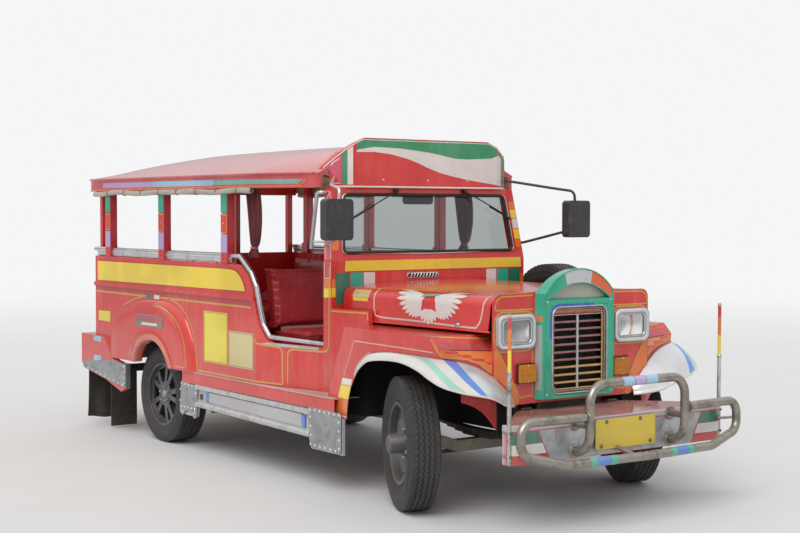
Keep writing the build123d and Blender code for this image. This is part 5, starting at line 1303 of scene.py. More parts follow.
class JEEPNEY_OT_sign_board(bpy.types.Operator):
    """Paints the blank sign board over the windscreen and pipes its edge."""

    bl_idname = "jeepney.sign_board"
    bl_label = "Sign board"

    def execute(self, context):
        sizes = context.scene.jeepney_body
        board, coat = Skin("sign_board"), Mesh()
        cuts = ((0, -0.675), (0, -0.585), (0, 0.585), (0, 0.675))
        low = [(-0.560, 2.088), (-0.437, 2.092), (-0.300, 2.080), (-0.182, 2.056), (-0.090, 2.030), (-0.009, 1.999),
               (0.100, 1.966), (0.207, 1.944), (0.352, 1.921), (0.509, 1.901), (0.610, 1.890)]
        high = [(-0.560, 2.104), (-0.431, 2.124), (-0.220, 2.118), (-0.009, 2.099), (0.110, 2.082), (0.224, 2.062),
                (0.340, 2.060), (0.456, 2.066), (0.540, 2.072), (0.596, 2.090)]
        red = [(-0.580, 1.878), (0.625, 1.878)] + low[::-1] + [(-0.580, 2.086)]
        board.field(coat, from_front, red, enamel("Board red", rgb("E03A36"), fade=0.2, dust=0.1, wear=0.2),
                    cuts=cuts)
        white = [(-0.575, 2.092)] + low + [(0.640, 1.884), (0.640, 2.070), (0.604, 2.094)] + high[::-1]
        board.field(coat, from_front, white, paint("white"), cuts=cuts)
        green = high + [(0.586, 2.140), (0.500, 2.174), (-0.500, 2.174), (-0.572, 2.146)]
        board.field(coat, from_front, green, paint("green"), cuts=cuts)
        # The swept cheeks: white, green and a faded pink panel, on both sides, the left one without the white
        for sign in (-1, 1):
            def below_rim(y):
                if y < 0.585:
                    return 2.130
                return 2.130 - (y - 0.585) * 0.644 if y < 0.675 else 2.072 - (y - 0.675) * 1.192

            for y0, y1, key in ((0.594, 0.628, "white"), (0.630, 0.660, "green"), (0.664, 0.752, "pink")):
                if sign > 0 and key == "white":
                    continue
                across = [y0 + (y1 - y0) * k / 5 for k in range(6)]
                corners = [(sign * y0, 1.882), (sign * y1, 1.882)] + [(sign * y, below_rim(y)) for y in across[::-1]]
                board.field(coat, from_front, corners, paint(key), cuts=cuts)
            arch = [(sign * 0.672, 1.890), (sign * 0.744, 1.890), (sign * 0.740, 1.950), (sign * 0.704, 2.020),
                    (sign * 0.672, 2.050)]
            board.line(coat, from_front, arch, sizes.fine_line * 0.6, paint("white"), pitch=0.02, lift=0.002)
        coat.piece("sign_board_paint", slot="painted_trim", smooth=0)

        # Rounded piping over the rim, along the foot and down the two corners
        pipes, white = Mesh(), paint("white")
        rim = [(-0.779, 1.866), (-0.779, 1.964), (-0.675, 2.088), (-0.585, 2.146), (-0.505, 2.179), (0.505, 2.179),
               (0.585, 2.146), (0.675, 2.088), (0.779, 1.964), (0.779, 1.866)]
        rim = [(p[0], p[1]) for p in rounded_path([(u, v, 0) for u, v in rim], 0.05)]
        path = []
        for u, v in even_pairs(rim, 0.03):
            for inset in (0.012, 0.02, 0.035):
                found = board.hit(from_front, u * (1 - inset / 0.78), min(v, 2.180 - inset * 0.8) - inset * 0.2, 0.0)
                if found:
                    path.append(found[0] + Vector((-0.004, 0, 0.0)))
                    break
        pipes.tube(path, sizes.piping / 2, white, 10)
        foot = []
        for u, v in even_pairs([(-0.770, 1.872), (0.770, 1.872)], 0.03):
            found = board.hit(from_front, u, v, 0.0)
            if found:
                foot.append(found[0] + Vector((0.001, 0, -0.003)))
        pipes.tube(foot, sizes.piping / 2 + 0.001, white, 10)
        for u in (-0.360, 0.330, 0.000):
            pipes.dome((0.6452, u, 1.915), (1, 0, 0), 0.007, shared("Stainless strip"), 0.5)
        for u, v in ((-0.760, 1.892), (-0.752, 1.945)):
            found = board.hit(from_front, u, v, 0.0)
            if found:
                pipes.dome(found[0], found[1], 0.007, shared("Stainless strip"), 0.5)
        pipes.piece("sign_board_piping", slot="painted_trim", smooth=60)
        return {"FINISHED"}


class JEEPNEY_OT_windscreen(bpy.types.Operator):
    """Fits the gasket, plated trim, wipers and inner mirror, and paints the pillars and the scuttle."""

    bl_idname = "jeepney.windscreen"
    bl_label = "Windscreen"

    def execute(self, context):
        sizes = context.scene.jeepney_body
        rubber = shared("Gasket rubber")
        chrome = shared("Plated steel")
        front = Skin("windscreen_frame", "windscreen_glass", "cowl")

        def slope_x(z):
            return 0.690 - 0.070 * (z - 1.400) / 0.465

        def slope_half(z):
            return 0.790 - 0.050 * (z - 1.400) / 0.465

        trim = Mesh()
        corners = []
        for z, sign in ((1.452, -1), (1.452, 1), (1.820, 1), (1.820, -1)):
            corners.append(Vector((slope_x(z), sign * (slope_half(z) - 0.090), z)))
        half_way = corners[0].lerp(corners[1], 0.5)
        ring = rounded_path([half_way] + corners[1:] + [corners[0], half_way],
                            0.035, 8)[:-1]
        trim.tube(ring, 0.011, rubber, 10, closed=True)
        outer = []
        middle = sum(corners, Vector()) / 4
        for point in ring:
            away = (point - middle).normalized()
            outer.append(point + away * 0.013 + Vector((0.004, 0, 0)))
        trim.tube(outer, 0.0045, chrome, 8, closed=True)
        # Top-pivoted wipers: arm, blade and spindle
        for y0, y1, z1 in ((0.310, 0.640, 1.690), (-0.250, -0.560, 1.700)):
            start = Vector((slope_x(1.847) + 0.014, y0, 1.847))
            end = Vector((slope_x(z1) + 0.020, y1, z1))
            trim.turned([(-0.012, 0.014), (0.010, 0.014), (0.014, 0.010), (0.014, 0.001)], start, (1, 0, 0), rubber,
                        16)
            trim.tube([start, start.lerp(end, 0.3) + Vector((0.012, 0, 0)), end + Vector((0.010, 0, 0))],
                      [0.006, 0.0045, 0.0035], rubber, 8)
            along = (end - start).normalized()
            blade = [start.lerp(end, 0.62), start.lerp(end, 0.8), end + along * 0.015, end + along * 0.06]
            trim.tube([p + Vector((0.0, 0, -0.004)) for p in blade], 0.005, rubber, 8, squeeze=(1.0, 1.7))
        # Inner mirror on a short stem
        shell = shared("Black plastic")
        trim.tube([(0.600, 0.0, 1.846), (0.560, 0.0, 1.835), (0.535, 0.0, 1.800)], 0.006, shell, 10)
        face = ring_outline(0.0, 1.790, 0.240, 0.062, 0.026)
        trim.grid([[(0.540, u, v) for u, v in face], [(0.520, u, v) for u, v in face]], shell, around=True)
        trim.cap([(0.540, u, v) for u, v in face], shell)
        trim.cap([(0.5205, u, v) for u, v in face],
                 metal("Mirror face", "E3E6E8", rust=0, dust=0.1, shine=0.03, stains=0.1),
                 True)
        trim.piece("windscreen_trim", slot="rubber", smooth=50)

        coat = Mesh()
        # Blocks on the front of the pillars
        blocks = ((1.410, 1.525, "orange"), (1.528, 1.596, "yellow"), (1.600, 1.664, "white"),
                  (1.668, 1.726, "yellow"),
                  (1.730, 1.780, "orange"))
        for sign in (-1, 1):
            for v0, v1, key in blocks:
                if key == "orange" and v1 < 1.6:
                    v0 = 1.470
                corner = [(sign * (slope_half(v) - inset), v) for v, inset in
                          ((v0, 0.004), (v1, 0.004), (v1, 0.052), (v0, 0.052))]
                front.field(coat, from_front, corner, paint(key))
        for sign in (-1, 1):
            for v0, v1, key in ((1.238, 1.290, "orange"), (1.178, 1.236, "yellow")):
                front.field(coat, from_front, [(sign * 0.788, v0), (sign * 0.760, v0), (sign * 0.760, v1),
                                               (sign * 0.788, v1)], paint(key))
        # The yellow strip under the windscreen, and blocks below it
        front.field(coat, from_front, [(-0.690, 1.337), (0.768, 1.337), (0.760, 1.402), (-0.684, 1.402)],
                    paint("yellow"), cuts=((1, 1.4),))
        front.line(coat, from_front, [(-0.694, 1.333), (0.772, 1.333)], 0.006, paint("deep_red"), pitch=0.2)
        for sign in (-1, 1):
            for y0, y1, v0, key in ((0.458, 0.545, 1.245, "white"), (0.552, 0.645, 1.236, "mint"),
                                    (0.652, 0.756, 1.130, "dark_teal")):
                front.field(coat, from_front, [(sign * y0, v0), (sign * y1, v0), (sign * y1, 1.328),
                                               (sign * y0, 1.328)],
                            paint(key))

        def side(sign):
            view = from_side(sign)
            front.field(coat, view, [(0.618, 1.412), (0.684, 1.412), (0.628, 1.780), (0.604, 1.830), (0.560, 1.780)],
                        paint("pink"), cuts=((1, 1.5), (1, 1.6), (1, 1.7)))
            front.line(coat, view, [(0.618, 1.412), (0.560, 1.780), (0.604, 1.834), (0.628, 1.780), (0.684, 1.412)],
                       sizes.fine_line * 0.6, paint("white"), pitch=0.03)

        both(side)
        coat.piece("windscreen_paint", slot="painted_trim", smooth=0)

        # A small louvred vent on the scuttle, just above the hood
        vent, bright = Mesh(), shared("Stainless strip")
        outline = ring_outline(-0.080, 1.300, 0.260, 0.034, 0.015)
        vent.grid([[(0.6905, u, v) for u, v in outline], [(0.697, u, v) for u, v in outline],
                   [(0.698, -0.080 + (u + 0.080) * 0.93, 1.300 + (v - 1.300) * 0.7) for u, v in outline]], bright,
                  around=True)
        vent.cap([(0.6935, -0.080 + (u + 0.080) * 0.93, 1.300 + (v - 1.300) * 0.7) for u, v in outline], rubber)
        for k in range(9):
            u = -0.180 + 0.025 * k
            vent.tube([(0.697, u, 1.288), (0.699, u + 0.006, 1.300), (0.697, u + 0.012, 1.312)], 0.0035, bright, 6)
        vent.piece("scuttle_vent", slot="chrome", smooth=50)
        return {"FINISHED"}


class JEEPNEY_OT_hood(bpy.types.Operator):
    """Paints the hood: a cream line, a plain feather ornament and the beads along its edges."""

    bl_idname = "jeepney.hood"
    bl_label = "Hood"

    def execute(self, context):
        skin, coat = Skin("hood"), Mesh()
        cream, white, mint = paint("cream"), paint("white"), paint("mint")
        corner = 0.066

        def wrap(sign):
            """u is the place along the car; v runs up the side, over the rounded corner and across the top."""
            def view(u, v):
                share = (u - 0.698) / 1.324
                half = 0.705 - 0.098 * share
                shoulder = 1.178 + 0.0 * share
                bend = corner * math.pi / 2
                if v < shoulder:
                    return Vector((u, sign * 3.0, v)), Vector((0, -sign, 0))
                if v < shoulder + bend:
                    a = (v - shoulder) / corner
                    away = Vector((0, sign * math.cos(a), math.sin(a)))
                    centre = Vector((u, sign * (half - corner), shoulder))
                    return centre + away * 0.5, -away
                across = half - corner - (v - shoulder - bend)
                return Vector((u, sign * across, 3.0)), Vector((0, 0, -1))
            return view

        def side(sign):
            view = wrap(sign)
            ring = [(1.050, 1.330), (1.012, 1.290), (1.000, 1.150), (1.008, 1.104), (1.050, 1.074), (1.400, 1.068),
                    (1.850, 1.058), (1.912, 1.070), (1.945, 1.120), (1.962, 1.200), (1.978, 1.280), (1.992, 1.335),
                    (1.990, 1.352), (1.700, 1.372), (1.350, 1.380), (1.140, 1.372), (1.082, 1.356)]
            loop = [(p[0], p[1]) for p in smooth_path([(u, v, 0) for u, v in ring], 0.02, closed=True)]
            skin.line(coat, view, loop, 0.011, cream, closed=True, pitch=0.02)
            # A plain spread of feathers: two fans, a tail and a coloured bar between them
            laid = []

            def feather(u, v, length, angle, wide, finish=white):
                cosine, sine = math.cos(angle), math.sin(angle)
                laid.append(angle)
                shape = ((0, 0.18), (0.3, 0.36), (0.62, 0.5), (0.86, 0.44), (1.0, 0.0), (0.86, -0.44), (0.62, -0.5),
                         (0.3, -0.36), (0, -0.18))
                pairs = [(u + length * a * cosine - wide * b * sine, v + length * a * sine + wide * b * cosine)
                         for a, b in shape]
                skin.field(coat, view, pairs, finish, pitch=0.02, lift=0.0008 + 0.00007 * len(laid))

            middle_u, middle_v = 1.500, 1.215
            for fan in (-1, 1):
                for k in range(10):
                    lift = math.radians(13 - 9.5 * k)
                    angle = lift if fan > 0 else math.pi - lift
                    feather(middle_u + fan * 0.060, middle_v + 0.010 - 0.003 * k, 0.262 - 0.0165 * k, angle, 0.027)
                for k in range(5):
                    lift = math.radians(10 - 17 * k)
                    angle = lift if fan > 0 else math.pi - lift
                    feather(middle_u + fan * 0.048, middle_v + 0.006, 0.105, angle, 0.026)
            for k in range(7):
                feather(middle_u + 0.007 * (k - 3), 1.142, 0.090 - 0.004 * abs(k - 3),
                        math.radians(-90 + 20 * (k - 3)),
                        0.026)
            skin.field(coat, view, [(middle_u - 0.072, middle_v - 0.002), (middle_u + 0.072, middle_v + 0.012),
                                    (middle_u + 0.066, middle_v + 0.026), (middle_u - 0.062, middle_v + 0.014)], mint,
                       pitch=0.02, lift=0.0034)
            skin.field(coat, view, [(0.790, 1.185), (0.948, 1.185), (0.948, 1.238), (0.790, 1.238)],
                       enamel("Notice pale", rgb("D9CB8E")), pitch=0.02)
            skin.field(coat, view, [(0.795, 1.162), (0.940, 1.162), (0.940, 1.183), (0.795, 1.183)], paint("yellow"),
                       pitch=0.02)

        both(side)
        coat.piece("hood_paint", body="hood", slot="painted_trim", smooth=0)

        # Rolled beads on the lower edges and the nose, and two catches
        beads, red = Mesh(), paint("body_red")
        beads.tube([(0.706, -0.7055, 1.040), (2.016, -0.6085, 1.040)], 0.006, red, 8)
        for x in (0.95, 1.75):
            half = 0.705 - 0.098 * (x - 0.698) / 1.324
            beads.box((x - 0.020, -half - 0.007, 1.042), (x + 0.020, -half - 0.0005, 1.082),
                      shared("Stainless strip"), 0.003)
        beads.mirrored()
        nose = []
        for k in range(25):
            y = -0.540 + 1.080 * k / 24
            found = skin.hit(from_top, 2.012, y, 0.0)
            if found:
                nose.append(found[0])
        beads.tube(nose, 0.006, red, 8)
        beads.piece("hood_beads", body="hood", slot="painted_body", smooth=60)
        return {"FINISHED"}


class JEEPNEY_OT_nose(bpy.types.Operator):
    """Paints the fascia and fenders and builds the shell's bands, the grille trim and the lamps."""

    bl_idname = "jeepney.nose"
    bl_label = "Nose"

    def execute(self, context):
        sizes = context.scene.jeepney_body
        gold, orange = paint("gold"), paint("orange")
        fascia, coat = Skin("front_fascia"), Mesh()

        def both_fronts(skin, pairs, material, cuts=(), lift=0.0008):
            for sign in (-1, 1):
                skin.field(coat, from_front, [(sign * u, v) for u, v in pairs], material, cuts=cuts, lift=lift)

        # Orange outer corners and gold lines round the lamps
        both_fronts(fascia, [(0.602, 0.800), (0.602, 0.944), (0.576, 0.941), (0.504, 0.827), (0.424, 0.686),
                             (0.424, 0.632),
                             (0.486, 0.632)], orange)
        for sign in (-1, 1):
            def lined(pairs, width=sizes.fine_line, closed=False, finish=gold, lift=0.0016):
                fascia.line(coat, from_front, [(sign * u, v) for u, v in pairs], width, finish, closed=closed,
                            pitch=0.03, lift=lift)

            lined(ring_outline(LAMP_Y, LAMP_Z, 0.300, 0.222, 0.060, 4), closed=True)
            lined([(0.318, 1.162), (0.590, 1.162), (0.597, 1.180), (0.585, 1.218), (0.550, 1.238), (0.318, 1.241)])
            lined([(0.318, 0.924), (0.318, 0.666), (0.345, 0.672), (0.405, 0.662), (0.424, 0.686), (0.504, 0.827),
                   (0.576, 0.941)])
            lined([(0.424, 0.686), (0.424, 0.632)])

        # The slanted wing corner is painted along a slanted view: u runs across it, v up
        wings = Skin("fenders", "front_fascia")
        for sign in (-1, 1):
            away = Vector((6.307, sign * 5.0, 0.822)).normalized()
            across = Vector((-away.y, away.x, 0)).normalized() * -sign
            upward = across.cross(away) * sign
            start = Vector((1.938, sign * 0.920, 0.950))

            def quarter(u, v):
                return start + across * u + upward * v + away * 2.0, -away

            wings.field(coat, quarter, [(-0.006, 0.001), (0.338, -0.001), (0.389, -0.105), (0.449, -0.238),
                                        (0.449, -0.310),
                                        (0.392, -0.285), (0.374, -0.238), (0.341, -0.184), (0.292, -0.118),
                                        (0.232, -0.069),
                                        (0.160, -0.046), (0.076, -0.039), (0.022, -0.036), (0.004, -0.012)], orange,
                        pitch=0.02, lift=0.001)
            wings.field(coat, quarter, [(-0.022, 0.044), (0.303, 0.050), (0.304, 0.003), (-0.004, 0.005)],
                        paint("deep_red"),
                        pitch=0.02, lift=0.001)
            for line in ([(-0.042, 0.075), (0.304, 0.069)],
                         [(-0.042, 0.075), (-0.020, 0.039), (0.004, -0.012), (0.022, -0.036), (0.076, -0.039),
                          (0.160, -0.046), (0.232, -0.069), (0.292, -0.118), (0.341, -0.184), (0.374, -0.238),
                          (0.389, -0.280)]):
                wings.line(coat, quarter, line, sizes.fine_line, gold, pitch=0.02, lift=0.0018)

        # Blocks behind the arch and the pale line over it
        for sign in (-1, 1):
            view = from_side(sign)
            wings.field(coat, view, [(0.977, 0.710), (1.092, 0.709), (1.076, 0.670), (0.960, 0.672)], paint("white"))
            wings.field(coat, view, [(0.958, 0.668), (1.074, 0.666), (1.044, 0.584), (0.922, 0.584)], paint("yellow"))
            wings.field(coat, view, [(0.920, 0.580), (1.042, 0.580), (1.026, 0.486), (0.881, 0.486)], orange)
            wings.field(coat, view, [(0.876, 0.482), (1.024, 0.482), (1.020, 0.470), (0.872, 0.470)], paint("white"))
            wings.line(coat, view, [(0.994, 0.722), (1.102, 0.925), (1.122, 0.944), (1.390, 0.942), (1.650, 0.940),
                                    (1.900, 0.936)], sizes.fine_line * 0.6, paint("cream"), pitch=0.05)
        coat.piece("nose_paint", slot="painted_trim", smooth=0)

        self.shell(context)
        self.grille_trim(context)
        self.lamps(context)
        return {"FINISHED"}

    def shell(self, context):
        """The painted arch, rounded frame and corner rings of the radiator shell."""
        skin, coat = Skin("radiator_shell"), Mesh()
        teal, flame = paint("teal"), enamel("Flame orange", rgb("E8602A"), fade=0.3, dust=0.1)
        silver = enamel("Silver enamel", rgb("D5D8DA"), fade=0.2, dust=0.15, gloss=0.3, metallic=0.3)
        panel = enamel("Arch panel grey", rgb("B7B2A6"), fade=0.4, dust=0.2, wear=0.3, gloss=0.34)
        front_x = 2.0942
        # The arch runs through the two shoulders and the top, its inner edge 84 mm below
        half, shoulder, top = 0.266, 1.250, 1.387
        rise = top - shoulder
        radius = (half * half + rise * rise) / (2 * rise)
        middle = top - radius
        inner_half, inner_low, inner_top = 0.236, 1.214, 1.303
        inner_rise = inner_top - inner_low
        inner_radius = (inner_half * inner_half + inner_rise * inner_rise) / (2 * inner_rise)
        inner_middle = inner_top - inner_radius

        def edge(share, outer):
            if outer:
                reach = math.asin(half / radius)
                a = reach * (2 * share - 1)
                return radius * math.sin(a) * 0.985, middle + radius * math.cos(a) - 0.004
            reach = math.asin(inner_half / inner_radius)
            a = reach * (2 * share - 1)
            return inner_radius * math.sin(a), inner_middle + inner_radius * math.cos(a) + 0.003

        for first, last, finish in ((0.30, 0.66, silver), (0.66, 1.0, flame)):
            steps = 8
            for k in range(steps):
                s0, s1 = (first + (last - first) * (k + d) / steps for d in (0, 1))
                corners = [edge(s0, True), edge(s1, True), edge(s1, False), edge(s0, False)]
                skin.field(coat, from_front, corners, finish)
        # The sunk half-round panel
        sunk = [(u, v - 0.004) for u, v in (edge(k / 16, False) for k in range(1, 16))]
        sunk = [(0.226, 1.2175)] + sunk[::-1] + [(-0.226, 1.2175)]
        skin.field(coat, from_front, sunk, panel, lift=0.0012)
        # Worn silver-grey flanks
        flank = enamel("Flank grey", rgb("A7A9A6"), fade=0.6, dust=0.3, wear=0.6, gloss=0.4)
        for sign in (-1, 1):
            view = from_side(sign)
            skin.field(coat, view, [(2.044, 0.700), (2.078, 0.700), (2.078, 1.070), (2.044, 1.070)], flank)
            skin.field(coat, view, [(2.044, 1.090), (2.080, 1.090), (2.080, 1.120), (2.044, 1.120)], paint("orange"))
        # A frame with rounded upper corners inside the square opening: teal face, blue corner, gold and plated lips
        rim = Mesh()
        inside = ring_outline(0.0, GRILLE_Z, 0.428, 0.496, 0.055, 8)
        square = []
        for u, v in inside:
            stretch = max(abs(u) / 0.2215, abs(v - GRILLE_Z) / 0.2555)
            square.append((u / stretch, GRILLE_Z + (v - GRILLE_Z) / stretch))
        rim.grid([[(front_x - 0.0012, u, v) for u, v in square], [(front_x - 0.0012, u, v) for u, v in inside],
                  [(front_x - 0.020, u * 0.985, GRILLE_Z + (v - GRILLE_Z) * 0.985) for u, v in inside]], teal,
                 around=True)
        rim.tube([(front_x + 0.001, u, v) for u, v in inside], 0.0045, shared("Stainless strip"), 8, closed=True)
        worn, gold = shared("Worn tube steel"), paint("gold")
        for inset, depth, size, finish in ((0.012, 0.008, 0.0065, worn), (0.023, 0.016, 0.0045, gold)):
            ring = ring_outline(0.0, GRILLE_Z, 0.428 - 2 * inset, 0.496 - 2 * inset, 0.055 - inset, 8)
            rim.tube([(front_x - depth, u, v) for u, v in ring], size, finish, 8, closed=True)
        rim_item = rim.piece("grille_rim", slot="painted_teal", smooth=60)
        # A blue line round the opening's upper right-hand corner
        deep_blue, both_skins = enamel("Deep blue", rgb("1E4FC0"), dust=0.1), Skin("radiator_shell", rim_item)
        outer_ring = ring_outline(0.0, GRILLE_Z, 0.428 + 0.022, 0.496 + 0.022, 0.066, 8)
        run = [p for p in outer_ring if p[1] > 1.10 and p[0] < 0.0]
        run = [(0.110, run[0][1])] + run + [(run[-1][0], 0.990)]
        both_skins.line(coat, from_front, run, 0.014, deep_blue, pitch=0.02, lift=0.0018)
        coat.piece("shell_paint", slot="painted_teal", smooth=0)

        lips, steel = Mesh(), shared("Stainless strip")
        arch = [(front_x + 0.001, *edge(k / 24, True)) for k in range(25)]
        lips.tube([(x, u / 0.985, v + 0.003) for x, u, v in arch], 0.0042, teal, 8)
        inner = [(front_x - 0.001, *edge(k / 24, False)) for k in range(25)]
        lips.tube(inner, 0.0038, teal, 8)
        for sign in (-1, 1):
            lips.tube([(front_x, sign * 0.2655, 0.650), (front_x, sign * 0.2655, 1.250)], 0.0042, teal, 8)
        for u, v in ((-0.250, 0.670), (0.250, 0.670), (-0.250, 1.200), (0.250, 1.200)):
            lips.dome((front_x - 0.0008, u, v), (1, 0, 0), 0.006, steel, 0.6)
        lips.piece("shell_lips", slot="painted_teal", smooth=60)

    def grille_trim(self, context):
        """The red strip over the grille, coloured bar faces, a plated post and the dark core behind."""
        trim = Mesh()
        steel, red, gold = shared("Stainless strip"), paint("deep_red"), paint("gold")
        pink = metal("Red-tinted plate", "C98A84", rust=0.1, dust=0.1, shine=0.3)
        face_x = 2.0702
        trim.box((face_x - 0.001, -0.196, 1.126), (face_x + 0.006, 0.196, 1.172), red, 0.004)
        trim.tube([(face_x + 0.006, -0.198, 1.122), (face_x + 0.006, 0.198, 1.122)], 0.003, steel, 6)
        # A plain raised zigzag along the strip
        for k in range(8):
            u = -0.150 + 0.043 * k
            trim.tube([(face_x + 0.0065, u - 0.014, 1.138), (face_x + 0.0065, u, 1.158),
                       (face_x + 0.0065, u + 0.014, 1.138)],
                      0.003, steel, 6)
        low, high, count = 0.689, 1.124, 9
        pitch = (high - low) / (count + 1)
        for k in range(count):
            z = low + pitch * (k + 1)
            finish = gold if k < 3 else pink
            for u0, u1 in ((-0.197, -0.009), (0.009, 0.197)):
                trim.grid([[(face_x - 0.004, u, z + 0.0068), (face_x + 0.004, u, z + 0.004),
                            (face_x + 0.004, u, z - 0.004),
                            (face_x - 0.004, u, z - 0.0068)] for u in (u0, u1)], finish)
        trim.box((face_x - 0.002, -0.008, low - 0.004), (face_x + 0.007, 0.008, high - 0.004), steel, 0.003)
        for u0, u1, v0, v1 in ((-0.220, -0.197, 0.667, 1.176), (0.197, 0.220, 0.667, 1.176),
                               (-0.197, 0.197, 0.667, 0.689)):
            trim.box((face_x - 0.001, u0, v0), (face_x + 0.005, u1, v1), steel, 0.003)
        trim.piece("grille_trim", slot="chrome", smooth=40)

        core, dark = Mesh(), moulded("Radiator core", "121315", scale=300.0, scuffs=0.3, dust=0.2, depth=0.001)
        core.box((2.010, -0.216, 0.672), (2.026, 0.216, 1.170), dark, 0.004)
        for k in range(36):
            u = -0.205 + 0.0117 * k
            core.box((2.026, u, 0.680), (2.030, u + 0.004, 1.165), dark, 0.001)
        core.piece("radiator_core", slot="painted_dark", smooth=30)

    def lamps(self, context):
        """Rounded lamp bezels with reflectors, fluted glass and ribbed amber lenses."""
        lamps = Mesh()
        grey = metal("Lamp bezel paint", "ECEDEE", rust=0.02, dust=0.05, shine=0.34, stains=0.15)
        rubber = shared("Gasket rubber")
        mirror = metal("Lamp reflector", "F2F3F4", rust=0, dust=0.05, shine=0.08, stains=0.15)
        steps = 8
        for sign in (-1, 1):
            def ring(width, height, corner, x):
                return [(x, sign * u, v) for u, v in ring_outline(LAMP_Y, LAMP_Z, width, height, corner, steps)]

            rows = [ring(0.284, 0.198, 0.044, 2.0430), ring(0.286, 0.200, 0.046, 2.060),
                    ring(0.278, 0.192, 0.044, 2.0690),
                    ring(0.262, 0.176, 0.040, 2.0715), ring(0.244, 0.160, 0.036, 2.0700),
                    ring(0.238, 0.154, 0.033, 2.0680)]
            lamps.grid(rows if sign > 0 else [r[::-1] for r in rows], grey, around=True)
            gap = [ring(0.238, 0.154, 0.033, 2.0680), ring(0.236, 0.152, 0.032, 2.0640),
                   ring(0.222, 0.138, 0.028, 2.0630)]
            lamps.grid(gap if sign > 0 else [r[::-1] for r in gap], rubber, around=True)
            lip = [ring(0.222, 0.138, 0.028, 2.0630), ring(0.218, 0.134, 0.027, 2.0690),
                   ring(0.204, 0.128, 0.024, 2.0685),
                   ring(0.200, 0.126, 0.022, 2.0640)]
            lamps.grid(lip if sign > 0 else [r[::-1] for r in lip], grey, around=True)
        lamps.piece("headlamp_rims", slot="chrome", smooth=50)

        bowls = Mesh()
        for sign in (-1, 1):
            rows = []
            for share in (1.0, 0.92, 0.8, 0.62, 0.4, 0.16, 0.02):
                depth = 2.0435 + 0.009 * share ** 2
                rows.append([(depth, sign * (LAMP_Y + (u - LAMP_Y) * share), LAMP_Z + (v - LAMP_Z) * share)
                             for u, v in ring_outline(LAMP_Y, LAMP_Z, 0.196, 0.122, 0.022, steps)])
            bowls.grid(rows if sign < 0 else [r[::-1] for r in rows], mirror, around=True)
            bowls.turned([(0.0, 0.014), (0.006, 0.014), (0.008, 0.010), (0.008, 0.0005)],
                         (2.0440, sign * LAMP_Y, LAMP_Z),
                         (1, 0, 0), grey, 20)
        bowls.piece("headlamp_bowls", slot="chrome", smooth=180)

        glass = Mesh()
        clear = shared("Lamp glass")
        for sign in (-1, 1):
            rows = []
            for k in range(29):
                u = 0.354 + 0.196 * k / 28
                flute = 0.0010 * (k % 2)
                crown = 0.003 * (1 - ((u - LAMP_Y) / 0.098) ** 2)
                rows.append([(2.0585 + flute + crown * (1 - ((v - 1.040) / 0.061) ** 2), sign * u, v)
                             for v in (0.9795, 1.000, 1.020, 1.040, 1.060, 1.080, 1.1005)])
            back = [[(2.0560, y, z) for _, y, z in row] for row in rows]
            front_rows = rows if sign > 0 else rows[::-1]
            back_rows = back[::-1] if sign > 0 else back
            glass.grid(front_rows, clear)
            glass.grid(back_rows, clear)
            for a, b in ((rows[0], back[0]), (rows[-1], back[-1])):
                glass.grid([a, b], clear)
            glass.grid([[r[0] for r in rows], [r[0] for r in back]], clear)
            glass.grid([[r[-1] for r in rows], [r[-1] for r in back]], clear)
        item = glass.piece("headlamp_glass", slot="glass", smooth=50)
        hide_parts("headlamp_lenses")

        amber, lenses = shared("Amber lens"), Mesh()
        for sign in (-1, 1):
            low, high = sorted((sign * 0.304, sign * 0.440))
            lenses.box((2.0420, low, 0.742), (2.0560, high, 0.856), shared("Gasket rubber"), 0.005)
            lenses.box((2.0560, low + 0.003, 0.745), (2.0715, high - 0.003, 0.853), amber, 0.006)
            for k in range(11):
                u = low + 0.014 + 0.0108 * k
                lenses.tube([(2.0716, u, 0.756), (2.0716, u, 0.842)], 0.0026, amber, 6)
            lenses.tube([(2.0722, low + 0.010, 0.799), (2.0722, high - 0.010, 0.799)], 0.0028, amber, 6)
            for v in (0.753, 0.845):
                lenses.dome((2.0712, (low + high) / 2, v), (1, 0, 0), 0.005, grey, 0.5)
        item = lenses.piece("turn_lamp_lenses", slot="amber", smooth=40)
        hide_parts("turn_lamps")


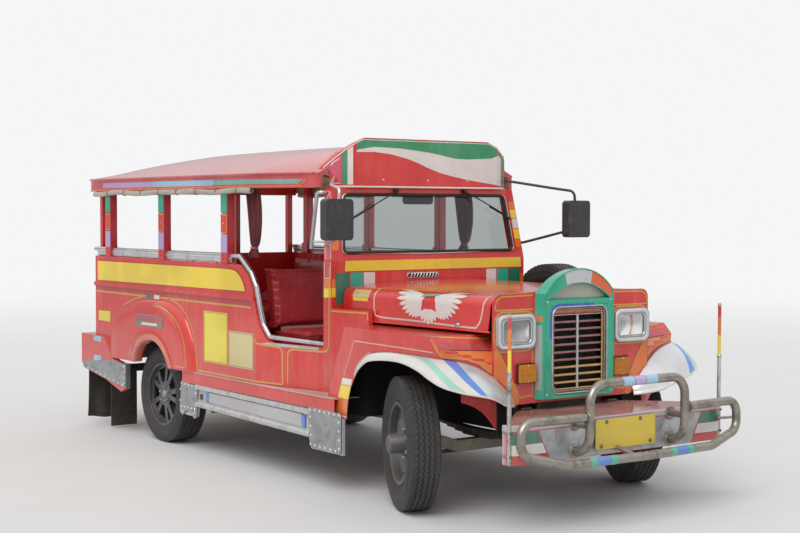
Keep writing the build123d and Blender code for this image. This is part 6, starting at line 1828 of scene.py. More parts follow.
class JEEPNEY_OT_flares(bpy.types.Operator):
    """Builds the smooth front flares with their rolled lips and slanted stripes."""

    bl_idname = "jeepney.flares"
    bl_label = "Front flares"

    def execute(self, context):
        fender_y = -0.920
        # columns: seat x, y, z and lip x, y, z of the right-hand flare, from its tail to the nose
        rows = ((1.128, fender_y + 0.001, 0.742, 1.134, fender_y - 0.003, 0.728),
                (1.160, fender_y + 0.001, 0.796, 1.170, fender_y - 0.006, 0.774),
                (1.220, fender_y + 0.001, 0.846, 1.230, fender_y - 0.009, 0.818),
                (1.300, fender_y + 0.001, 0.884, 1.310, fender_y - 0.013, 0.850),
                (1.470, fender_y + 0.001, 0.906, 1.480, fender_y - 0.020, 0.868),
                (1.640, fender_y + 0.001, 0.908, 1.650, fender_y - 0.032, 0.868),
                (1.810, fender_y + 0.001, 0.908, 1.845, fender_y - 0.068, 0.844),
                (1.930, fender_y + 0.002, 0.906, 1.985, fender_y - 0.094, 0.810),
                (1.956, fender_y + 0.060, 0.898, 2.085, fender_y - 0.076, 0.774),
                (1.984, fender_y + 0.150, 0.878, 2.145, fender_y + 0.020, 0.740),
                (2.008, fender_y + 0.230, 0.850, 2.185, fender_y + 0.161, 0.710),
                (2.030, fender_y + 0.310, 0.802, 2.172, fender_y + 0.248, 0.680),
                (2.043, fender_y + 0.385, 0.738, 2.150, fender_y + 0.315, 0.652),
                (2.043, -0.490, 0.690, 2.100, -0.510, 0.634), (2.043, -0.474, 0.672, 2.066, -0.468, 0.628))
        seats, lips = [], []
        for i in range(len(rows) - 1):
            near = [rows[min(max(i + k, 0), len(rows) - 1)] for k in (-1, 0, 1, 2)]
            for j in range(8):
                t = j / 8
                for first, path in ((0, seats), (3, lips)):
                    a, b, c, d = (Vector(r[first:first + 3]) for r in near)
                    path.append(0.5 * ((2 * b) + (c - a) * t + (2 * a - 5 * b + 4 * c - d) * t * t
                                       + (3 * b - a - 3 * c + d) * t ** 3))
        seats.append(Vector(rows[-1][:3]))
        lips.append(Vector(rows[-1][3:]))
        white, mint, blue = paint("white"), paint("pale_mint"), paint("bright_blue")
        silver = enamel("Flare silver", rgb("DADDE0"), fade=0.1, dust=0.12, wear=0.2, gloss=0.26, metallic=0.25)
        # Near-black for the flare's underside: painted shade under the rolled lip
        dark = enamel("Underseal", rgb("141313"), fade=0.2, dust=0.3, wear=0.2, gloss=0.8)
        # stripes: place on the seat curve, place on the lip curve, columns, finish
        near_side = ((0.0, 0.0, 0, white), (4.30, 8.42, 60, white), (6.03, 9.11, 12, mint), (7.56, 9.67, 12, white),
                     (8.49, 9.98, 12, blue), (14.0, 14.0, 60, silver))
        far_side = ((0.0, 0.0, 0, white), (6.30, 8.10, 50, white), (6.85, 8.80, 10, mint), (7.15, 9.35, 12, blue),
                    (14.0, 14.0, 80, silver))

        def curve(path, place):
            place = min(max(place * 8, 0.0), len(path) - 1.001)
            return path[int(place)].lerp(path[int(place) + 1], place - int(place))

        def over(s, t):
            """A point of the flare's upper face at place s along it and share t across it."""
            a, b = curve(seats, s), curve(lips, s)
            across = b - a
            out = Vector((across.x, across.y, 0))
            out = out.normalized() if out.length > 1e-6 else Vector((0, -1, 0))
            lift = (out * 0.5 + Vector((0, 0, 1))).normalized()
            return a + across * t + lift * (min(0.020, across.length * 0.16) * math.sin(math.pi * t)), out

        for sign, stripes in ((-1, near_side), (1, far_side)):
            flare, columns = Mesh(), []
            for before, after in zip(stripes, stripes[1:]):
                for k in range(after[2]):
                    share = k / after[2]
                    columns.append((before[0] + (after[0] - before[0]) * share,
                                    before[1] + (after[1] - before[1]) * share,
                                    after[3]))
            columns.append((14.0, 14.0, silver))
            net = []
            for s0, s1, _ in columns:
                row = [over(s0 + (s1 - s0) * t, t)[0] for t in (0.0, 0.12, 0.25, 0.4, 0.55, 0.7, 0.85, 1.0)]
                b, out = over(s1, 1.0)
                size = 0.0065
                row += [b + out * size * 0.8 + Vector((0, 0, -size * 0.2)), b + out * size + Vector((0, 0, -size)),
                        b + out * size * 0.3 + Vector((0, 0, -size * 1.8)),
                        b - out * size * 0.6 + Vector((0, 0, -size * 1.5))]
                row += [over(s0 + (s1 - s0) * t, t)[0] + Vector((0, 0, -0.009)) for t in (0.8, 0.5, 0.2)]
                row.append(over(s0, 0.0)[0] + Vector((0, 0, -0.012)))
                net.append([Vector((p.x, p.y * -sign, p.z)) for p in row])
            for i in range(len(net) - 1):
                for k in range(len(net[0]) - 1):
                    quad = (net[i][k], net[i][k + 1], net[i + 1][k + 1], net[i + 1][k])
                    finish = columns[i][2] if k < 7 else (white if k < 11 else dark)
                    flare.add(quad, [(0, 1, 2, 3) if sign < 0 else (3, 2, 1, 0)], finish)
            flare.cap(net[0], white, sign < 0)
            flare.cap(net[-1], silver, sign > 0)
            name = "right" if sign < 0 else "left"
            item = flare.piece("front_flare_" + name, slot="painted_trim", smooth=60, merge=0.0002)
            if sign < 0:
                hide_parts("fender_flares")
            # A double line where the flare meets the fender
            outline = Mesh()
            path = [Vector((p.x, p.y * -sign, p.z)) + Vector((0.004, sign * 0.003, 0.004)) for p in seats[24:-2]]
            outline.tube(path, 0.0035, paint("deep_red"), 6)
            outline.tube([Vector((p.x, p.y * -sign, p.z)) + Vector((0, sign * 0.002, 0.004)) for p in seats[:26]],
                         0.003,
                         paint("cream"), 6)
            outline.piece("flare_line_" + name, slot="painted_trim", smooth=60)
        return {"FINISHED"}


class JEEPNEY_OT_front_bumper(bpy.types.Operator):
    """Covers the bumper with its worn deck, striped face and blank plate."""

    bl_idname = "jeepney.front_bumper"
    bl_label = "Front bumper"

    def execute(self, context):
        deck = enamel("Deck red", rgb("9A4644"), fade=1.0, dust=0.35, wear=1.0, gloss=0.42, undercoat="8A6A5E")
        chassis = shared("Chassis black")
        silver = metal("Bumper sheet", "C9CBCE", rust=0.04, dust=0.16, shine=0.3, stains=0.6)
        lip = enamel("Lip lilac", rgb("C6B4BE"), fade=0.5, dust=0.3, wear=0.4)
        face_x, half, corner, low, high = 2.452, 0.824, 0.040, 0.371, 0.582

        # The beam's folded face, its short returns, and the deck that narrows back to the chassis rails
        beam = Mesh()
        front = rounded_path([(2.380, -half, 0), (face_x - corner, -half, 0), (face_x, -half + corner, 0),
                              (face_x, half - corner, 0), (face_x - corner, half, 0), (2.380, half, 0)], 0.024)
        rear = [(2.384, 0.792), (2.040, 0.440), (1.990, 0.400), (1.990, -0.400), (2.040, -0.440), (2.384, -0.792)]

        def ring(inset, z):
            """The front path drawn in by an inset, towards the beam's middle."""
            row = []
            for i, point in enumerate(front):
                along = (front[min(i + 1, len(front) - 1)] - front[max(i - 1, 0)]).normalized()
                row.append(point + Vector((-along.y, along.x, 0)) * inset + Vector((0, 0, z)))
            return row

        rows = [ring(0.030, low + 0.004), ring(0.004, low), ring(0.0, low + 0.004), ring(0.0, high - 0.030)]
        beam.grid(rows, paint("body_red"))
        beam.grid([ring(0.0, high - 0.030), ring(-0.0025, high - 0.028), ring(-0.0025, high - 0.002),
                   ring(0.002, high + 0.003),
                   ring(0.012, high + 0.0035)], lip)
        beam.grid([r[::-1] for r in (ring(0.030, low + 0.004), ring(0.006, low + 0.006), ring(0.006, high - 0.004))],
                  chassis)
        top = ring(0.012, high + 0.0035) + [Vector((u, v, high + 0.0035)) for u, v in rear]
        beam.cap(top, deck)
        under = ring(0.006, high - 0.004) + [Vector((u, v, high - 0.004)) for u, v in rear]
        beam.cap(under, chassis, True)
        back = [[Vector((u, v, high + 0.0035)) for u, v in rear], [Vector((u, v, high - 0.004)) for u, v in rear]]
        beam.grid([back[0][::-1], back[1][::-1]], lip)
        for sign in (-1, 1):
            y0, y1 = sorted((sign * 0.335, sign * 0.415))
            beam.box((1.985, y0, 0.412), (face_x - 0.006, y1, high - 0.005), chassis, 0.006)
            for u in (2.10, 2.28):
                beam.bolt((u, sign * 0.375, high + 0.003), (0, 0, 1), 0.010, iron_bolt())
        item = beam.piece("bumper_beam", slot="painted_trim", smooth=35)
        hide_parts("front_bumper")

        # The face: a plated middle and slanted green, white and red ends
        skin, coat = Skin(item), Mesh()
        skin.field(coat, from_front, [(-0.545, 0.376), (0.545, 0.376), (0.630, 0.548), (-0.630, 0.548)], silver,
                   lift=0.001)
        for sign in (-1, 1):
            def slant(v):
                return 0.553 + 0.085 * (v - 0.376) / 0.172

            for v0, v1, key in ((0.482, 0.546, "dark_teal"), (0.424, 0.480, "white"), (0.376, 0.422, "deep_red")):
                skin.field(coat, from_front, [(sign * slant(v0), v0), (sign * 0.804, v0), (sign * 0.804, v1),
                                              (sign * slant(v1), v1)], paint(key), pitch=0.012, lift=0.001)
        for sign in (-1, 1):
            skin.field(coat, from_side(sign), [(2.382, 0.376), (2.408, 0.376), (2.408, 0.550), (2.382, 0.550)], lip,
                       lift=0.001)
        coat.piece("bumper_paint", slot="painted_trim", smooth=0)

        # The blank plate on two straps, held by four bolts
        plate, yellow = Mesh(), enamel("Plate yellow", rgb("E6C61C"), fade=0.3, dust=0.2, wear=0.3, gloss=0.35)
        dark = shared("Black plastic")
        ring = ring_outline(0.0, PLATE_Z, 0.466, 0.168, 0.016)
        plate.grid([[(2.4705, u, v) for u, v in ring], [(2.4720, u, v) for u, v in ring],
                    [(2.4735, u * 0.985, PLATE_Z + (v - PLATE_Z) * 0.965) for u, v in ring],
                    [(2.4728, u * 0.955, PLATE_Z + (v - PLATE_Z) * 0.90) for u, v in ring]], yellow, around=True)
        plate.cap([(2.4728, u * 0.955, PLATE_Z + (v - PLATE_Z) * 0.90) for u, v in ring], yellow)
        plate.cap([(2.4705, u, v) for u, v in ring], silver, True)
        for u in (-0.150, 0.150):
            plate.box((2.4525, u - 0.015, 0.430), (2.4705, u + 0.015, 0.568), dark, 0.003)
        for u, v in ((-0.150, 0.556), (0.110, 0.556), (-0.190, 0.424), (0.190, 0.424)):
            plate.bolt((2.4735, u, v), (1, 0, 0), 0.0075, iron_bolt())
        plate.piece("front_plate", slot="painted_trim", smooth=40)
        return {"FINISHED"}


def iron_bolt():
    return metal("Bolt steel", "8E8880", rust=0.5, dust=0.3, shine=0.4)


class JEEPNEY_OT_bull_bar(bpy.types.Operator):
    """Adds the painted bands, weld beads and foot plates of the bull bar, and both marker poles."""

    bl_idname = "jeepney.bull_bar"
    bl_label = "Bull bar and poles"

    def execute(self, context):
        radius, hoop_x, hoop_half, top_z = 0.030, 2.568, 0.368, 0.786
        steel = shared("Worn tube steel")
        bar, skin = Mesh(), Skin("bull_bar")

        def sleeve(points, key, grow=0.0012):
            """A painted band wrapped round the tube by rays from all sides."""
            rows = []
            for place, along in points:
                side = along.orthogonal().normalized()
                up = along.cross(side)
                row = []
                for k in range(20):
                    a = 2 * math.pi * k / 20
                    away = side * math.cos(a) + up * math.sin(a)
                    spot = skin.tree.ray_cast(place + away * 0.042, -away, 0.02)[0]
                    row.append((spot if spot else place + away * radius) + away * grow)
                rows.append(row)
            bar.grid(rows, paint(key), around=True)

        def cross_tube(y0, y1, key):
            points = []
            for k in range(5):
                y = y0 + (y1 - y0) * k / 4
                points.append((Vector((hoop_x, y, top_z)), Vector((0, 1, 0))))
            sleeve(points, key)

        for y0, y1, key in ((-0.137, -0.052, "light_blue"), (-0.048, 0.034, "lavender"),
                            (0.038, 0.127, "light_blue")):
            cross_tube(y0, y1, key)
        # The lower tube is bowed: it runs back by this much for each metre off the middle
        low_x, low_z, bow = 2.625, 0.375, 0.0446

        def low_tube(y0, y1, key):
            points = []
            for k in range(5):
                y = y0 + (y1 - y0) * k / 4
                points.append((Vector((low_x - bow * abs(y), y, low_z)), Vector((-bow * math.copysign(1, y), 1, 0))))
            sleeve(points, key)

        for start in (-0.415, 0.189):
            for y0, y1, key in ((0.0, 0.052, "mint"), (0.054, 0.140, "bright_blue"), (0.142, 0.192, "mint")):
                low_tube(start + y0, start + y1, key)
        # Domed cap plates where the stays meet the hoop, weld beads and the ring's inner ends
        for sign in (-1, 1):
            for z in (0.412, 0.564):
                bar.turned([(0.0, radius + 0.010), (0.004, radius + 0.012), (0.008, radius + 0.009), (0.009, radius)],
                           (2.4525, sign * hoop_half, z), (1, 0, 0), steel, 28)
            weld_y, weld_z = hoop_half + radius * 0.9 + 0.002, 0.612
            ring = []
            for k in range(18):
                a = 2 * math.pi * k / 18
                reach = radius + 0.001 + 0.0012 * math.sin(9 * a)
                ring.append((hoop_x + reach * math.cos(a), sign * weld_y, weld_z + reach * math.sin(a)))
            bar.tube(ring, 0.004, steel, 6, closed=True)
        bar.piece("bull_bar_bands", slot="painted_trim", smooth=60)

        # Marker poles: red tip, orange and yellow runs on a worn painted tube with a collar
        poles = Mesh()
        worn = metal("Pole steel", "D2D2CF", rust=0.9, dust=0.3, shine=0.4, stains=1.0)
        tip = enamel("Pole red", rgb("D8302C"), dust=0.1)
        for sign in (-1, 1):
            pole_x, pole_y = 2.425, 0.815
            centre = Vector((pole_x, sign * pole_y, 0))

            def run(z0, z1, r0, r1, finish):
                poles.turned([(z0, 0.001), (z0, r0), (z1, r1), (z1, 0.001)], centre, (0, 0, 1), finish, 20)

            run(0.376, 0.850, 0.0125, 0.0120, worn if sign < 0 else shared("Stainless strip"))
            run(0.850, 0.866, 0.0120, 0.0150, worn)
            run(0.866, 0.872, 0.0150, 0.0110, worn)
            run(0.872, 0.984, 0.0102, 0.0102, paint("yellow"))
            run(0.984, 1.096, 0.0101, 0.0101, paint("orange"))
            run(1.096, 1.158, 0.0100, 0.0100, tip)
            run(1.158, 1.176, 0.0112, 0.0090, worn)
            for z in (0.420, 0.545):
                y0, y1 = sorted((sign * 0.802, sign * 0.826))
                poles.box((2.384, y0, z - 0.010), (2.432, y1, z + 0.010), steel, 0.003)
                poles.bolt((pole_x + 0.0125, sign * pole_y, z), (1, 0, 0), 0.006, iron_bolt())
        item = poles.piece("marker_pole_skins", slot="painted_trim", smooth=40)
        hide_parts("marker_poles")
        return {"FINISHED"}


class JEEPNEY_OT_tyres(bpy.types.Operator):
    """Builds the five ribbed tyres with grooves, shoulder notches and rings on their walls."""

    bl_idname = "jeepney.tyres"
    bl_label = "Tyres"

    def execute(self, context):
        size = context.scene.jeepney_tyre
        rubber = shared("Tyre rubber")
        # columns: node, radius, width, radius of the bead, body
        wheels = (("front_tyre_right", 0.386, 0.190, 0.240, "front_wheel_right"),
                  ("front_tyre_left", 0.386, 0.190, 0.240, "front_wheel_left"),
                  ("rear_tyre_right", 0.354, 0.225, 0.215, "rear_wheel_right"),
                  ("rear_tyre_left", 0.354, 0.225, 0.215, "rear_wheel_left"),
                  ("spare_tyre", 0.386, 0.190, 0.240, "body"))
        for node, radius, width, bead, body in wheels:
            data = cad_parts[node].data
            points = [v.co for v in data.vertices]
            low = Vector([min(p[i] for p in points) for i in range(3)])
            high = Vector([max(p[i] for p in points) for i in range(3)])
            centre = (low + high) / 2
            # The axle's direction is the thin way through the point cloud
            spread = [[sum((p[i] - centre[i]) * (p[j] - centre[j]) for p in points) for j in range(3)]
                      for i in range(3)]
            best, axis = None, Vector((0, 1, 0))
            for k in range(181):
                a = math.radians(k)
                trial = Vector((math.cos(a), math.sin(a), 0))
                amount = sum(trial[i] * spread[i][j] * trial[j] for i in range(3) for j in range(3))
                if best is None or amount < best:
                    best, axis = amount, trial
            inner_r = min((p - centre - axis * (p - centre).dot(axis)).length for p in points)
            tyre = Mesh()
            side = Vector((0, 0, 1))
            up = axis.cross(side)
            tread, wall = width * 0.40, width * 0.5
            steps = size.blocks * 4
            ribs = []
            pitch = 2 * tread / TREAD_RIBS
            for k in range(TREAD_RIBS):
                start = -tread + pitch * k
                ribs.append((start + (size.groove / 2 if k else 0),
                             start + pitch - (size.groove / 2 if k < TREAD_RIBS - 1 else 0)))
            seat_half = width * 0.36

            def wall_points(sign):
                """From the bead up the sidewall to the tread's edge: (across, radius)."""
                rise = radius - 0.022 - bead
                return [(sign * seat_half * 0.86, inner_r + 0.001), (sign * seat_half, bead + 0.001),
                        (sign * (seat_half + 0.006), bead + 0.010),
                        (sign * (seat_half + 0.010), bead + rise * 0.16), (sign * (wall - 0.006), bead + rise * 0.30),
                        (sign * (wall - 0.0015), bead + rise * 0.42), (sign * (wall + 0.0005), bead + rise * 0.50),
                        (sign * wall, bead + rise * 0.60), (sign * (wall - 0.003), bead + rise * 0.72),
                        (sign * (wall - 0.0015), bead + rise * 0.76), (sign * (wall - 0.005), bead + rise * 0.86)]

            left = wall_points(-1)
            right = wall_points(1)
            rows = []
            for i in range(steps):
                turn = 2 * math.pi * i / steps
                away = side * math.cos(turn) + up * math.sin(turn)
                phase = i % 4
                notch = 0.006 if phase == 0 else 0.0
                zig = size.zigzag * (1 if phase in (0, 1) else -1)
                profile = [(a, r) for a, r in left]
                profile.append((-(wall - 0.007), radius - 0.030 - notch))
                profile.append((-(tread + 0.006), radius - 0.010 - notch))
                for k, (a, b) in enumerate(ribs):
                    crown = 0.002 * ((a + b) / 2 / tread) ** 2
                    shift_a = zig if k else 0.0
                    shift_b = zig if k < TREAD_RIBS - 1 else 0.0
                    first_r = radius - crown - (notch if k == 0 else 0)
                    last_r = radius - crown - (notch if k == TREAD_RIBS - 1 else 0)
                    if k:
                        profile.append((a + shift_a, radius - size.depth))
                    profile.append((a + shift_a, first_r))
                    profile.append((b + shift_b, last_r))
                    if k < TREAD_RIBS - 1:
                        profile.append((b + shift_b, radius - size.depth))
                profile.append((tread + 0.006, radius - 0.010 - notch))
                profile.append((wall - 0.007, radius - 0.030 - notch))
                profile += [(a, r) for a, r in right[::-1]]
                rows.append([centre + axis * a + away * r for a, r in profile])
            tyre.grid(rows, rubber, along=True)
            # Fine raised rings on each wall
            for sign in (-1, 1):
                for share in (0.34, 0.80):
                    ring_r = bead + (radius - 0.022 - bead) * share
                    across = sign * (wall - (0.0045 if share < 0.5 else 0.0035))
                    ring = [centre + axis * across + (side * math.cos(a) + up * math.sin(a)) * ring_r
                            for a in (2 * math.pi * k / RING_POINTS for k in range(RING_POINTS))]
                    tyre.tube(ring, 0.0022, rubber, 6, closed=True)
            item = tyre.piece(node + "_tread", body=body, slot="tyre", smooth=38)
            if signed_volume(item.data) < 0:
                item.data.flip_normals()
            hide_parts(node)
        return {"FINISHED"}


def signed_volume(data):
    """The volume inside a mesh, negative when its faces look inwards."""
    total = 0.0
    for polygon in data.polygons:
        first = data.vertices[polygon.vertices[0]].co
        for i in range(1, len(polygon.vertices) - 1):
            total += first.dot(data.vertices[polygon.vertices[i]].co.cross(data.vertices[polygon.vertices[i + 1]].co))
    return total / 6


class JEEPNEY_OT_posts(bpy.types.Operator):
    """Builds the painted faces of the posts between the window openings, and the plated cappings under the window
    rails.
    """

    bl_idname = "jeepney.posts"
    bl_label = "Posts and rails"

    def execute(self, context):
        red, crimson = paint("body_red"), enamel("Post crimson", rgb("C92C3E"), fade=0.2, dust=0.1, wear=0.3)
        steel = shared("Stainless strip")
        dark = shared("Black plastic")
        posts = Mesh()
        box = [Vector(p.co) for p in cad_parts["roof_posts"].data.vertices]
        outer = max(abs(p.y) for p in box) - 0.0004
        for x in (-2.238, -1.336, -0.408):
            near = [p for p in box if abs(p.x - x) < 0.09 and p.y < 0]
            x0, x1 = min(p.x for p in near), max(p.x for p in near)
            y0 = -outer
            low, high = min(p.z for p in near), max(p.z for p in near)
            for v0, v1, finish in ((1.700, high - 0.004, paint("teal")), (1.560, 1.696, paint("orange")),
                                   (1.430, 1.556, paint("lavender")), (low + 0.002, 1.424, red)):
                posts.box((x0 + 0.002, y0 - 0.0025, v0), (x1 - 0.002, y0 + 0.004, v1), finish, 0.002)
            posts.box((x0 + 0.010, y0 - 0.0035, 1.572), (x1 - 0.010, y0 + 0.002, 1.684), red, 0.002)
            # The front flank of each post is crimson
            inner = max(p.y for p in near)
            posts.box((x1 - 0.001, y0 + 0.002, low + 0.020), (x1 + 0.002, inner - 0.002, high - 0.006), crimson,
                      0.001)
            for v in (low + 0.030, low + 0.058):
                posts.dome((0.5 * (x0 + x1), y0 - 0.0025, v), (0, -1, 0), 0.007, dark, 0.4)
            posts.dome((0.5 * (x0 + x1), y0 - 0.0025, 1.630), (0, -1, 0), 0.006, steel, 0.6)
        posts.mirrored()
        posts.piece("post_faces", slot="painted_trim", smooth=30)

        # A worn plated capping that lies along the wall's top edge, under the window rail
        capping, rail = Mesh(), Skin("side_rails")
        found = rail.hit(from_side(-1), -1.80, 1.411, 0.0)
        y = found[0].y if found else -0.890
        capping.tube([(-2.452, y + 0.014, 1.392), (-0.330, y + 0.014, 1.392)], 0.017, steel, 14)
        capping.tube([(-2.452, y + 0.012, 1.372), (-0.330, y + 0.012, 1.372)], 0.012, steel, 12)
        capping.mirrored()
        capping.piece("rail_cappings", slot="chrome", smooth=60)
        return {"FINISHED"}


class JEEPNEY_OT_rolled_tarps(bpy.types.Operator):
    """Rolls the canvas side curtains up under the roof edge and ties them."""

    bl_idname = "jeepney.rolled_tarps"
    bl_label = "Rolled tarps"

    def execute(self, context):
        cut = context.scene.jeepney_cloth
        canvas, tie = shared("Tarp cloth"), shared("Tie tape")
        x0, x1, centre_z = -2.440, -0.014, 1.846
        turns, first, last = cut.roll_turns, 0.0040, 0.0185
        seeded = random.Random(41)
        for sign in (-1, 1):
            y = sign * 0.949
            steps, length = int(turns * 22), 60
            waves = [(seeded.uniform(3, 11), seeded.uniform(0, 6.3),
                      seeded.uniform(0.0006, 0.0016)) for _ in range(5)]
            rows = []
            for i in range(length + 1):
                x = x0 + (x1 - x0) * i / length
                sag = sum(size * math.sin(rate * x + shift) for rate, shift, size in waves)
                pinch = 1.0 - 0.16 * max(0.0, 1 - abs(((x - x0 - 0.11) % cut.tie_pitch) - cut.tie_pitch / 2) / 0.03)
                row = []
                for k in range(steps + 1):
                    share = k / steps
                    turn = 2 * math.pi * turns * share
                    r = (first + (last - first) * share) * pinch * (1 + 0.05 * math.sin(3 * turn + 9 * x))
                    row.append((x, y + sign * r * math.cos(turn), centre_z + sag * 2 + r * math.sin(turn) * 1.1))
                rows.append(row)
            roll = Mesh()
            roll.grid(rows, canvas)
            name = "rolled_tarp_" + ("right" if sign < 0 else "left")
            item = roll.piece(name, slot="canvas", smooth=180)
            if sign < 0:
                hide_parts("rolled_curtains")
            ties = Mesh()
            count = int((x1 - x0 - 0.2) / cut.tie_pitch) + 1
            for k in range(count + 1):
                x = x0 + 0.11 + cut.tie_pitch / 2 + cut.tie_pitch * k
                if x > x1 - 0.03:
                    continue
                ring = []
                for j in range(20):
                    a = 2 * math.pi * j / 20
                    ring.append((x + 0.002 * math.sin(a), y + 0.0186 * math.cos(a), centre_z + 0.0196 * math.sin(a)))
                ties.tube(ring, 0.0035, tie, 6, closed=True)
                ties.tube([(x, y + sign * 0.008, centre_z + 0.016), (x, y - sign * 0.004, 1.862)], 0.0032, tie, 6)
            ties.piece("tarp_ties_" + ("right" if sign < 0 else "left"), slot="canvas", smooth=60)
        return {"FINISHED"}


class JEEPNEY_OT_tied_curtains(bpy.types.Operator):
    """Hangs the gathered maroon curtains at the front posts, drawn in by a tie."""

    bl_idname = "jeepney.tied_curtains"
    bl_label = "Tied curtains"

    def execute(self, context):
        cut = context.scene.jeepney_cloth
        maroon = shared("Curtain cloth")
        top, foot, wide = 1.858, 1.408, cut.curtain_cut
        seeded = random.Random(7)
        for sign in (-1, 1):
            folds = [seeded.uniform(0.7, 1.35) for _ in range(11)]
            total = sum(folds)
            rows = []
            for i in range(41):
                share = i / 40
                z = top - (top - foot) * share
                # Spread at the top, gathered at the tie low down, a little open below it
                if share < 0.86:
                    span = 0.150 * (1 - (share / 0.86) ** 3) ** 0.8 + 0.046
                    depth = 0.010 + 0.010 * share
                else:
                    span = 0.046 + 0.080 * (share - 0.86) / 0.14
                    depth = 0.019
                near_tie = max(0.0, 1 - abs(share - 0.86) / 0.05)
                span *= 1 - 0.25 * near_tie
                row = []
                place = 0.0
                for k, part in enumerate(folds):
                    for j in range(10):
                        t = (place + part * j / 10) / total
                        wave = (math.sin(2 * math.pi * j / 10) * depth * (0.75 + 0.5 * math.sin(1.7 * k))
                                * (1 - 0.3 * near_tie))
                        x = -0.012 - 0.150 * share ** 1.5 + 0.060 * share - span * (t - 0.5 * share)
                        row.append((x, sign * (0.886 + wave), z + 0.004 * math.sin(5 * t + 3 * share)))
                    place += part
                rows.append(row)
            curtain = Mesh()
            curtain.grid(rows, maroon)
            name = "tied_curtain_" + ("right" if sign < 0 else "left")
            item = curtain.piece(name, slot="curtain_cloth", smooth=180)
            if sign < 0:
                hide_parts("tied_curtains")
            band = Mesh()
            z = top - (top - foot) * 0.86
            ring = [(-0.088 + 0.027 * math.cos(a), sign * (0.886 + 0.017 * math.sin(a)), z)
                    for a in (2 * math.pi * k / 24 for k in range(24))]
            band.tube(ring, 0.0055, shared("Tie tape"), 8, closed=True, squeeze=(1.0, 1.8))
            band.piece("curtain_tie_" + ("right" if sign < 0 else "left"), slot="curtain_cloth", smooth=60)
        return {"FINISHED"}


def settle(item, edge, movement, pressure):
    """Puffs a plain cushion as a sewn cover does over its foam."""
    work = item.modifiers.new("even skin", "REMESH")
    work.mode, work.voxel_size, work.use_smooth_shade = "VOXEL", edge, True
    bpy.context.view_layer.objects.active = item
    bpy.ops.object.select_all(action="DESELECT")
    item.select_set(True)
    bpy.ops.object.modifier_apply(modifier=work.name)
    start = [v.co.copy() for v in item.data.vertices]
    puff = item.modifiers.new("cover", "CLOTH")
    puff.settings.quality = 5
    puff.settings.mass = 0.3
    puff.settings.tension_stiffness = puff.settings.compression_stiffness = 12.0
    puff.settings.bending_stiffness = 0.4
    puff.settings.use_pressure = True
    puff.settings.uniform_pressure_force = pressure
    puff.settings.effector_weights.gravity = 0.0
    puff.collision_settings.use_collision = False
    puff.point_cache.frame_start, puff.point_cache.frame_end = 1, SETTLE_FRAMES
    scene = bpy.context.scene
    for number in range(1, SETTLE_FRAMES + 1):
        scene.frame_set(number)
    bpy.ops.object.modifier_apply(modifier=puff.name)
    scene.frame_set(1)
    for vertex, before in zip(item.data.vertices, start):
        moved = vertex.co - before
        if moved.length > movement:
            vertex.co = before + moved.normalized() * movement
    item.data.update()


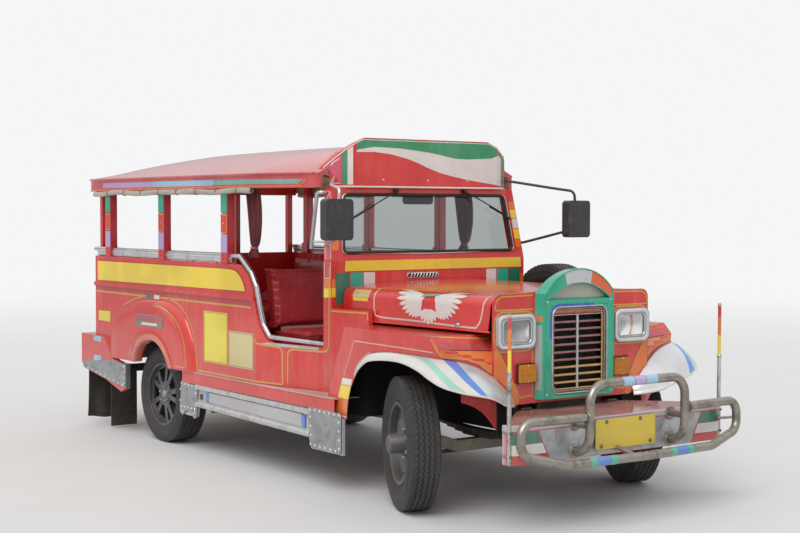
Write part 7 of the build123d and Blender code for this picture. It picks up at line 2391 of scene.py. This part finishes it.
class JEEPNEY_OT_seats(bpy.types.Operator):
    """Covers the long benches and the front seats with puffed, piped vinyl cushions."""

    bl_idname = "jeepney.seats"
    bl_label = "Seats"

    def execute(self, context):
        cut = context.scene.jeepney_cloth
        vinyl = shared("Seat vinyl")
        piping = moulded("Seat piping", "A32A30", scale=190.0, scuffs=0.3, dust=0.1, shine=0.4)

        def cushion(name, corners, edge):
            """A block through eight corners, remeshed and puffed; corners run round the foot, then round the top."""
            block = Mesh()
            rows = [corners[:4], corners[4:]]
            block.grid(rows, vinyl, around=True)
            block.cap(rows[0], vinyl, True)
            block.cap(rows[1], vinyl)
            item = block.piece(name, slot="vinyl", smooth=180)
            settle(item, edge, 0.024, 4.0)
            for polygon in item.data.polygons:
                polygon.use_smooth = True
            return item

        def seam(mesh, path, size):
            mesh.tube(path, size, piping, 8)

        first = True
        for sign in (-1, 1):
            side = "right" if sign < 0 else "left"
            y_out, y_in = sign * 0.885, sign * 0.492
            x0, x1 = -2.370, -0.390
            seat = [(x0, y_out, 0.955), (x1, y_out, 0.955), (x1, y_in, 0.955), (x0, y_in, 0.955),
                    (x0, y_out, 1.020), (x1, y_out, 1.020), (x1, y_in, 1.020), (x0, y_in, 1.020)]
            if sign < 0:
                seat = [seat[i] for i in (3, 2, 1, 0, 7, 6, 5, 4)]
            item = cushion("bench_seat_" + side, seat, 0.012)
            back = [(x0, sign * 0.890, 1.030), (x1, sign * 0.890, 1.030), (x1, sign * 0.842, 1.030),
                    (x0, sign * 0.842, 1.030),
                    (x0, sign * 0.894, 1.326), (x1, sign * 0.894, 1.326), (x1, sign * 0.850, 1.326),
                    (x0, sign * 0.850, 1.326)]
            if sign < 0:
                back = [back[i] for i in (3, 2, 1, 0, 7, 6, 5, 4)]
            cushion("bench_back_" + side, back, 0.012)
            if first:
                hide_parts("bench_cushions")
                first = False
            seams = Mesh()
            for k in range(1, 8):
                x = x0 + (x1 - x0) * k / 8
                seam(seams, [(x, y_in - sign * 0.010, 0.975), (x, y_in - sign * 0.006, 1.020),
                             (x, y_in + sign * 0.030, 1.0355),
                             (x, y_out - sign * 0.060, 1.0355)], 0.0035)
                seam(seams, [(x, sign * 0.838, 1.060), (x, sign * 0.838, 1.200), (x, sign * 0.842, 1.310)], 0.0035)
            seams.piece("bench_seams_" + side, slot="vinyl", smooth=60)

        first = True
        for name, y0, y1 in (("passenger", -0.722, 0.052), ("driver", 0.088, 0.692)):
            seat = [(-0.102, y0, 0.776), (0.312, y0, 0.776), (0.312, y1, 0.776), (-0.102, y1, 0.776),
                    (-0.102, y0, 0.902), (0.312, y0, 0.902), (0.312, y1, 0.902), (-0.102, y1, 0.902)]
            item = cushion("front_seat_" + name, seat, 0.008)
            if first:
                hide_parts("front_seats")
                first = False
            back = [(-0.200, y0, 0.912), (-0.120, y0, 0.912), (-0.120, y1, 0.912), (-0.200, y1, 0.912),
                    (-0.262, y0, 1.338), (-0.182, y0, 1.338), (-0.182, y1, 1.338), (-0.262, y1, 1.338)]
            cushion("front_back_" + name, back, 0.008)
            seams = Mesh()
            count = max(3, round((y1 - y0) / 0.11))
            for k in range(1, count):
                y = y0 + (y1 - y0) * k / count
                seam(seams, [(-0.080, y, 0.9155), (0.290, y, 0.9155), (0.3235, y, 0.880), (0.3250, y, 0.800)], 0.0035)
                seam(seams, [(-0.110, y, 0.960), (-0.138, y, 1.150), (-0.166, y, 1.320)], 0.0035)
            loop = rounded_path([(-0.095, y0 + 0.004, 0.905), (0.310, y0 + 0.004, 0.905), (0.316, y0 + 0.010, 0.905),
                                 (0.316, y1 - 0.010, 0.905), (0.310, y1 - 0.004, 0.905), (-0.095, y1 - 0.004, 0.905)],
                                0.02)
            seams.tube(loop, 0.005, piping, 8)
            # Upright pleats along the open end of the seat
            if name == "passenger":
                x = -0.085
                while x < 0.300:
                    seams.tube([(x, y0 - 0.0135, 0.790), (x, y0 - 0.0165, 0.840), (x, y0 - 0.0135, 0.890)], 0.004,
                               piping, 6)
                    x += cut.pleat * 0.55
            seams.piece("front_seat_seams_" + name, slot="vinyl", smooth=60)
        return {"FINISHED"}


class JEEPNEY_OT_rear_end(bpy.types.Operator):
    """Builds the tail lamps' lenses, the rear panels' lines, the step's strip and tread, and its flaps."""

    bl_idname = "jeepney.rear_end"
    bl_label = "Rear end"

    def execute(self, context):
        self.paint_panels()
        self.step_trim(context.scene.jeepney_body.rivet)
        self.lamps()
        self.flaps()
        return {"FINISHED"}

    def paint_panels(self):
        gold, blue = paint("gold"), paint("light_blue")
        panels = Mesh()
        skin = Skin("rear_frame", "rear_bumper", "side_walls")
        for side in (-1, 1):
            outer, inner = side * 0.885, side * 0.405
            frame_line = ring_outline((outer + inner) / 2, 0.975, abs(outer - inner), 0.40, 0.05)
            skin.line(panels, from_rear, frame_line, 0.007, gold, closed=True)
            # Worn light patches on the step's flank
            view = from_side(side)
            for low_z, high_z in ((0.527, 0.573), (0.687, 0.725)):
                patch = [(-2.450, low_z), (-2.315, low_z - 0.003), (-2.313, high_z + 0.006), (-2.447, high_z)]
                skin.field(panels, view, patch, blue)
        panels.piece("rear_paint", slot="painted_trim", smooth=0)

    def step_trim(self, rivet):
        steel = shared("Riveted plate")
        head = shared("Rivet head")
        trim = Mesh()
        x = -2.682
        half = 0.955
        strip = [(x, -half, 0.524), (x, half, 0.524), (x, half, 0.560), (x, -half, 0.560)]
        trim.slab(strip[::-1], 0.003, (-1, 0, 0), steel, 0.001)
        count = 24
        for i in range(count + 1):
            trim.dome((x - 0.003, -half + 0.02 + (2 * half - 0.04) * i / count, 0.542), (-1, 0, 0), rivet, head, 0.7)
        # Tread plate on the step
        tread = metal("Tread plate", "9A9C9F", rust=0.25, dust=0.6, shine=0.42, stains=0.6)
        trim.slab([(-2.670, -0.372, 0.6205), (-2.500, -0.372, 0.6205), (-2.500, 0.372, 0.6205),
                   (-2.670, 0.372, 0.6205)], 0.003, (0, 0, 1), tread, 0.001)
        for i in range(24):
            for j in range(5):
                a = 0.5 if (i + j) % 2 else -0.5
                u, v = -2.655 + 0.035 * j, -0.357 + 0.031 * i
                cut, drop = 0.009 * math.cos(a), 0.009 * math.sin(a)
                trim.tube([(u - drop, v - cut, 0.6242), (u + drop, v + cut, 0.6242)], 0.0016, tread, 6)
        trim.piece("rear_step_trim", slot="painted_trim", smooth=30)

    def lamps(self):
        bezel = shared("Lamp bezel metal")
        red = shared("Red lens")
        amber = shared("Amber lens")
        clear = moulded("Clear lens", "D9DBDC", scale=60.0, scuffs=0.2, dust=0.2, shine=0.18)
        lenses = Mesh()
        for side in (-1, 1):
            y = side * 0.785
            outline = [(-2.5165, u, v) for u, v in ring_outline(y, 0.905, 0.126, 0.206, 0.029, 8)]
            lenses.tube(outline, 0.0035, bezel, 8, closed=True)
            for low, high, colour in ((0.812, 0.862, clear), (0.866, 0.944, red), (0.948, 0.998, amber)):
                half = 0.052
                rows = []
                count = 13
                for i in range(count * 4 + 1):
                    v = low + (high - low) * i / (count * 4)
                    lift = 0.0022 + 0.0014 * abs(math.sin(math.pi * count * i / (count * 4)))
                    edge = min(i, count * 4 - i) == 0
                    depth = 0.0 if edge else lift
                    rows.append([(-2.5160, y - half, v), (-2.5160 - depth, y - half + 0.002, v),
                                 (-2.5160 - depth, y + half - 0.002, v), (-2.5160, y + half, v)])
                lenses.grid(rows, colour)
            for u in (y - 0.046, y + 0.046):
                lenses.dome((-2.5165, u, 0.946), (-1, 0, 0), 0.004, bezel, 0.6)
        lenses.piece("tail_lamp_lenses", slot="red_lens", smooth=40)

    def flaps(self):
        rubber = shared("Mud flap rubber")
        iron = shared("Greasy iron")
        hung = Mesh()
        for side in (-1, 1):
            rows = []
            columns, steps = 14, 24
            for i in range(steps + 1):
                v = 0.500 - 0.445 * i / steps
                curl = 0.030 * (i / steps) ** 2
                row = []
                for j in range(columns + 1):
                    w = j / columns
                    u = side * (0.935 - 0.215 * w)
                    wave = 0.008 * math.sin(9.0 * w + 2.0) * i / steps
                    row.append((-2.600 - curl + wave, u, v - 0.012 * math.sin(3.0 * w + side) * i / steps))
                rows.append(row)
            front = rows
            back = [[(x - 0.006, y, z) for x, y, z in row] for row in rows]
            ring = [[*a, *reversed(b)] for a, b in zip(front, back)]
            hung.grid(ring, rubber, around=True)
            hung.cap(ring[0], rubber, True)
            hung.cap(ring[-1], rubber)
            for w in (0.15, 0.5, 0.85):
                hung.bolt((-2.6065, side * (0.935 - 0.215 * w), 0.488), (-1, 0, 0), 0.007, iron, 0.007)
        hung.piece("step_flaps", slot="rubber", smooth=40)


class JEEPNEY_OT_wheel_nuts(bpy.types.Operator):
    """Builds the nuts and caps on the wheels."""

    bl_idname = "jeepney.wheel_nuts"
    bl_label = "Wheel nuts"

    def execute(self, context):
        nut = metal("Wheel nut steel", "B4B5B7", rust=0.15, dust=0.12, shine=0.28, stains=0.5)
        slant = Vector((0.39070, 0.92052, 0.0))
        # columns: body, centre, outward axis, nuts, circle's radius, face's distance, nut's radius, cap's radius
        wheels = (
            ("front_wheel_right", (1.57702, -0.83126, 0.386), -slant, 6, 0.080, 0.034, 0.0125, 0.0),
            ("front_wheel_left", (1.66298, 0.83126, 0.386), slant, 6, 0.080, 0.034, 0.0125, 0.0),
            ("rear_wheel_right", (-1.476, -0.767, 0.354), Vector((0, -1, 0)), 5, 0.054, 0.0725, 0.0110, 0.030),
            ("rear_wheel_left", (-1.476, 0.767, 0.354), Vector((0, 1, 0)), 5, 0.054, 0.0725, 0.0110, 0.030),
        )
        for body, centre, axis, count, circle, face, radius, cap in wheels:
            side = axis.cross(Vector((0, 0, 1))).normalized()
            mesh = Mesh()
            for i in range(count):
                a = 2 * math.pi * i / count + (math.pi / count if count == 6 else math.pi / 2)
                spot = Vector(centre) + axis * face + side * (circle * math.cos(a))
                mesh.bolt(spot + Vector((0, 0, circle * math.sin(a))), axis, radius, nut, 0.016)
            if cap:
                mesh.dome(Vector(centre) + axis * (face + 0.004), axis, cap, nut, 0.35, 28)
            mesh.piece(body.replace("wheel", "nuts"), body=body, slot="steel", smooth=35)
        return {"FINISHED"}


class JEEPNEY_OT_controls(bpy.types.Operator):
    """Builds the dials, the horn button, the gear lever and the hand brake."""

    bl_idname = "jeepney.controls"
    bl_label = "Controls"

    def execute(self, context):
        bezel = shared("Lamp bezel metal")
        black = moulded("Dial black", "17181A", scale=200.0, scuffs=0.2, dust=0.3)
        pale = paint("white")
        lever = metal("Lever steel", "5A5856", rust=0.3, dust=0.4, shine=0.36)
        panel = Mesh()
        skin = Skin("dashboard")

        def from_seat(u, v):
            return Vector((0.0, u, v)), Vector((1, 0, 0))

        # columns: y, z, radius
        for y, z, radius in ((0.47, 1.265, 0.048), (0.34, 1.265, 0.048), (0.235, 1.275, 0.030),
                             (0.565, 1.275, 0.030)):
            spot = skin.hit(from_seat, y, z, 0.0)
            if spot is None:
                raise RuntimeError("a dial has nowhere to sit")
            place, normal = spot
            panel.turned([(0, radius + 0.006), (0.012, radius + 0.004), (0.012, radius), (0.004, radius - 0.001)],
                         place,
                         normal, bezel, 32)
            panel.turned([(0.004, radius), (0.0045, 0.001)], place, normal, black, 32)
            up = (Vector((0, 0, 1)) - normal * normal.z).normalized()
            across = normal.cross(up)
            for k in range(11):
                a = math.radians(225 - 27 * k)
                out = across * math.cos(a) + up * math.sin(a)
                turn = normal.cross(out) * 0.0012
                near = place + normal * 0.0052 + out * radius * 0.76
                far = place + normal * 0.0052 + out * radius * 0.92
                panel.add([near - turn, near + turn, far + turn, far - turn], [(0, 1, 2, 3), (3, 2, 1, 0)], pale)
            a = math.radians(200)
            out = across * math.cos(a) + up * math.sin(a)
            panel.tube([place + normal * 0.0065, place + normal * 0.0065 + out * radius * 0.8], 0.0012, pale, 6)
            panel.dome(place + normal * 0.005, normal, 0.005, bezel, 0.7)
        for y in (0.10, 0.145, 0.19):
            place, normal = skin.hit(from_seat, y, 1.22, 0.0)
            panel.turned([(0, 0.011), (0.018, 0.010), (0.022, 0.007), (0.022, 0.001)], place, normal, black, 16)
        panel.tube(rounded_path([(0.42, 0.02, 0.62), (0.40, 0.02, 0.85), (0.33, 0.03, 1.00)], 0.05), 0.008, lever, 12)
        panel.turned([(-0.022, 0.004), (-0.016, 0.018), (0, 0.024), (0.016, 0.018), (0.022, 0.002)],
                     (0.327, 0.031, 1.012),
                     (-0.45, 0.06, 0.9), black, 20)
        panel.tube([(0.30, 0.12, 0.62), (0.18, 0.12, 0.80)], 0.009, lever, 12)
        panel.tube([(0.20, 0.12, 0.77), (0.155, 0.12, 0.838)], 0.0135, black, 14)
        panel.piece("cab_controls", slot="black_plastic", smooth=40)
        # The horn button turns with the steering wheel
        wheel = Mesh()
        column = Vector((0.788011, 0.0, -0.615661))
        centre = Vector((0.345, 0.38, 1.232))
        wheel.turned([(0.0, 0.030), (0.006, 0.029), (0.010, 0.022), (0.0115, 0.001)], centre - column * 0.026,
                     -column,
                     bezel, 28)
        wheel.piece("horn_button", body="steering_wheel", slot="black_plastic", smooth=40)
        return {"FINISHED"}


class JEEPNEY_PT_pieces(bpy.types.Panel):
    """Lists the sizes, the colours and the pieces."""

    bl_label = "Jeepney"
    bl_idname = "JEEPNEY_PT_pieces"
    bl_space_type = "VIEW_3D"
    bl_region_type = "UI"
    bl_category = "Jeepney"

    def draw(self, context):
        for key in ("jeepney_paint", "jeepney_body", "jeepney_tyre", "jeepney_cloth", "jeepney_stage"):
            group = getattr(context.scene, key)
            box = self.layout.box()
            for field in group.bl_rna.properties.keys():
                if field not in ("rna_type", "name"):
                    box.prop(group, field)
        for operator in OPERATORS:
            self.layout.operator(operator.bl_idname)


OPERATORS = (
    JEEPNEY_OT_stage,
    JEEPNEY_OT_finishes,
    JEEPNEY_OT_roof,
    JEEPNEY_OT_side_paint,
    JEEPNEY_OT_sills,
    JEEPNEY_OT_wheel_swells,
    JEEPNEY_OT_sign_board,
    JEEPNEY_OT_windscreen,
    JEEPNEY_OT_hood,
    JEEPNEY_OT_nose,
    JEEPNEY_OT_flares,
    JEEPNEY_OT_front_bumper,
    JEEPNEY_OT_bull_bar,
    JEEPNEY_OT_tyres,
    JEEPNEY_OT_posts,
    JEEPNEY_OT_rolled_tarps,
    JEEPNEY_OT_tied_curtains,
    JEEPNEY_OT_seats,
    JEEPNEY_OT_rear_end,
    JEEPNEY_OT_wheel_nuts,
    JEEPNEY_OT_controls,
)
GROUPS = {
    "jeepney_paint": PaintColours,
    "jeepney_body": BodySizes,
    "jeepney_tyre": TyreSizes,
    "jeepney_cloth": ClothSizes,
    "jeepney_stage": StageSettings,
}


def register():
    for group in GROUPS.values():
        bpy.utils.register_class(group)
    for key, group in GROUPS.items():
        setattr(bpy.types.Scene, key, PointerProperty(type=group))
    for operator in OPERATORS:
        bpy.utils.register_class(operator)
    bpy.utils.register_class(JEEPNEY_PT_pieces)


def unregister():
    bpy.utils.unregister_class(JEEPNEY_PT_pieces)
    for operator in reversed(OPERATORS):
        bpy.utils.unregister_class(operator)
    for key in GROUPS:
        delattr(bpy.types.Scene, key)
    for group in GROUPS.values():
        bpy.utils.unregister_class(group)


def main():
    """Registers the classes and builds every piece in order."""
    register()
    for operator in OPERATORS:
        area, name = operator.bl_idname.split(".")
        getattr(getattr(bpy.ops, area), name)()
    bpy.context.view_layer.update()


if __name__ == "__main__":
    main()
